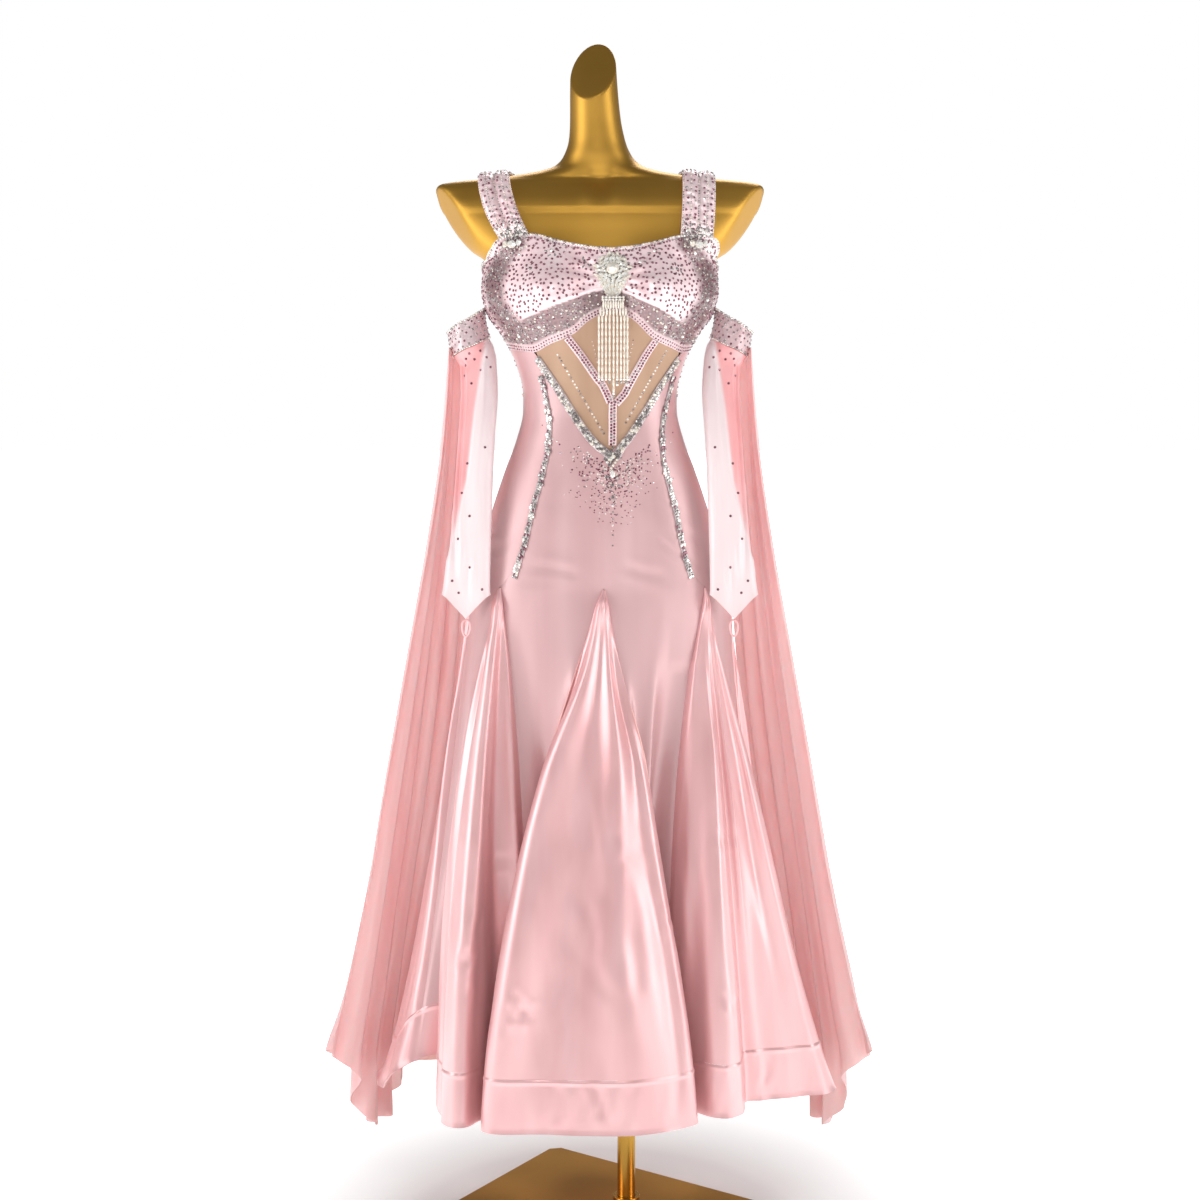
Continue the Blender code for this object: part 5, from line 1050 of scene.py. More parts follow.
def hem_bands():
    left, right = (seam_index(name)[0] for name in ("godet_side_l", "godet_side_r"))
    for name, first, last in (("hem_band_front", left, right), ("hem_band_back", right, left + COUNT)):
        c = columns_of(first, last, COLUMNS if "front" in name else COLUMNS - 2)[None, :]
        t = np.linspace(0.0, 1.0, BAND_ROWS)[:, None] ** 1.5
        drop = mix(band_drop(c, BAND - MEET), 1.0, t)
        points = skirt(tuck(c + 0 * drop, drop, first, last), drop)
        normal = skirt_normal(c + 0 * drop, drop)
        up = (1 - t) * BAND
        relief = 0.0010 * hump(BAND - up, 0.0034, 0.0022) + 0.0003 * soft(BAND - up, 0.0, 0.004)
        relief = relief + 0.0008 * hump(up, 0.0, 0.0030) + creases(points) + hem_waves(c + 0 * drop, drop)
        relief = relief + 0.0005 * ripple(c * 3.1 + t * 1.5, 31) * np.sin(np.pi * t) ** 0.5
        shell(name, points + normal * (CLOTH + relief)[..., None], ("satin", "lining"), thick=0.0014)


# ---- the bodice --------------------------------------------------------------------------
# rows and columns of each piece's grid
CUP_GRID, BACK_GRID, MESH_GRID, STRAP_GRID, TRIM_GRID = (74, 100), (64, 64), (44, 66), (150, 32), (70, 9)
SLEEVE_GRID, CUFF_GRID, FLOAT_GRID = (22, 80), (90, 72), (100, 140)


def round_grid(size):
    """Level down a tube and angle round it, for a grid that closes on itself."""
    rows, columns = size
    return np.meshgrid(np.linspace(0, 1, rows), np.linspace(0, 2 * math.pi, columns + 1)[:-1],
                       indexing="ij")


SWEETHEART = (
    # x, height of the draped cup's lower edge
    (-0.152, 1.226), (-0.121, 1.2445), (-0.096, 1.2597), (-0.07, 1.2711), (-0.044, 1.2813),
    (-0.019, 1.2901), (0.003, 1.2952), (0.016, 1.2955), (0.029, 1.2927), (0.053, 1.2825), (0.078, 1.2711),
    (0.103, 1.2559), (0.124, 1.2407), (0.152, 1.223),
)
KNOT = (0.0165, 1.3085)                   # where the cups' pleats run together
LACE_PATH = (
    # x, z down the outer edge of each cup, as drawn for the -X side
    (-0.112, 1.356), (-0.128, 1.335), (-0.14, 1.308), (-0.136, 1.28), (-0.121, 1.258), (-0.103, 1.24),
)


def cup_relief(points):
    """The drape's edge and pleats, the motifs' pads and the slack below the cups."""
    x, z = points[..., 0], points[..., 2]
    over = z - curve(SWEETHEART, x)
    front = soft(-points[..., 1], 0.02, 0.05)
    lift = 0.0012 * soft(over, -0.0004, 0.0018) * front
    lift = lift + 0.0008 * hump(over, 0.0032, 0.0022) * front
    dx, dz = x - KNOT[0], z - KNOT[1]
    r = np.hypot(dx, dz)
    turn = np.arctan2(dz, np.abs(dx))
    pleat = np.cos(turn * 15.0 + 0.6 * np.sin(turn * 3.0 + x * 20.0)) * (0.75 + 0.25 * np.sin(turn * 5.0))
    inside = soft(over, 0.0, 0.006)
    lift = lift + 0.0015 * pleat * inside * soft(r, 0.014, 0.028) * hump(r, 0.0, 0.062)
    for mx, mz, radius, high in MOTIFS:
        far = np.hypot(x - mx, z - mz) / radius
        lift = lift + np.where(points[..., 1] < 0.02, 0.5 * high * np.clip(1 - far ** 2, 0, 1), 0.0)
    slack = ripple(x * 75.0 + z * 50.0, 41) * ripple(z * 120.0 - x * 30.0, 42)
    return lift + 0.0005 * slack * (1 - soft(over, -0.004, 0.0))


def lace_share(points):
    """How much silver applique covers a point of the bust pieces, 0 to 1."""
    x, z = points[..., 0], points[..., 2]
    over = z - curve(SWEETHEART, x)
    share = np.where(over < 0, 0.92, 0.0)
    mirror = -np.abs(x - 0.002)
    for (xa, za), (xb, zb) in zip(LACE_PATH, LACE_PATH[1:]):
        run = np.array([xb - xa, zb - za])
        t = np.clip(((mirror - xa) * run[0] + (z - za) * run[1]) / (run @ run), 0, 1)
        gap = np.hypot(mirror - xa - t * run[0], z - za - t * run[1])
        share = np.maximum(share, 1 - soft(gap, 0.006, 0.020))
    return share


def bust_point(x, z, out=0.0):
    """Points and normals on the finished bust surface at these x and z."""
    angle = angle_at(x, z)
    points, normal = torso(angle, z), torso_normal(angle, z)
    return points + normal * (CLOTH + cup_relief(points) + out)[..., None], normal


def busts():
    rows = np.linspace(1.0, 0.0, CUP_GRID[0])[:, None]
    for name, a, b in (("bust_l", -SIDE_SEAM, CENTRE_FRONT), ("bust_r", CENTRE_FRONT, SIDE_SEAM)):
        angle = np.clip(np.linspace(a, b, CUP_GRID[1])[None, :], a + 0.08, b - 0.08)
        z = mix(underbust(angle) + MEET, neckline(angle), rows)
        angle = angle + 0 * z
        points, normal = torso(angle, z), torso_normal(angle, z)
        relief = cup_relief(points) + 0.0007 * hump(neckline(angle) - z, 0.0015, 0.0018)
        zone = lace_share(points) * (1 - 0.9 * (1 - soft(z - underbust(angle), 0.007, 0.012)))
        zone = np.where(z - curve(SWEETHEART, points[..., 0]) < 0, np.maximum(zone, 0.35), zone)
        shell(name, points + normal * (CLOTH + relief)[..., None], ("bust", "lining"), zone=zone)


def bodice_backs():
    away = np.linspace(0.06, 180.0 - SIDE_SEAM - 0.06, BACK_GRID[1])[None, :]
    top, low = curve(BACK_TOP, away), curve(BACK_WAIST, away)
    z = mix(low + MEET, top, np.linspace(1.0, 0.0, BACK_GRID[0])[:, None])
    for name, side in (("bodice_back_l", -1), ("bodice_back_r", 1)):
        angle = side * (180.0 - away) + 0 * z
        points, normal = torso(angle, z), torso_normal(angle, z)
        slack = ripple(z * 70.0 + away * 0.10, 51) * ripple(away * 0.35 + z * 20.0, 52)
        relief = 0.0008 * slack + creases(points) + 0.0007 * hump(top - z, 0.0015, 0.0018)
        dip = seam_dip(away * 0.0016, z, 53) * 0.8
        zone = np.maximum(1 - soft(top - z, 0.006, 0.022), 1 - soft(z - low, 0.002, 0.012)) * 0.8
        shell(name, points + normal * (CLOTH + relief + dip)[..., None], ("bust", "lining"), zone=zone)


def mesh_insert():
    angle = np.linspace(-42.0, 60.0, MESH_GRID[1])[None, :]
    top, low = underbust(angle) - 2 * MEET, insert_edge(angle) + 2 * MEET
    z = mix(low, top, np.linspace(1.0, 0.0, MESH_GRID[0])[:, None])
    angle = angle + 0 * z
    points = torso(angle, z)
    pull = 0.0004 * ripple(points[..., 0] * 60.0 + z * 35.0, 61)
    shell("mesh_insert", points + torso_normal(angle, z) * (0.0010 + pull)[..., None], ("mesh", "mesh"),
          thick=0.0005)


# ---- straps ------------------------------------------------------------------------------
STRAP_PROFILE = ((0.00, 0.0024), (0.12, 0.0070), (0.36, 0.0074), (0.50, 0.0034), (0.64, 0.0074),
                 (0.88, 0.0070), (1.00, 0.0024))


SHOULDER = (0.008, 1.360)                # y and z of the line that a strap turns about


def shoulder_point(x, turn):
    """Point on the torso over the shoulder at this x; turn runs 0 (front) to 180 (back)."""
    x, turn = np.broadcast_arrays(np.asarray(x, float), np.asarray(turn, float))
    dy, dz = -np.cos(np.radians(turn)), np.sin(np.radians(turn))
    low, high = np.full(x.shape, 0.01), np.full(x.shape, 0.14)
    for _ in range(34):
        middle = 0.5 * (low + high)
        y, z = SHOULDER[0] + dy * middle, SHOULDER[1] + dz * middle
        y0 = y - curve(TORSO, z, 5)
        depth = np.where(y0 < 0, curve(TORSO, z, 2), curve(TORSO, z, 3))
        power = 2.3 - 0.3 * np.clip((z - 1.30) / 0.12, 0, 1)
        wide = np.abs(x - curve(TORSO, z, 4)) / curve(TORSO, z, 1)
        out = wide ** power + (np.abs(y0) / depth) ** power > 1
        low, high = np.where(out, low, middle), np.where(out, middle, high)
    return np.stack([x, SHOULDER[0] + dy * low, SHOULDER[1] + dz * low], -1)


def strap_x(row, turn, across):
    _, f0, f1, s0, s1, b0, b1 = row
    t = turn / 90.0
    rise = np.sin(np.clip(t, 0, 1) * math.pi / 2)
    inner = np.where(t <= 1, mix(f0, s0, rise), mix(s0, b0, t - 1))
    outer = np.where(t <= 1, mix(f1, s1, rise), mix(s1, b1, t - 1))
    return mix(inner, outer, across)


def strap_feet(row, across, back):
    x = strap_x(row, np.full(across.shape, 180.0 if back else 0.0), across)
    low, high = np.zeros(across.shape), np.full(across.shape, 60.0)
    for _ in range(30):
        middle = 0.5 * (low + high)
        z = shoulder_point(x, 180.0 - middle if back else middle)[..., 2]
        if back:
            away = 180.0 - np.degrees(np.arcsin(np.minimum(1.0, np.abs(x) / curve(TORSO, z, 1))))
            edge = back_line(BACK_TOP, away)
        else:
            edge = neckline(angle_at(x, np.minimum(z, 1.40)))
        less = z < edge + 0.0010
        low, high = np.where(less, middle, low), np.where(less, high, middle)
    return 180.0 - high if back else high


FEET = {}
STRAP_LAP = 4.5                           # degrees over the shoulder; about 6 mm onto the bust


def strap_surface(row, level, across):
    """Outer face of a ruched strap at these shares along and across it."""
    shares = np.linspace(0.0, 1.0, 9)
    if row[0] not in FEET:
        FEET[row[0]] = [strap_feet(row, shares, back) for back in (False, True)]
    a, b = (np.interp(across, shares, feet) for feet in FEET[row[0]])
    turn = mix(a - STRAP_LAP, b + STRAP_LAP, level)
    x = strap_x(row, turn, across)
    here = shoulder_point(x, turn)
    sideways = shoulder_point(x + 0.002, turn) - shoulder_point(x - 0.002, turn)
    onward = shoulder_point(x, turn + 1.0) - shoulder_point(x, turn - 1.0)
    normal = unit(np.cross(sideways, onward))
    flip = (normal * (here - np.stack([x, 0 * x + SHOULDER[0], 0 * x + SHOULDER[1]], -1))).sum(-1) < 0
    normal = np.where(flip[..., None], -normal, normal)
    seed = 1.0 if row[0] == "l" else 4.0
    ruche = np.cos(level * 118.0 + 3.2 * np.sin(across * 5.0 + seed) + 1.6 * np.sin(level * 31.0 + seed))
    ruche = ruche * (0.6 + 0.4 * np.sin(level * 47.0 + across * 8.0))
    rolls = np.sin(np.pi * np.clip(np.where(across < 0.5, across, across - 0.5) * 2.0, 0, 1))
    high = curve(STRAP_PROFILE, across) * 0.95 + 0.0010 * ruche * (0.35 + 0.65 * rolls) - 0.0002
    high = np.maximum(high * soft(level, -0.06, 0.10) * soft(1 - level, -0.06, 0.10), 0.0022)
    return here + normal * (0.0009 + high)[..., None], normal


def straps():
    for row in STRAPS:
        level, across = np.meshgrid(*(np.linspace(0, 1, count) for count in STRAP_GRID), indexing="ij")
        points, _ = strap_surface(row, level, across)
        shell("strap_" + row[0], points, ("bust", "bust"), middle=((row[3] + row[4]) / 2, *SHOULDER),
              thick=0.0014, zone=0.12 + 0 * level)


# ---- trims -------------------------------------------------------------------------------
def ribbon_place(path, width, along_share, across, lift):
    """Points and normals of a strip that follows a path of (angle, z) on the torso."""
    path = np.asarray(path, float)
    total = run_of(path)
    fine = np.linspace(0.0, total[-1], 200)
    a, z = np.interp(fine, total, path[:, 0]), np.interp(fine, total, path[:, 1])
    kernel = np.hanning(15) / np.hanning(15).sum()
    a, z = (np.convolve(np.pad(v, 7, mode="reflect", reflect_type="odd"), kernel, "valid") for v in (a, z))
    line = torso(a, z)
    side = unit(np.cross(np.gradient(line, axis=0), torso_normal(a, z)))
    share = np.linspace(0, 1, 200)
    pick, reach = (np.stack([np.interp(along_share, share, v) for v in rows.T], -1) for rows in (line, side))
    place = pick + reach * (across * width / 2)[..., None]
    at = angle_at(place[..., 0], place[..., 2])
    points, normal = torso(at, place[..., 2]), torso_normal(at, place[..., 2])
    return points + normal * np.asarray(lift)[..., None], normal


def trim_paths():
    """Each trim's path as (angle, z) rows, and its width."""
    drop, band, princess = 0.0075, 0.0105, 0.0075
    point, low = INSERT_POINT

    def under_edge(angles):
        return [(a, float(insert_edge(a)) - drop) for a in angles]

    def from_bust(angle, *rest):
        return [(angle, float(underbust(angle)) - 0.0004), *rest]

    paths = {
        "v_trim_l": ([(-43.2, 1.217 - drop), *under_edge((-32.0, -20.0, -8.0, 1.0)),
                      (point + 1.0, low - drop)], 0.0110),
        "v_trim_r": ([(62.0, 1.217 - drop), *under_edge((48.0, 34.0, 22.0, 11.5)),
                      (point + 2.4, low - drop)], 0.0110),
        "insert_band_l": (from_bust(-16.4, (-7.5, 1.205), (0.8, 1.1756), (5.6, 1.1520)), band),
        "insert_band_r": (from_bust(31.8, (24.0, 1.197), (15.6, 1.1639), (9.0, 1.1500)), band),
        "insert_stem": ([(7.2, 1.1540), (6.9, 1.125), (6.2, 1.0960)], band),
    }
    for tag, side in (("l", -1), ("r", 1)):
        rows = [(float(seam_angle(z, side)), z) for z in np.arange(1.186, 0.936, -0.018)]
        rows.append((float(seam_angle(0.935, side)) - side * 0.5, 0.922))
        paths["princess_trim_" + tag] = (rows, princess)
    return paths


def trims(gems):
    for name, (path, width) in trim_paths().items():
        t, across = np.meshgrid(np.linspace(0, 1, TRIM_GRID[0]), np.linspace(-1, 1, TRIM_GRID[1]),
                                indexing="ij")
        high = 0.0022 if "insert" in name else 0.0026
        piping = 0.0008 * hump(np.abs(across), 0.86, 0.16)
        lift = high + CLOTH * 0.6 + piping - 0.0016 * soft(np.abs(across), 0.9, 1.0)
        points, _ = ribbon_place(path, width, t, across, lift)
        look = "bust" if "insert" in name else "lace"
        shell(name, points, (look, look), thick=0.0012, zone=0.1 + 0 * t)
        length = np.linalg.norm(np.diff(points[:, 5], axis=0), axis=1).sum()
        pitch = 0.0046 if "v_trim" in name else 0.0036 if "princess" in name else 0.0040
        count = int(length / pitch)
        share = (np.arange(count) + 0.5) / count

        def lane(share, across, out):
            return ribbon_place(path, width, share, across + 0 * share, high + out + 0 * share)
        if "v_trim" in name:
            # three uneven rows of silver stones with larger clear ones between
            for row, middle in enumerate((-0.48, 0.05, 0.55)):
                uneven = (np.arange(count) + 0.5 + 0.33 * row) / count + jitter(count, 0.1) / count
                for p, n in zip(*lane(np.clip(uneven, 0.004, 0.996), middle, 0.0012)):
                    kind = rng.choice(("silver", "silver", "crystal", "pearl"))
                    gems.stone(p, n, rng.choice((0.0016, 0.0020, 0.0027)), kind, 0.7, (0, 3), (0.8, 1.3))
        elif "princess" in name:
            kinds = ("silver", "silver", "silver", "crystal", "rose")
            for middle in (-0.42, 0.42):
                sway = middle + 0.45 * np.sin(share * length * 300.0) * np.sin(share * 40.0 + 2.0 * middle)
                for k, (p, n) in enumerate(zip(*lane(share, sway, 0.0010))):
                    radius = 0.0017 + 0.0006 * (k % 3 == 0)
                    gems.stone(p, n, radius, kinds, 0.6, math.copysign(0.5, middle), 1.45)
        else:
            for middle in (-0.38, 0.38):
                spots = lane(np.clip(share + 0.2 / count * np.sign(middle), 0, 1), middle, 0.0009)
                gems.stones(spots, 0.0, 0.0018, ROSE_AND_SILVER, 0.6, (0, 3))


# ---- stones and beads --------------------------------------------------------------------
def scatter(z0, z1, a0, a1, step, seed, wobble=0.22):
    """Rows of places on the torso about one step apart, as (angle, z) pairs."""
    pick = np.random.RandomState(seed)
    found = []
    for row, z in enumerate(np.arange(z0, z1, step * 0.9)):
        line = [(a, z) for a in np.linspace(a0, a1, 60)]
        at = along(line, step, (0.5 if row % 2 else 0.0) * step)
        reach = np.linalg.norm(torso(at[:, 0] + 1.0, z) - torso(at[:, 0], z), axis=-1)
        at[:, 0] += pick.uniform(-wobble, wobble, len(at)) * step / reach
        at[:, 1] += pick.uniform(-wobble, wobble, len(at)) * step
        found.append(at)
    return np.concatenate(found)


def bust_stones():
    """Dark stones on the cups, silver beads and small stones on the applique."""
    cups, lace = Gems(), Gems()

    def places(z0, z1, wide, step, seed, wobble, clear_top, clear_low, top):
        path = scatter(z0, z1, -wide, wide, step, seed, wobble)
        angle, z = path.T
        high = top(angle, torso(angle, z)[:, 0])
        path = path[(z < high - clear_top) & (z > underbust(angle) + clear_low)]
        points, normal = on_torso(path)
        return path, points, normal, CLOTH + cup_relief(points)

    def neck(angle, _):
        return neckline(angle)

    def drape(_, x):
        return curve(SWEETHEART, x)
    path, points, normal, lift = places(1.218, 1.372, 91.0, 0.0072, 71, 0.30, 0.0052, 0.0095, neck)
    over = path[:, 1] - curve(SWEETHEART, points[:, 0])
    far = np.hypot(points[:, 0] - KNOT[0], (path[:, 1] - 1.316) / 1.1)
    for p, n, h, up, share, gap in zip(points, normal, lift, over, lace_share(points), far):
        if gap >= 0.022 and up > 0.003 and rng.random() > share * 0.75:
            cups.stone(p + n * (h + 0.0001), n, (0.00165, 0.00205), "rose", 0.55, (0, 3))
    path, points, normal, lift = places(1.218, 1.372, 91.0, 0.0036, 72, 0.40, 0.0030, 0.0100, neck)
    angle, z = path.T
    over = z - curve(SWEETHEART, points[:, 0])
    cover = np.maximum(lace_share(points), 0.7 * (1 - soft(neckline(angle) - z, 0.004, 0.011)))
    patch = ripple(angle * 0.55 + z * 150.0, 73) * ripple(z * 330.0 - angle * 0.20, 74)
    for p, n, h, up, share, worn in zip(points, normal, lift, over, cover, patch):
        if abs(up) > 0.0012 and rng.random() < share * (0.55 + 0.5 * worn):
            kind = rng.choice(("silver", "silver", "silver", "rose", "rose", "rose", "pearl"))
            if rng.random() < 0.55:
                lace.bead(p + n * (h + 0.0003), (0.0007, 0.0011), kind, 6, 3)
            else:
                lace.stone(p + n * h, n, (0.0009, 0.0014), kind, 0.5, (0, 3), (1, 1.7))
    # single round stones on the band below the cups
    _, points, normal, lift = places(1.225, 1.300, 89.0, 0.0105, 75, 0.40, 0.003, 0.0110, drape)
    lace.beads((points, normal), lift + 0.0006, (0.0013, 0.0018), ("silver", "pearl", "crystal"), 8, 5)
    # the close rows on the band under the bust
    for row, up in enumerate((0.0024, 0.0062)):
        line = [(a, float(underbust(a)) + up) for a in np.arange(-90.0, 91.0, 1.5)]
        spots = on_torso(along(line, 0.0044, 0.0016 * row))
        cups.stones(spots, CLOTH + cup_relief(spots[0]), (0.0011, 0.0015), ROSE_AND_SILVER, 0.6, (0, 3))
    # the beaded row along the neckline, and a row of small stones inside it
    line = np.array([(a, float(neckline(a)) - 0.0016) for a in np.arange(-91.0, 91.5, 1.5)])
    for below, step, radius, kinds in ((0.0, 0.0038, 0.0017, ("crystal", "pearl", "silver")),
                                       (0.0042, 0.0042, 0.0014, ("silver", "rose"))):
        spots = on_torso(along(line - (0.0, below), step))
        lace.beads(spots, CLOTH + cup_relief(spots[0]) + 0.0006, radius, kinds, 7, 4)
    leaves(lace)
    cups.build("cup_stones")
    lace.build("bodice_beads")


def leaves(gems):
    """Small lens-shaped leaves and round knots of the applique, about each motif."""
    for mx, mz, radius, _ in MOTIFS:
        spins = 6 if radius > 0.0125 else 5
        start = rng.uniform(0, 1)
        turns = [2 * math.pi * (k + start) / spins for k in range(spins)]
        xs = np.array([mx] + [mx + math.sin(a) * radius * 0.55 for a in turns])
        zs = np.array([mz] + [mz + math.cos(a) * radius * 0.55 for a in turns])
        at, normal = bust_point(xs, zs)
        angle = angle_at(xs, zs)
        fits = (zs < neckline(angle) - 0.004) & (zs > underbust(angle) + 0.008) & (abs(angle) <= 90)
        for k, (p, n) in enumerate(zip(at, normal)):
            if fits[k] and k == 0:
                gems.stone(p, n, 0.0024, ("crystal", "silver"), 0.6, sides=8)
            elif fits[k]:
                gems.stone(p, n, 0.0013, ("silver", "rose"), 0.4, turns[k - 1] + 0.5, 2.2, sides=8)


DROPS = (
    # height, radius, kind and length of each stone of the drop motif
    (1.0591, 0.0038, "crystal", 1.5), (1.0448, 0.0025, "silver", 1.2), (1.0292, 0.0025, "silver", 1.2),
    (1.018, 0.0018, "crystal", 1.0), (1.0096, 0.0016, "silver", 1.0), (1.001, 0.0015, "silver", 1.0),
    (0.9926, 0.0016, "crystal", 1.0), (0.98, 0.0013, "silver", 1.0), (0.9664, 0.0013, "silver", 1.0),
)


DOTTED = (
    # x z of one end, x z of the other, radius of the stones
    (-0.0549, 1.2135, 0.0048, 1.1113, 0.0016), (0.0859, 1.2183, 0.0335, 1.1256, 0.0016),
    (-0.01, 1.23, 0.003, 1.178, 0.0009), (0.043, 1.232, 0.034, 1.19, 0.0009),
)


def front_stones():
    """The scatter below the mesh insert, the drop motif and the insert's dotted lines."""
    gems = Gems()
    low_x, low_z = 0.0165, INSERT_POINT[1]
    pick = random.Random(81)
    rows = []
    for _ in range(520):
        x = low_x + pick.gauss(0.0, 0.028)
        down = abs(pick.gauss(0.0, 0.040))
        z = low_z - 0.020 + 0.62 * abs(x - low_x) - down
        edge = 0.58 * abs(x - low_x) - 0.105
        if z < low_z + edge or z > low_z - 0.014 + 0.75 * abs(x - low_x):
            continue
        rows.append((x, z, pick.uniform(0.0008, 0.0013) * (1.15 - 0.5 * down / 0.1),
                     pick.choice(("rose", "rose", "silver", "crystal")), 1.0))
    rows += [(low_x, *drop) for drop in DROPS]
    for z, wide in ((1.0710, 3), (1.0500, 2), (1.0370, 2), (1.0230, 1)):
        rows += [(low_x + side * 0.0036 * k, z + 0.0030 * k, 0.0015, "silver", 1.0)
                 for side in (-1, 1) for k in range(1, wide + 1)]
    x, z = np.array([r[0] for r in rows]), np.array([r[1] for r in rows])
    angle = angle_at(x, z)
    points, normal = torso(angle, z), torso_normal(angle, z)
    relief = CLOTH + panel_wrinkles(points) + creases(points)
    for p, n, up, (_, _, radius, kind, tall) in zip(points, normal, relief, rows):
        gems.stone(p + n * up, n, radius, kind, 0.6, pick.uniform(0, 3) if tall == 1.0 else 0.0, tall)
    # the diamond where the two trims meet
    for k in range(17):
        u, v = (k % 4 - 1.5) * 0.0042, (k // 4 - 2.0) * 0.0040
        u, v = (u + v) * 0.62, (v - u) * 0.92
        angle = angle_at(0.0155 + u, 1.0795 + v)
        p, n = torso(angle, 1.0795 + v), torso_normal(angle, 1.0795 + v)
        gems.stone(p + n * 0.0034, n, 0.0021, ("silver", "crystal", "silver", "pearl")[k % 4], 0.6, 0.8)
    # dotted lines on the mesh, with beads down from the brooch either side of the fringe
    for x0, z0, x1, z1, radius in DOTTED:
        t = np.linspace(0, 1, int(math.hypot(x1 - x0, z1 - z0) / 0.0046))
        x, z = mix(x0, x1, t), mix(z0, z1, t)
        angle = angle_at(x, z)
        for p, n in zip(torso(angle, z), torso_normal(angle, z)):
            gems.stone(p + n * 0.0011, n, radius, pick.choice(("silver", "crystal")), 0.6, pick.uniform(0, 3))
    gems.build("front_stones")


def back_stones():
    gems = Gems()
    path = scatter(1.115, 1.370, 92.5, 267.5, 0.0080, 91)
    away, z = np.abs(180.0 - path[:, 0]), path[:, 1]
    inside = (z > curve(BACK_WAIST, away) + 0.003) & (z < curve(BACK_TOP, away) - 0.004)
    gems.stones(on_torso(path[inside]), CLOTH + 0.0006, (0.0013, 0.0016), ROSE_AND_SILVER, 0.6, (0, 3))
    for table, inwards, step, radius in ((BACK_TOP, -0.0016, 0.0038, 0.0017),
                                         (BACK_TOP, -0.0055, 0.0042, 0.0014),
                                         (BACK_WAIST, 0.0055, 0.0042, 0.0014)):
        line = [(180.0 - a, float(curve(table, abs(a))) + inwards) for a in np.arange(-87.5, 88.0, 1.5)]
        gems.beads(on_torso(along(line, step)), CLOTH + 0.0010, radius, ("silver", "pearl", "crystal"))
    gems.build("back_beads")


def strap_stones():
    gems = Gems()
    count, beads, cluster = 30, 64, 110
    for row in STRAPS:
        for k, across in enumerate((0.13, 0.36, 0.64, 0.87)):
            level = (np.arange(count) + 0.5 + 0.25 * (k % 2)) / count
            level = np.clip(level + jitter(count, 0.25) / count, 0.01, 0.99)
            spots = strap_surface(row, level, across + jitter(count, 0.04))
            gems.stones(spots, 0.0, (0.0017, 0.0021), ("rose", "rose", "rose", "silver"), 0.55, (0, 3))
        for across in (0.03, 0.25, 0.50, 0.75, 0.97):
            level = (np.arange(beads) + 0.5) / beads
            spots = strap_surface(row, level, across + 0 * level)
            gems.beads(spots, 0.0003, 0.0012, ("silver", "pearl"), 6, 3)
        # thicker silver clusters climb from the strap's foot
        level = np.array([min(0.28, abs(rng.gauss(0, 0.055))) for _ in range(cluster)])
        across = np.array([rng.uniform(0.04, 0.96) for _ in range(cluster)])
        gems.stones(strap_surface(row, level, across), 0.0, (0.0011, 0.0019), ("silver", "silver", "crystal"),
                    0.6, (0, 3), (1, 1.5))
    gems.build("strap_stones")


# ---- brooch, strap jewels and fringe -----------------------------------------------------
def front_y(x, z):
    angle = angle_at(x, z)
    return torso(angle, z)[..., 1]


def brooch():
    """Petals of drop stones in rings round one large opal, with a short tail above the fringe."""
    cx, cz = BROOCH
    gems = Gems()
    face = Vector((0.0, -1.0, 0.0))

    def spot(dx, dz, out):
        return Vector((cx + dx, float(front_y(cx + dx, cz + dz)) - CLOTH - 0.0012 - out, cz + dz))
    for k in range(110):
        a, far = 2.4 * k, 0.0225 * math.sqrt((k + 0.5) / 110)
        gems.stone(spot(math.sin(a) * far, math.cos(a) * far * 0.94, 0.0), face, 0.0025,
                   ("silver", "pearl", "crystal", "silver", "crystal")[k % 5], 0.5, a)
    for count, reach, long, wide, out, kind in ((22, 0.0205, 2.1, 0.0022, 0.0012, "pearl"),
                                                (17, 0.0150, 2.0, 0.0024, 0.0024, "crystal"),
                                                (15, 0.0104, 1.2, 0.0022, 0.0034, "crystal")):
        for k in range(count):
            a = 2 * math.pi * (k + out * 150) / count
            far = reach * (1.10 if k % 2 else 0.94) * (0.88 if math.cos(a) > 0.3 else 1.0)
            gems.stone(spot(math.sin(a) * far, math.cos(a) * far, out), face, wide, kind, 0.7, -a, long, 8)
    gems.bead(spot(0.0, 0.0, 0.0020), 0.0086, "pearl", 24, 14, 1.0, (0.0, -1.0, 0.0))
    gems.bead(spot(0.0, 0.0, 0.0070), 0.0052, "crystal", 20, 12, 1.0, (0.0, -1.0, 0.0))
    # the tail's rows of seven stones
    for dz, half, size in ((-0.0190, 0.0165, 0.0027), (-0.0226, 0.0150, 0.0027), (-0.0262, 0.0132, 0.0026),
                           (-0.0298, 0.0110, 0.0026), (-0.0334, 0.0082, 0.0025), (-0.0368, 0.0055, 0.0024)):
        for k in range(7):
            dx = half * (k / 3.0 - 1.0)
            kind = ("pearl", "crystal")[(k + int(dz * -2e3)) % 2]
            gems.stone(spot(dx, dz + abs(dx) * 0.35, 0.0018), face, size, kind, 0.7, dx * 60.0, 1.35)
    gems.build("brooch", ["brooch"], "beads")


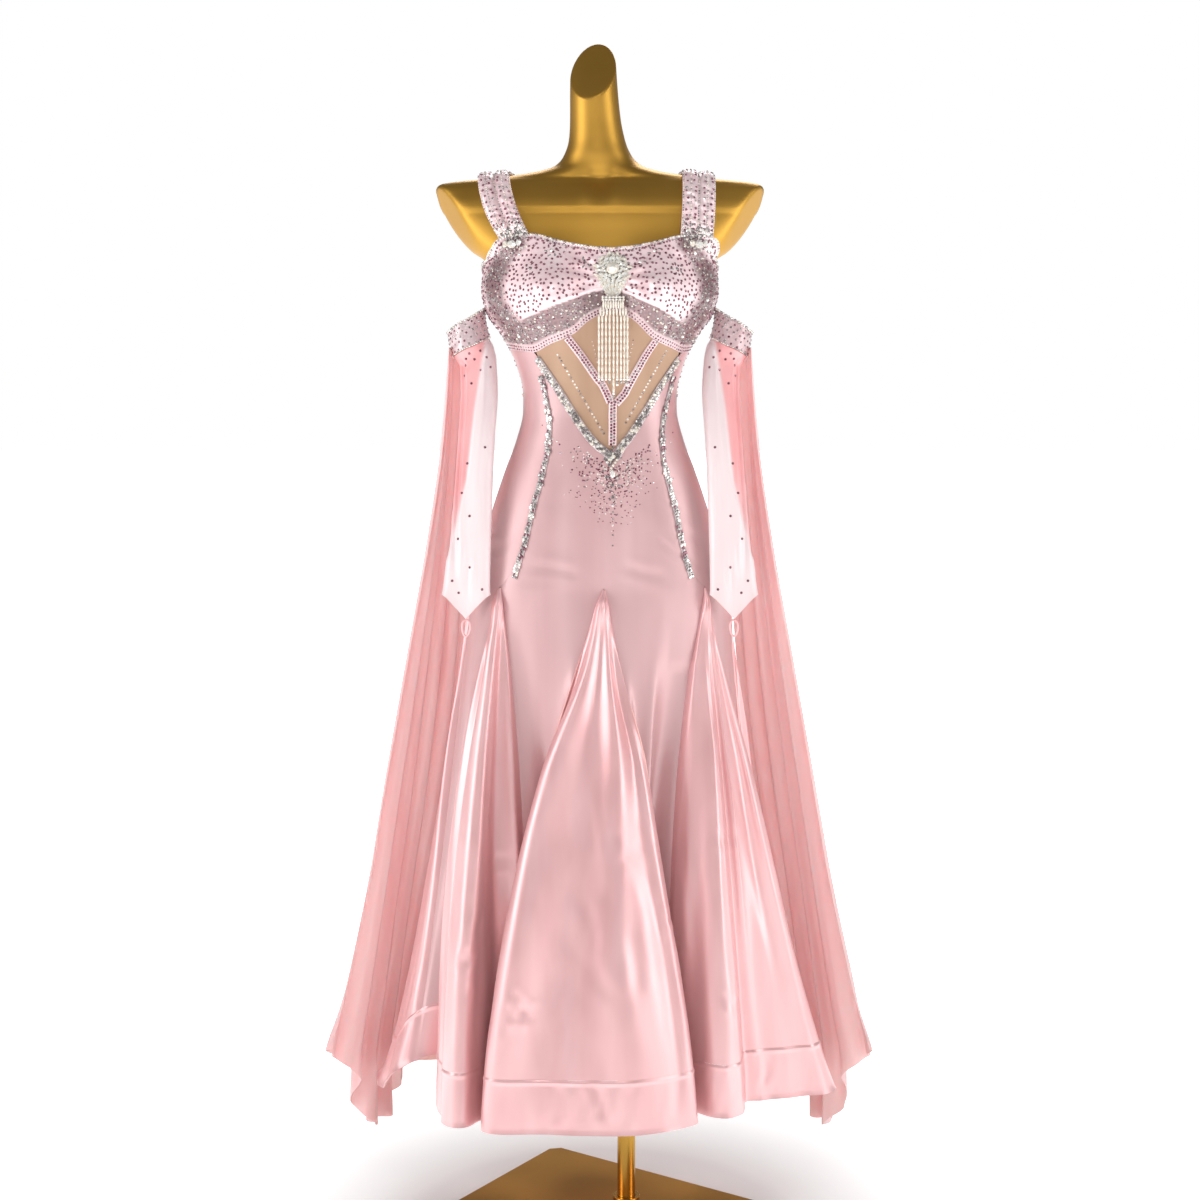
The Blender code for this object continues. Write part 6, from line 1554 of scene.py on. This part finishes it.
def strap_jewels():
    for tag, x, z in (("l", -0.1135, 1.3555), ("r", 0.1275, 1.3560)):
        gems = Gems()
        angle = angle_at(x, z)
        base, normal = torso(angle, z), torso_normal(angle, z)
        side = np.array([1.0, 0.0, 0.0])
        side = side - normal * side.dot(normal)
        side /= np.linalg.norm(side)
        up = np.cross(normal, -side)
        up = up if up[2] > 0 else -up

        def at(u, v, out):
            return base + side * u + up * v + normal * (CLOTH + 0.0020 + out)
        gems.stone(at(0, 0, 0.0010), normal, 0.0064, "crystal", 0.75, 0.3, 0.85, 10)
        gems.stone(at(-0.0092, 0.0010, 0.0), normal, 0.0042, "pearl", 0.8, 0.0, 1.2, 8)
        gems.stone(at(0.0092, 0.0015, 0.0), normal, 0.0040, "crystal", 0.8, 0.0, 1.2, 8)
        for k in range(16):
            a = 2 * math.pi * k / 16
            gems.stone(at(math.cos(a) * 0.0098, math.sin(a) * 0.0078, -0.0004), normal, 0.0015,
                       ("silver", "crystal", "silver")[k % 3], 0.7, a)
        for _ in range(26):
            u, v = rng.uniform(-0.020, 0.020), rng.uniform(-0.009, 0.006)
            if abs(u) > 0.0105 or abs(v) > 0.0085:
                p = base + side * u + up * v
                here = angle_at(p[0], p[2])
                p, n = torso(here, p[2]), torso_normal(here, p[2])
                gems.stone(p + n * (CLOTH + 0.0012), n, (0.0011, 0.0020), ("silver", "crystal", "pearl"),
                           0.7, (0, 3), (1, 1.6))
        gems.build("strap_jewel_" + tag, ["strap_jewel_" + tag], "beads")


def fringe():
    """Strands of ivory bugle beads with round crystal ends, on a beaded bar."""
    x0, x1, top, bottom = -0.0040, 0.0375, 1.2880, 1.2820
    y = min(float(front_y(x, z)) for x in (x0, x1) for z in (top, 1.262)) - 0.0024
    gems = Gems()
    for k in range(13):
        x = mix(x0 + 0.0075, x1 - 0.0075, k / 12)
        for z in (top - 0.0016, bottom + 0.0012):
            gems.bead((x, y - 0.0015, z), 0.0018, "silver" if k % 2 else "pearl", 8, 5)
    for share, length in FRINGE:
        x = mix(x0 + 0.001, x1 - 0.001, share)
        z, end = bottom + 0.001, 0.5 * (top + bottom) - length
        row = 0
        while z > end + 0.002:
            if z < end + 0.011:
                radius, tall, kind = 0.0019, 1.0, "crystal" if row % 2 else "silver"
            else:
                radius, tall, kind = 0.00155, 3.9, "pearl"
            spread = 0.66 + 0.34 * float(soft(bottom - z, -0.004, 0.016))
            place = (mix(0.5 * (x0 + x1), x, spread), y - 0.0015, z - radius * tall)
            gems.bead(place, radius, kind, 8, 5, tall)
            z -= radius * tall * (1.5 if kind == "pearl" else 1.8)
            row += 1
    gems.build("fringe", ["fringe"], "beads")


# ---- sleeves -----------------------------------------------------------------------------
def table_row(rows, place):
    """All of a numbered table's columns at a fractional row."""
    return [curve(rows, place, column) for column in range(1, len(rows[0]))]


def ring_point(x0, x1, y, half, a, z0, z1):
    """a = 0 at the inner edge, then round by the front."""
    c = np.cos(a)
    x = mix(x0, x1, 0.5 - 0.5 * np.sign(c) * np.abs(c) ** 0.85)
    return np.stack([x, y - half * np.sin(a), mix(z0, z1, 0.5 - 0.5 * c)], -1)


def band_ring(level, a):
    zi, zo, x0, x1, y, half = table_row(CUFF_BAND, np.clip(level, 0, 1) * (len(CUFF_BAND) - 1))
    return ring_point(x0, x1, y, half, a, zi, zo)


def gauntlet_ring(level, a):
    z, x0, x1, y, half = table_row(GAUNTLET, np.clip(level, 0, 1) * (len(GAUNTLET) - 1))
    spot = ring_point(x0, x1, y, half, a, z, z)
    slant = np.clip((0.25 - level) / 0.25, 0, 1) * -0.024 * (0.5 - 0.5 * np.cos(a))
    point = np.clip((level - 0.8) / 0.2, 0, 1) * CUFF_POINT * (1 - np.abs(np.cos(a)) ** 0.85)
    spot[..., 2] += slant - point
    return spot


def ring_normal(ring, level, a):
    along_ring = ring(level, a + 0.02) - ring(level, a - 0.02)
    up = ring(np.maximum(level - 0.01, 0), a) - ring(np.minimum(level + 0.01, 1), a)
    normal = unit(np.cross(along_ring, up))
    middle = (ring(level, 0 * a) + ring(level, 0 * a + math.pi)) * 0.5
    flip = (normal * (ring(level, a) - middle)).sum(-1) < 0
    return np.where(flip[..., None], -normal, normal)


def mirrored(points, side):
    return points * np.array([1.0 if side < 0 else -1.0, 1.0, 1.0])


def band_surface(level, a, seed=0.0):
    slack = ripple(level * 9.0 + a * 2.0 + seed, 101) * ripple(a * 3.0 - level * 4.0 + seed, 102)
    out = 0.0018 + 0.0012 * slack * np.sin(np.pi * np.clip(level, 0, 1)) ** 0.5
    return band_ring(level, a) + ring_normal(band_ring, level, a) * out[..., None]


def wedge_side(points, low, high):
    """0 on the pale wedge of a gauntlet, 1 on its outer side, where the coral painted shade goes."""
    return soft(np.abs(points[..., 0]) - np.interp(points[..., 2], *GAUNTLET_SHADE_EDGE), low, high)


def gauntlet_surface(level, a, seed=0.0):
    """Satin gauntlet with a long soft fold down its outer side and slack at the cuff."""
    fold_line = 2.35 + 0.25 * np.sin(level * 4.0)
    trough = -0.0024 * hump(a, fold_line, 0.17) + 0.0014 * hump(a, fold_line - 0.40, 0.22)
    trough = trough + 0.0010 * hump(a, fold_line + 0.36, 0.20)
    trough = trough * soft(level, 0.02, 0.16) * (1 - soft(level, 0.80, 0.97))
    wrinkle = 0.0006 * ripple(level * 22.0 + a * 3.0 + seed, 111) * ripple(a * 4.0 - level * 7.0, 112)
    cuff = 0.0
    for high, turn, wide, down, tall in ((0.0026, 1.35, 0.13, 0.90, 0.07), (0.0024, 1.85, 0.12, 0.85, 0.06),
                                         (0.0016, 1.15 + 0.5 * level, 0.10, 0.45, 0.30),
                                         (-0.0012, 1.60, 0.10, 0.88, 0.06)):
        cuff = cuff + high * hump(a, turn, wide) * hump(level, down, tall)
    piping = 0.0009 * hump(1 - level, 0.0, 0.012)
    ring = gauntlet_ring(level, a)
    wedge = (1 - wedge_side(ring, -0.0020, 0.0020)) * soft(level, 0.0, 0.06)
    wrinkle = wrinkle * np.sin(np.pi * np.clip(level, 0, 1)) ** 0.4
    out = 0.0012 + trough + wrinkle + cuff + piping + 0.0026 * wedge
    return ring + ring_normal(gauntlet_ring, level, a) * out[..., None]


# heights and |x| from which a gauntlet's outer side takes the coral painted shade of its fold
GAUNTLET_SHADE_EDGE = ((0.930, 0.949, 1.050, 1.144, 1.269), (0.215, 0.198, 0.174, 0.164, 0.146))


# level down the gauntlet and angle round it of each single stone
GAUNTLET_STONES = (
    (0.06, 1.2), (0.09, 2.0), (0.13, 1.0), (0.16, 2.2), (0.21, 1.4), (0.24, 2.4), (0.12, 1.6), (0.20, 0.8),
    (0.05, 1.7), (0.28, 1.9), (0.52, 1.0), (0.57, 1.9), (0.66, 2.1), (0.73, 1.6), (0.80, 2.1), (0.87, 1.5),
    (0.93, 2.3), (0.96, 0.8), (0.95, 1.9), (0.35, 4.2), (0.55, 4.9), (0.75, 4.4), (0.9, 4.9), (0.15, 4.6),
)


def sleeves():
    for tag, side in (("l", -1), ("r", 1)):
        gems = Gems()
        seed = 0.0 if side < 0 else 2.3

        def spots(surface, ring, level, turn):
            level = level + 0 * turn
            return mirrored(surface(level, turn, seed), side), mirrored(ring_normal(ring, level, turn), side)
        level, a = round_grid(SLEEVE_GRID)
        points = mirrored(band_surface(level, a, seed), side)
        shell("sleeve_band_" + tag, points, ("bust", "lining"), wrap=True,
              middle=(side * 0.176, 0.003), thick=0.0012, zone=0.45 + 0 * level)
        rows, count = 6, 22
        for row in range(rows):
            turn = (np.arange(count) + 0.5 * (row % 2)) / count * 2 * math.pi
            places = spots(band_surface, band_ring, (row + 0.5) / rows + jitter(count, 0.03), turn)
            gems.stones(places, 0.0, (0.0014, 0.0018), ("rose", "silver", "silver"), 0.6, (0, 3))
        for edge, radius, count in ((0.02, 0.0017, 44), (0.98, 0.0012, 60)):
            places = spots(band_surface, band_ring, edge, np.arange(count) / count * 2 * math.pi)
            gems.beads(places, 0.0004, radius, ("silver", "pearl", "crystal"))
        level, a = round_grid(CUFF_GRID)
        points = mirrored(gauntlet_surface(level, a, seed), side)
        # painted shade: coral on the gauntlet's outer side, stronger lower down
        tint = wedge_side(points, -0.001, 0.005) * (0.35 + 0.65 * soft(points[..., 2], 0.93, 1.06))
        shell("gauntlet_" + tag, points, ("pale", "lining"), wrap=True, middle=(side * 0.168, -0.045),
              thick=0.0008, zone=tint)
        level, turn = np.array(GAUNTLET_STONES).T
        gems.stones(spots(gauntlet_surface, gauntlet_ring, level, turn), 0.0, 0.0019, "rose", 0.6, (0, 3))
        gems.build("sleeve_stones_" + tag)
        low = gauntlet_ring(np.array(1.0), np.array(math.pi / 2))
        t = np.linspace(0, 2 * math.pi, 41)[:-1]
        narrow = 1.0 + 0.16 * np.cos(t)
        loop = np.stack([side * abs(low[0]) + 0.0052 * narrow * np.sin(t), 0 * t + low[1] - 0.0004,
                         low[2] - 0.0118 + 0.0108 * np.cos(t)], -1)
        tube("finger_loop_" + tag, loop, 0.0014, "satin")


def tube(name, path, radius, look):
    """Closed round cord along a closed path that lies in a plane of constant y."""
    ahead = unit(np.roll(path, -1, 0) - np.roll(path, 1, 0))
    flat = np.array([0.0, -1.0, 0.0])
    side = unit(np.cross(ahead, flat))
    a = np.linspace(0, 2 * math.pi, 13)[None, :-1, None]
    grid = path[:, None] + radius * (side[:, None] * np.cos(a) + flat * np.sin(a))
    rows, columns = grid.shape[:2]
    index = np.arange(rows * columns).reshape(rows, columns)
    below = np.roll(index, -1, 0)
    faces = np.stack([index, np.roll(index, -1, 1), np.roll(below, -1, 1), below], -1)
    mesh = mesh_of(name, grid.reshape(-1, 3).tolist(), faces.reshape(-1, 4).tolist())
    bm = bmesh.new()
    bm.from_mesh(mesh)
    bmesh.ops.recalc_face_normals(bm, faces=bm.faces)
    bm.to_mesh(mesh)
    bm.free()
    mesh.shade_smooth()
    mesh.materials.append(LOOK[look])
    return finish_piece(linked(name, mesh), [name])


# ---- floats ------------------------------------------------------------------------------
def float_point(level, share):
    hem = curve(FLOAT_HEM, share, 1)
    z = mix(FLOAT[0][0], hem, level)
    ox, oy, ix, iy = (curve(FLOAT, z, k) for k in (1, 2, 3, 4))
    run = np.stack([ix - ox, iy - oy, 0 * z], -1)
    length = np.linalg.norm(run, axis=-1)
    away = np.stack([-run[..., 1], run[..., 0], 0 * z], -1) / length[..., None]
    bow = np.sin(np.pi * share) * 0.30 * length * (1.0 - level) ** 2
    wave = curve(FLOAT, z, 5) * np.sin(2 * math.pi * FLOAT_FOLDS * share)
    flare = curve(FLOAT_HEM, share, 2) * np.maximum(0.0, (level - 0.72) / 0.28) ** 1.6
    spot = np.stack([mix(ox, ix, share), mix(oy, iy, share), z], -1) + away * (bow + wave)[..., None]
    return spot - run / length[..., None] * flare[..., None]


def floats():
    rows = np.linspace(0, 1, FLOAT_GRID[0]) ** 1.05
    level, share = np.meshgrid(rows, np.linspace(0, 1, FLOAT_GRID[1]), indexing="ij")
    here = float_point(level, share)
    along_row = float_point(level, share + 0.004) - float_point(level, share - 0.004)
    up = float_point(np.maximum(0, level - 0.01), share) - float_point(level + 0.01, share)
    normal = unit(np.cross(up, along_row))
    deep = curve(FLOAT, here[..., 2], 5)
    edge = hump(1 - level, 0.0, 0.06)
    roll = 0.0005 * np.maximum(hump(share, 0.0, 0.006), hump(1 - share, 0.0, 0.006))
    for tag, side in (("l", -1), ("r", 1)):
        seed = 0.0 if side < 0 else 1.9
        fine = 2 * math.pi * (share * 11.0 + 0.5 * np.sin(share * 9.0 + seed)) + 1.2 * level
        fine = 0.06 * deep * np.sin(fine)
        drift = 0.10 * deep * ripple(share * 21.0 + level * 3.0 + seed, 121)
        frill = 0.0028 * edge * np.sin(2 * math.pi * (share * 9.0 + 0.3 * np.sin(share * 14.0)) + seed)
        frill = frill + 0.0050 * edge * hump(share, 0.0, 0.14) * np.sin(2 * math.pi * share * 16.0)
        out = 0.0010 + (fine + drift) * soft(level, 0.0, 0.08) + frill
        points = mirrored(here + normal * (out + roll)[..., None], side)
        shell("float_" + tag, points, ("chiffon", "chiffon"), middle=(side * 0.05, -0.2), thick=0.0006)


# ---- dress form and stand ----------------------------------------------------------------
NECK_START, NECK_RIM, ARM_RIM = 1.440, 0.0030, 0.0032


# sides of the form, its rows up to the neck and its rows up the neck
FORM_SIDES, FORM_ROWS, NECK_ROWS = 200, 124, 50


def form():
    """The form's own smooth body, with rounded caps at the arms and a slanted one at the neck."""
    fine = np.linspace(FORM_BOTTOM, NECK_START, 2400)
    wide, deep = curve(TORSO, fine, 1), curve(TORSO, fine, 2)
    travel = np.concatenate([[0], np.cumsum(np.hypot(np.diff(fine), np.hypot(np.diff(wide), np.diff(deep))))])
    heights = np.interp(np.linspace(0, travel[-1], FORM_ROWS), travel, fine)
    angle = 360.0 * np.arange(FORM_SIDES) / FORM_SIDES
    angle = np.where(angle > 180, angle - 360, angle)[None, :]
    point, across = (np.array(v) for v in NECK_CUT)
    low, high = np.full(angle.shape, NECK_START), np.full(angle.shape, 1.649)
    for _ in range(30):
        middle = 0.5 * (low + high)
        out = ((form_wall(angle, middle) - point) * across).sum(-1) > 0
        low, high = np.where(out, low, middle), np.where(out, middle, high)
    level = np.linspace(0, 1, NECK_ROWS + 1)[1:, None]
    z = np.concatenate([heights[:, None] + 0 * angle, mix(NECK_START, low - NECK_RIM, level)])
    rings = [form_wall(angle + 0 * z, z)]
    rim = form_wall(angle, low)
    inwards = rim.mean(1, keepdims=True) - rim
    reach = np.linalg.norm(inwards, axis=-1, keepdims=True)
    for a in np.radians((22.5, 45.0, 67.5, 90.0)):
        down = np.array([0, 0, NECK_RIM * (1 - math.sin(a))])
        rings.append(rim - down + inwards / reach * NECK_RIM * (1 - math.cos(a)))
    for share in (0.35, 0.65, 0.9):
        rings.append(rim + inwards * share)
    spot = np.concatenate(rings)
    for side in (1.0, -1.0):
        (px, py, pz), (nx, ny, nz) = ARM_CUT
        out = (spot - np.array([side * px, py, pz])) @ np.array([side * nx, ny, nz])
        near = (spot[..., 2] > 1.345) & (side * spot[..., 0] > 0.06)
        spot[..., 0] -= np.where(near, side * ARM_RIM * np.logaddexp(0.0, out / ARM_RIM) / nx, 0.0)
    spot[..., 1] += throat(spot)
    bm = bmesh.new()
    grid = [[bm.verts.new(p) for p in row] for row in spot.tolist()]
    for low, high in zip(grid, grid[1:]):
        for k in range(FORM_SIDES):
            n = (k + 1) % FORM_SIDES
            bm.faces.new((low[k], low[n], high[n], high[k]))
    bm.faces.new(grid[0][::-1])
    bm.faces.new(grid[-1])
    bmesh.ops.recalc_face_normals(bm, faces=bm.faces)
    solid("dress_form", bm, "gold", 0.0010, 60.0)


def form_wall(angle, z):
    """The form's surface: a little inside the dress, drawn in more at its lower rim."""
    spot = torso(angle, z, 0.85)
    flat = torso(angle + 1.0, z) - torso(angle - 1.0, z)
    inwards = unit(np.stack([-flat[..., 1], flat[..., 0], 0 * flat[..., 0]], -1))
    z = spot[..., 2]
    centre = np.stack([curve(TORSO, z, 4), curve(TORSO, z, 5), z], -1)
    flip = (inwards * (centre - spot)).sum(-1) < 0
    inwards = np.where(flip[..., None], -inwards, inwards)
    inset = np.where(z < 1.40, 0.0030, 0.0013) + 0.004 * np.clip((0.874 - z) / 0.006, 0, 1)
    return spot + inwards * inset[..., None]


def throat(spot):
    """The low hollow between the two low ridges at the base of the neck, as cast."""
    x, y, z = spot[..., 0], spot[..., 1], spot[..., 2]
    front = soft(-y, 0.0, 0.02)
    hollow = 0.0034 * hump(x, 0.0, 0.011) * hump(z, 1.437, 0.016)
    ridge = 0.0026 * (hump(x, 0.020, 0.010) + hump(x, -0.020, 0.010)) * hump(z, 1.430, 0.020)
    return (hollow - ridge) * front


def solid(name, bm, look, bevel, sharp):
    """Closed hard piece with softened rims."""
    mesh = bpy.data.meshes.new(name)
    bm.to_mesh(mesh)
    bm.free()
    mesh.shade_smooth()
    mesh.set_sharp_from_angle(angle=math.radians(sharp))
    mesh.materials.append(LOOK[look])
    made = linked(name, mesh)
    rim = made.modifiers.new("rim", "BEVEL")
    rim.width, rim.segments, rim.limit_method, rim.angle_limit = bevel, 4, "ANGLE", math.radians(sharp)
    rim.harden_normals = True
    return finish_piece(made, [name])


def turned(name, profile, look, ring, bevel=0.0006, steps=72):
    """Solid of revolution about the pole from (radius, z) rows; a ring closes on itself."""
    bm = bmesh.new()
    rows = []
    for radius, z in profile:
        turns = [2 * math.pi * k / steps for k in range(steps if radius > 1e-6 else 1)]
        rows.append([bm.verts.new((POLE_XY[0] + radius * math.cos(a), POLE_XY[1] + radius * math.sin(a), z))
                     for a in turns])
    for a, b in zip(rows, rows[1:] + (rows[:1] if ring else [])):
        for k in range(steps):
            n = (k + 1) % steps
            around = [a[k % len(a)], a[n % len(a)], b[n % len(b)], b[k % len(b)]]
            corners = list(dict.fromkeys(around))
            if len(corners) > 2:
                bm.faces.new(corners)
    bmesh.ops.recalc_face_normals(bm, faces=bm.faces)
    solid(name, bm, look, bevel, 30.0)


def stand():
    a, b, clip = PLATE_SIDES[0] / 2, PLATE_SIDES[1] / 2, 0.013
    ca, sa = math.cos(PLATE_TURN), math.sin(PLATE_TURN)
    outline = [(b - clip, -a), (b, -a + clip), (b, a - clip), (b - clip, a),
               (-b + clip, a), (-b, a - clip), (-b, -a + clip), (-b + clip, -a)]
    bm = bmesh.new()
    rings = [[bm.verts.new((POLE_XY[0] + u * ca - v * sa, u * sa + v * ca, z)) for u, v in outline]
             for z in (0.0, PLATE)]
    bm.faces.new(rings[0][::-1])
    bm.faces.new(rings[1])
    for k in range(8):
        n = (k + 1) % 8
        bm.faces.new((rings[0][k], rings[0][n], rings[1][n], rings[1][k]))
    solid("base_plate", bm, "plate", 0.0009, 30.0)
    gap, z0, top = 0.0003, PLATE + 0.0003, FORM_BOTTOM - 0.0003
    bore = POLE_RADIUS + gap
    turned("pole_foot", [(bore, z0), (0.038, z0), (0.037, z0 + 0.006), (0.019, z0 + 0.008),
                         (0.0185, z0 + 0.031), (bore, z0 + 0.031)], "pole", True)
    turned("pole", [(0.0, top), (POLE_RADIUS, top), (POLE_RADIUS, z0), (0.0, z0)], "pole", False)
    turned("form_socket", [(bore, top), (bore, top - 0.034), (0.0185, top - 0.034),
                           (0.0185, top - 0.008), (0.036, top - 0.005), (0.036, top)], "pole", True)


# ---- stage -------------------------------------------------------------------------------
def lamp(name, place, aim, size, power):
    light = bpy.data.lights.new(name, "AREA")
    light.shape, light.size, light.size_y = "RECTANGLE", size[0], size[1]
    light.energy = power
    made = linked(name, light)
    made.location = place
    made.rotation_euler = (Vector(aim) - Vector(place)).to_track_quat("-Z", "Y").to_euler()


ROOM_LIGHT = 0.26
LAMPS = (
    # name, place, aim, width and height, watts
    ("left", (-2.8, -1.25, 1.6), (0.0, 0.0, 0.9), (1.5, 2.2), 38.0),
    ("right", (2.9, -1.15, 1.5), (0.0, 0.0, 0.9), (1.3, 2.2), 30.0),
    ("front", (0.0, -2.9, 3.1), (0.0, 0.0, 0.6), (1.6, 0.8), 19.0),
    ("back", (0.4, 2.2, 3.2), (0.0, 0.0, 0.9), (2.2, 1.2), 38.0),
)


def stage():
    mesh = mesh_of("floor", [(-30, -30, 0), (30, -30, 0), (30, 30, 0), (-30, 30, 0)], [(0, 1, 2, 3)])
    floor = linked("floor", mesh)
    made, tree, shader = nodes_of("glowing_floor", {
        "Base Color": (0.80, 0.80, 0.80, 1.0), "Roughness": 0.9, "Specular IOR Level": 0.1,
        "Emission Color": (1.0, 1.0, 1.0, 1.0)})
    # painted light: the floor glows, faintly near the stand and strongly farther out, so the far floor stays
    # white and a darker pool lies about the stand
    place = add(tree, "ShaderNodeTexCoord").outputs["Object"]
    far = add(tree, "ShaderNodeVectorMath", {0: place}, operation="LENGTH").outputs["Value"]
    painted_glow = add(tree, "ShaderNodeMapRange", {"Value": far, "From Min": 0.26, "From Max": 0.82,
                                            "To Min": 0.14, "To Max": 1.35})
    tree.links.new(painted_glow.outputs["Result"], shader.inputs["Emission Strength"])
    mesh.materials.append(made)
    world = bpy.data.worlds.new("studio")
    world.use_nodes = True
    tree = world.node_tree
    shade = tree.nodes["Background"]
    shade.inputs["Color"].default_value = (1.0, 1.0, 1.0, 1.0)
    seen = add(tree, "ShaderNodeLightPath").outputs["Is Camera Ray"]
    level = add(tree, "ShaderNodeMapRange", {"Value": seen, "To Min": ROOM_LIGHT, "To Max": 1.0})
    tree.links.new(level.outputs["Result"], shade.inputs["Strength"])
    scene = bpy.context.scene
    scene.world = world
    scene.view_settings.view_transform = "Standard"
    for row in LAMPS:
        lamp(*row)
    camera = bpy.data.cameras.new("camera")
    camera.lens, camera.sensor_width = 57.78, 36.0
    view = linked("camera", camera)
    view.location = (0.0, -2.6, 1.18)
    view.rotation_euler = (math.radians(90.0 - 6.5), 0.0, 0.0)
    scene.camera = view


# ---- making it ---------------------------------------------------------------------------


def main():
    stage()
    form()
    stand()
    panels()
    godets()
    hem_bands()
    busts()
    bodice_backs()
    mesh_insert()
    straps()
    gems = Gems()
    trims(gems)
    gems.build("trim_stones")
    bust_stones()
    front_stones()
    back_stones()
    strap_stones()
    brooch()
    strap_jewels()
    fringe()
    sleeves()
    floats()


main()
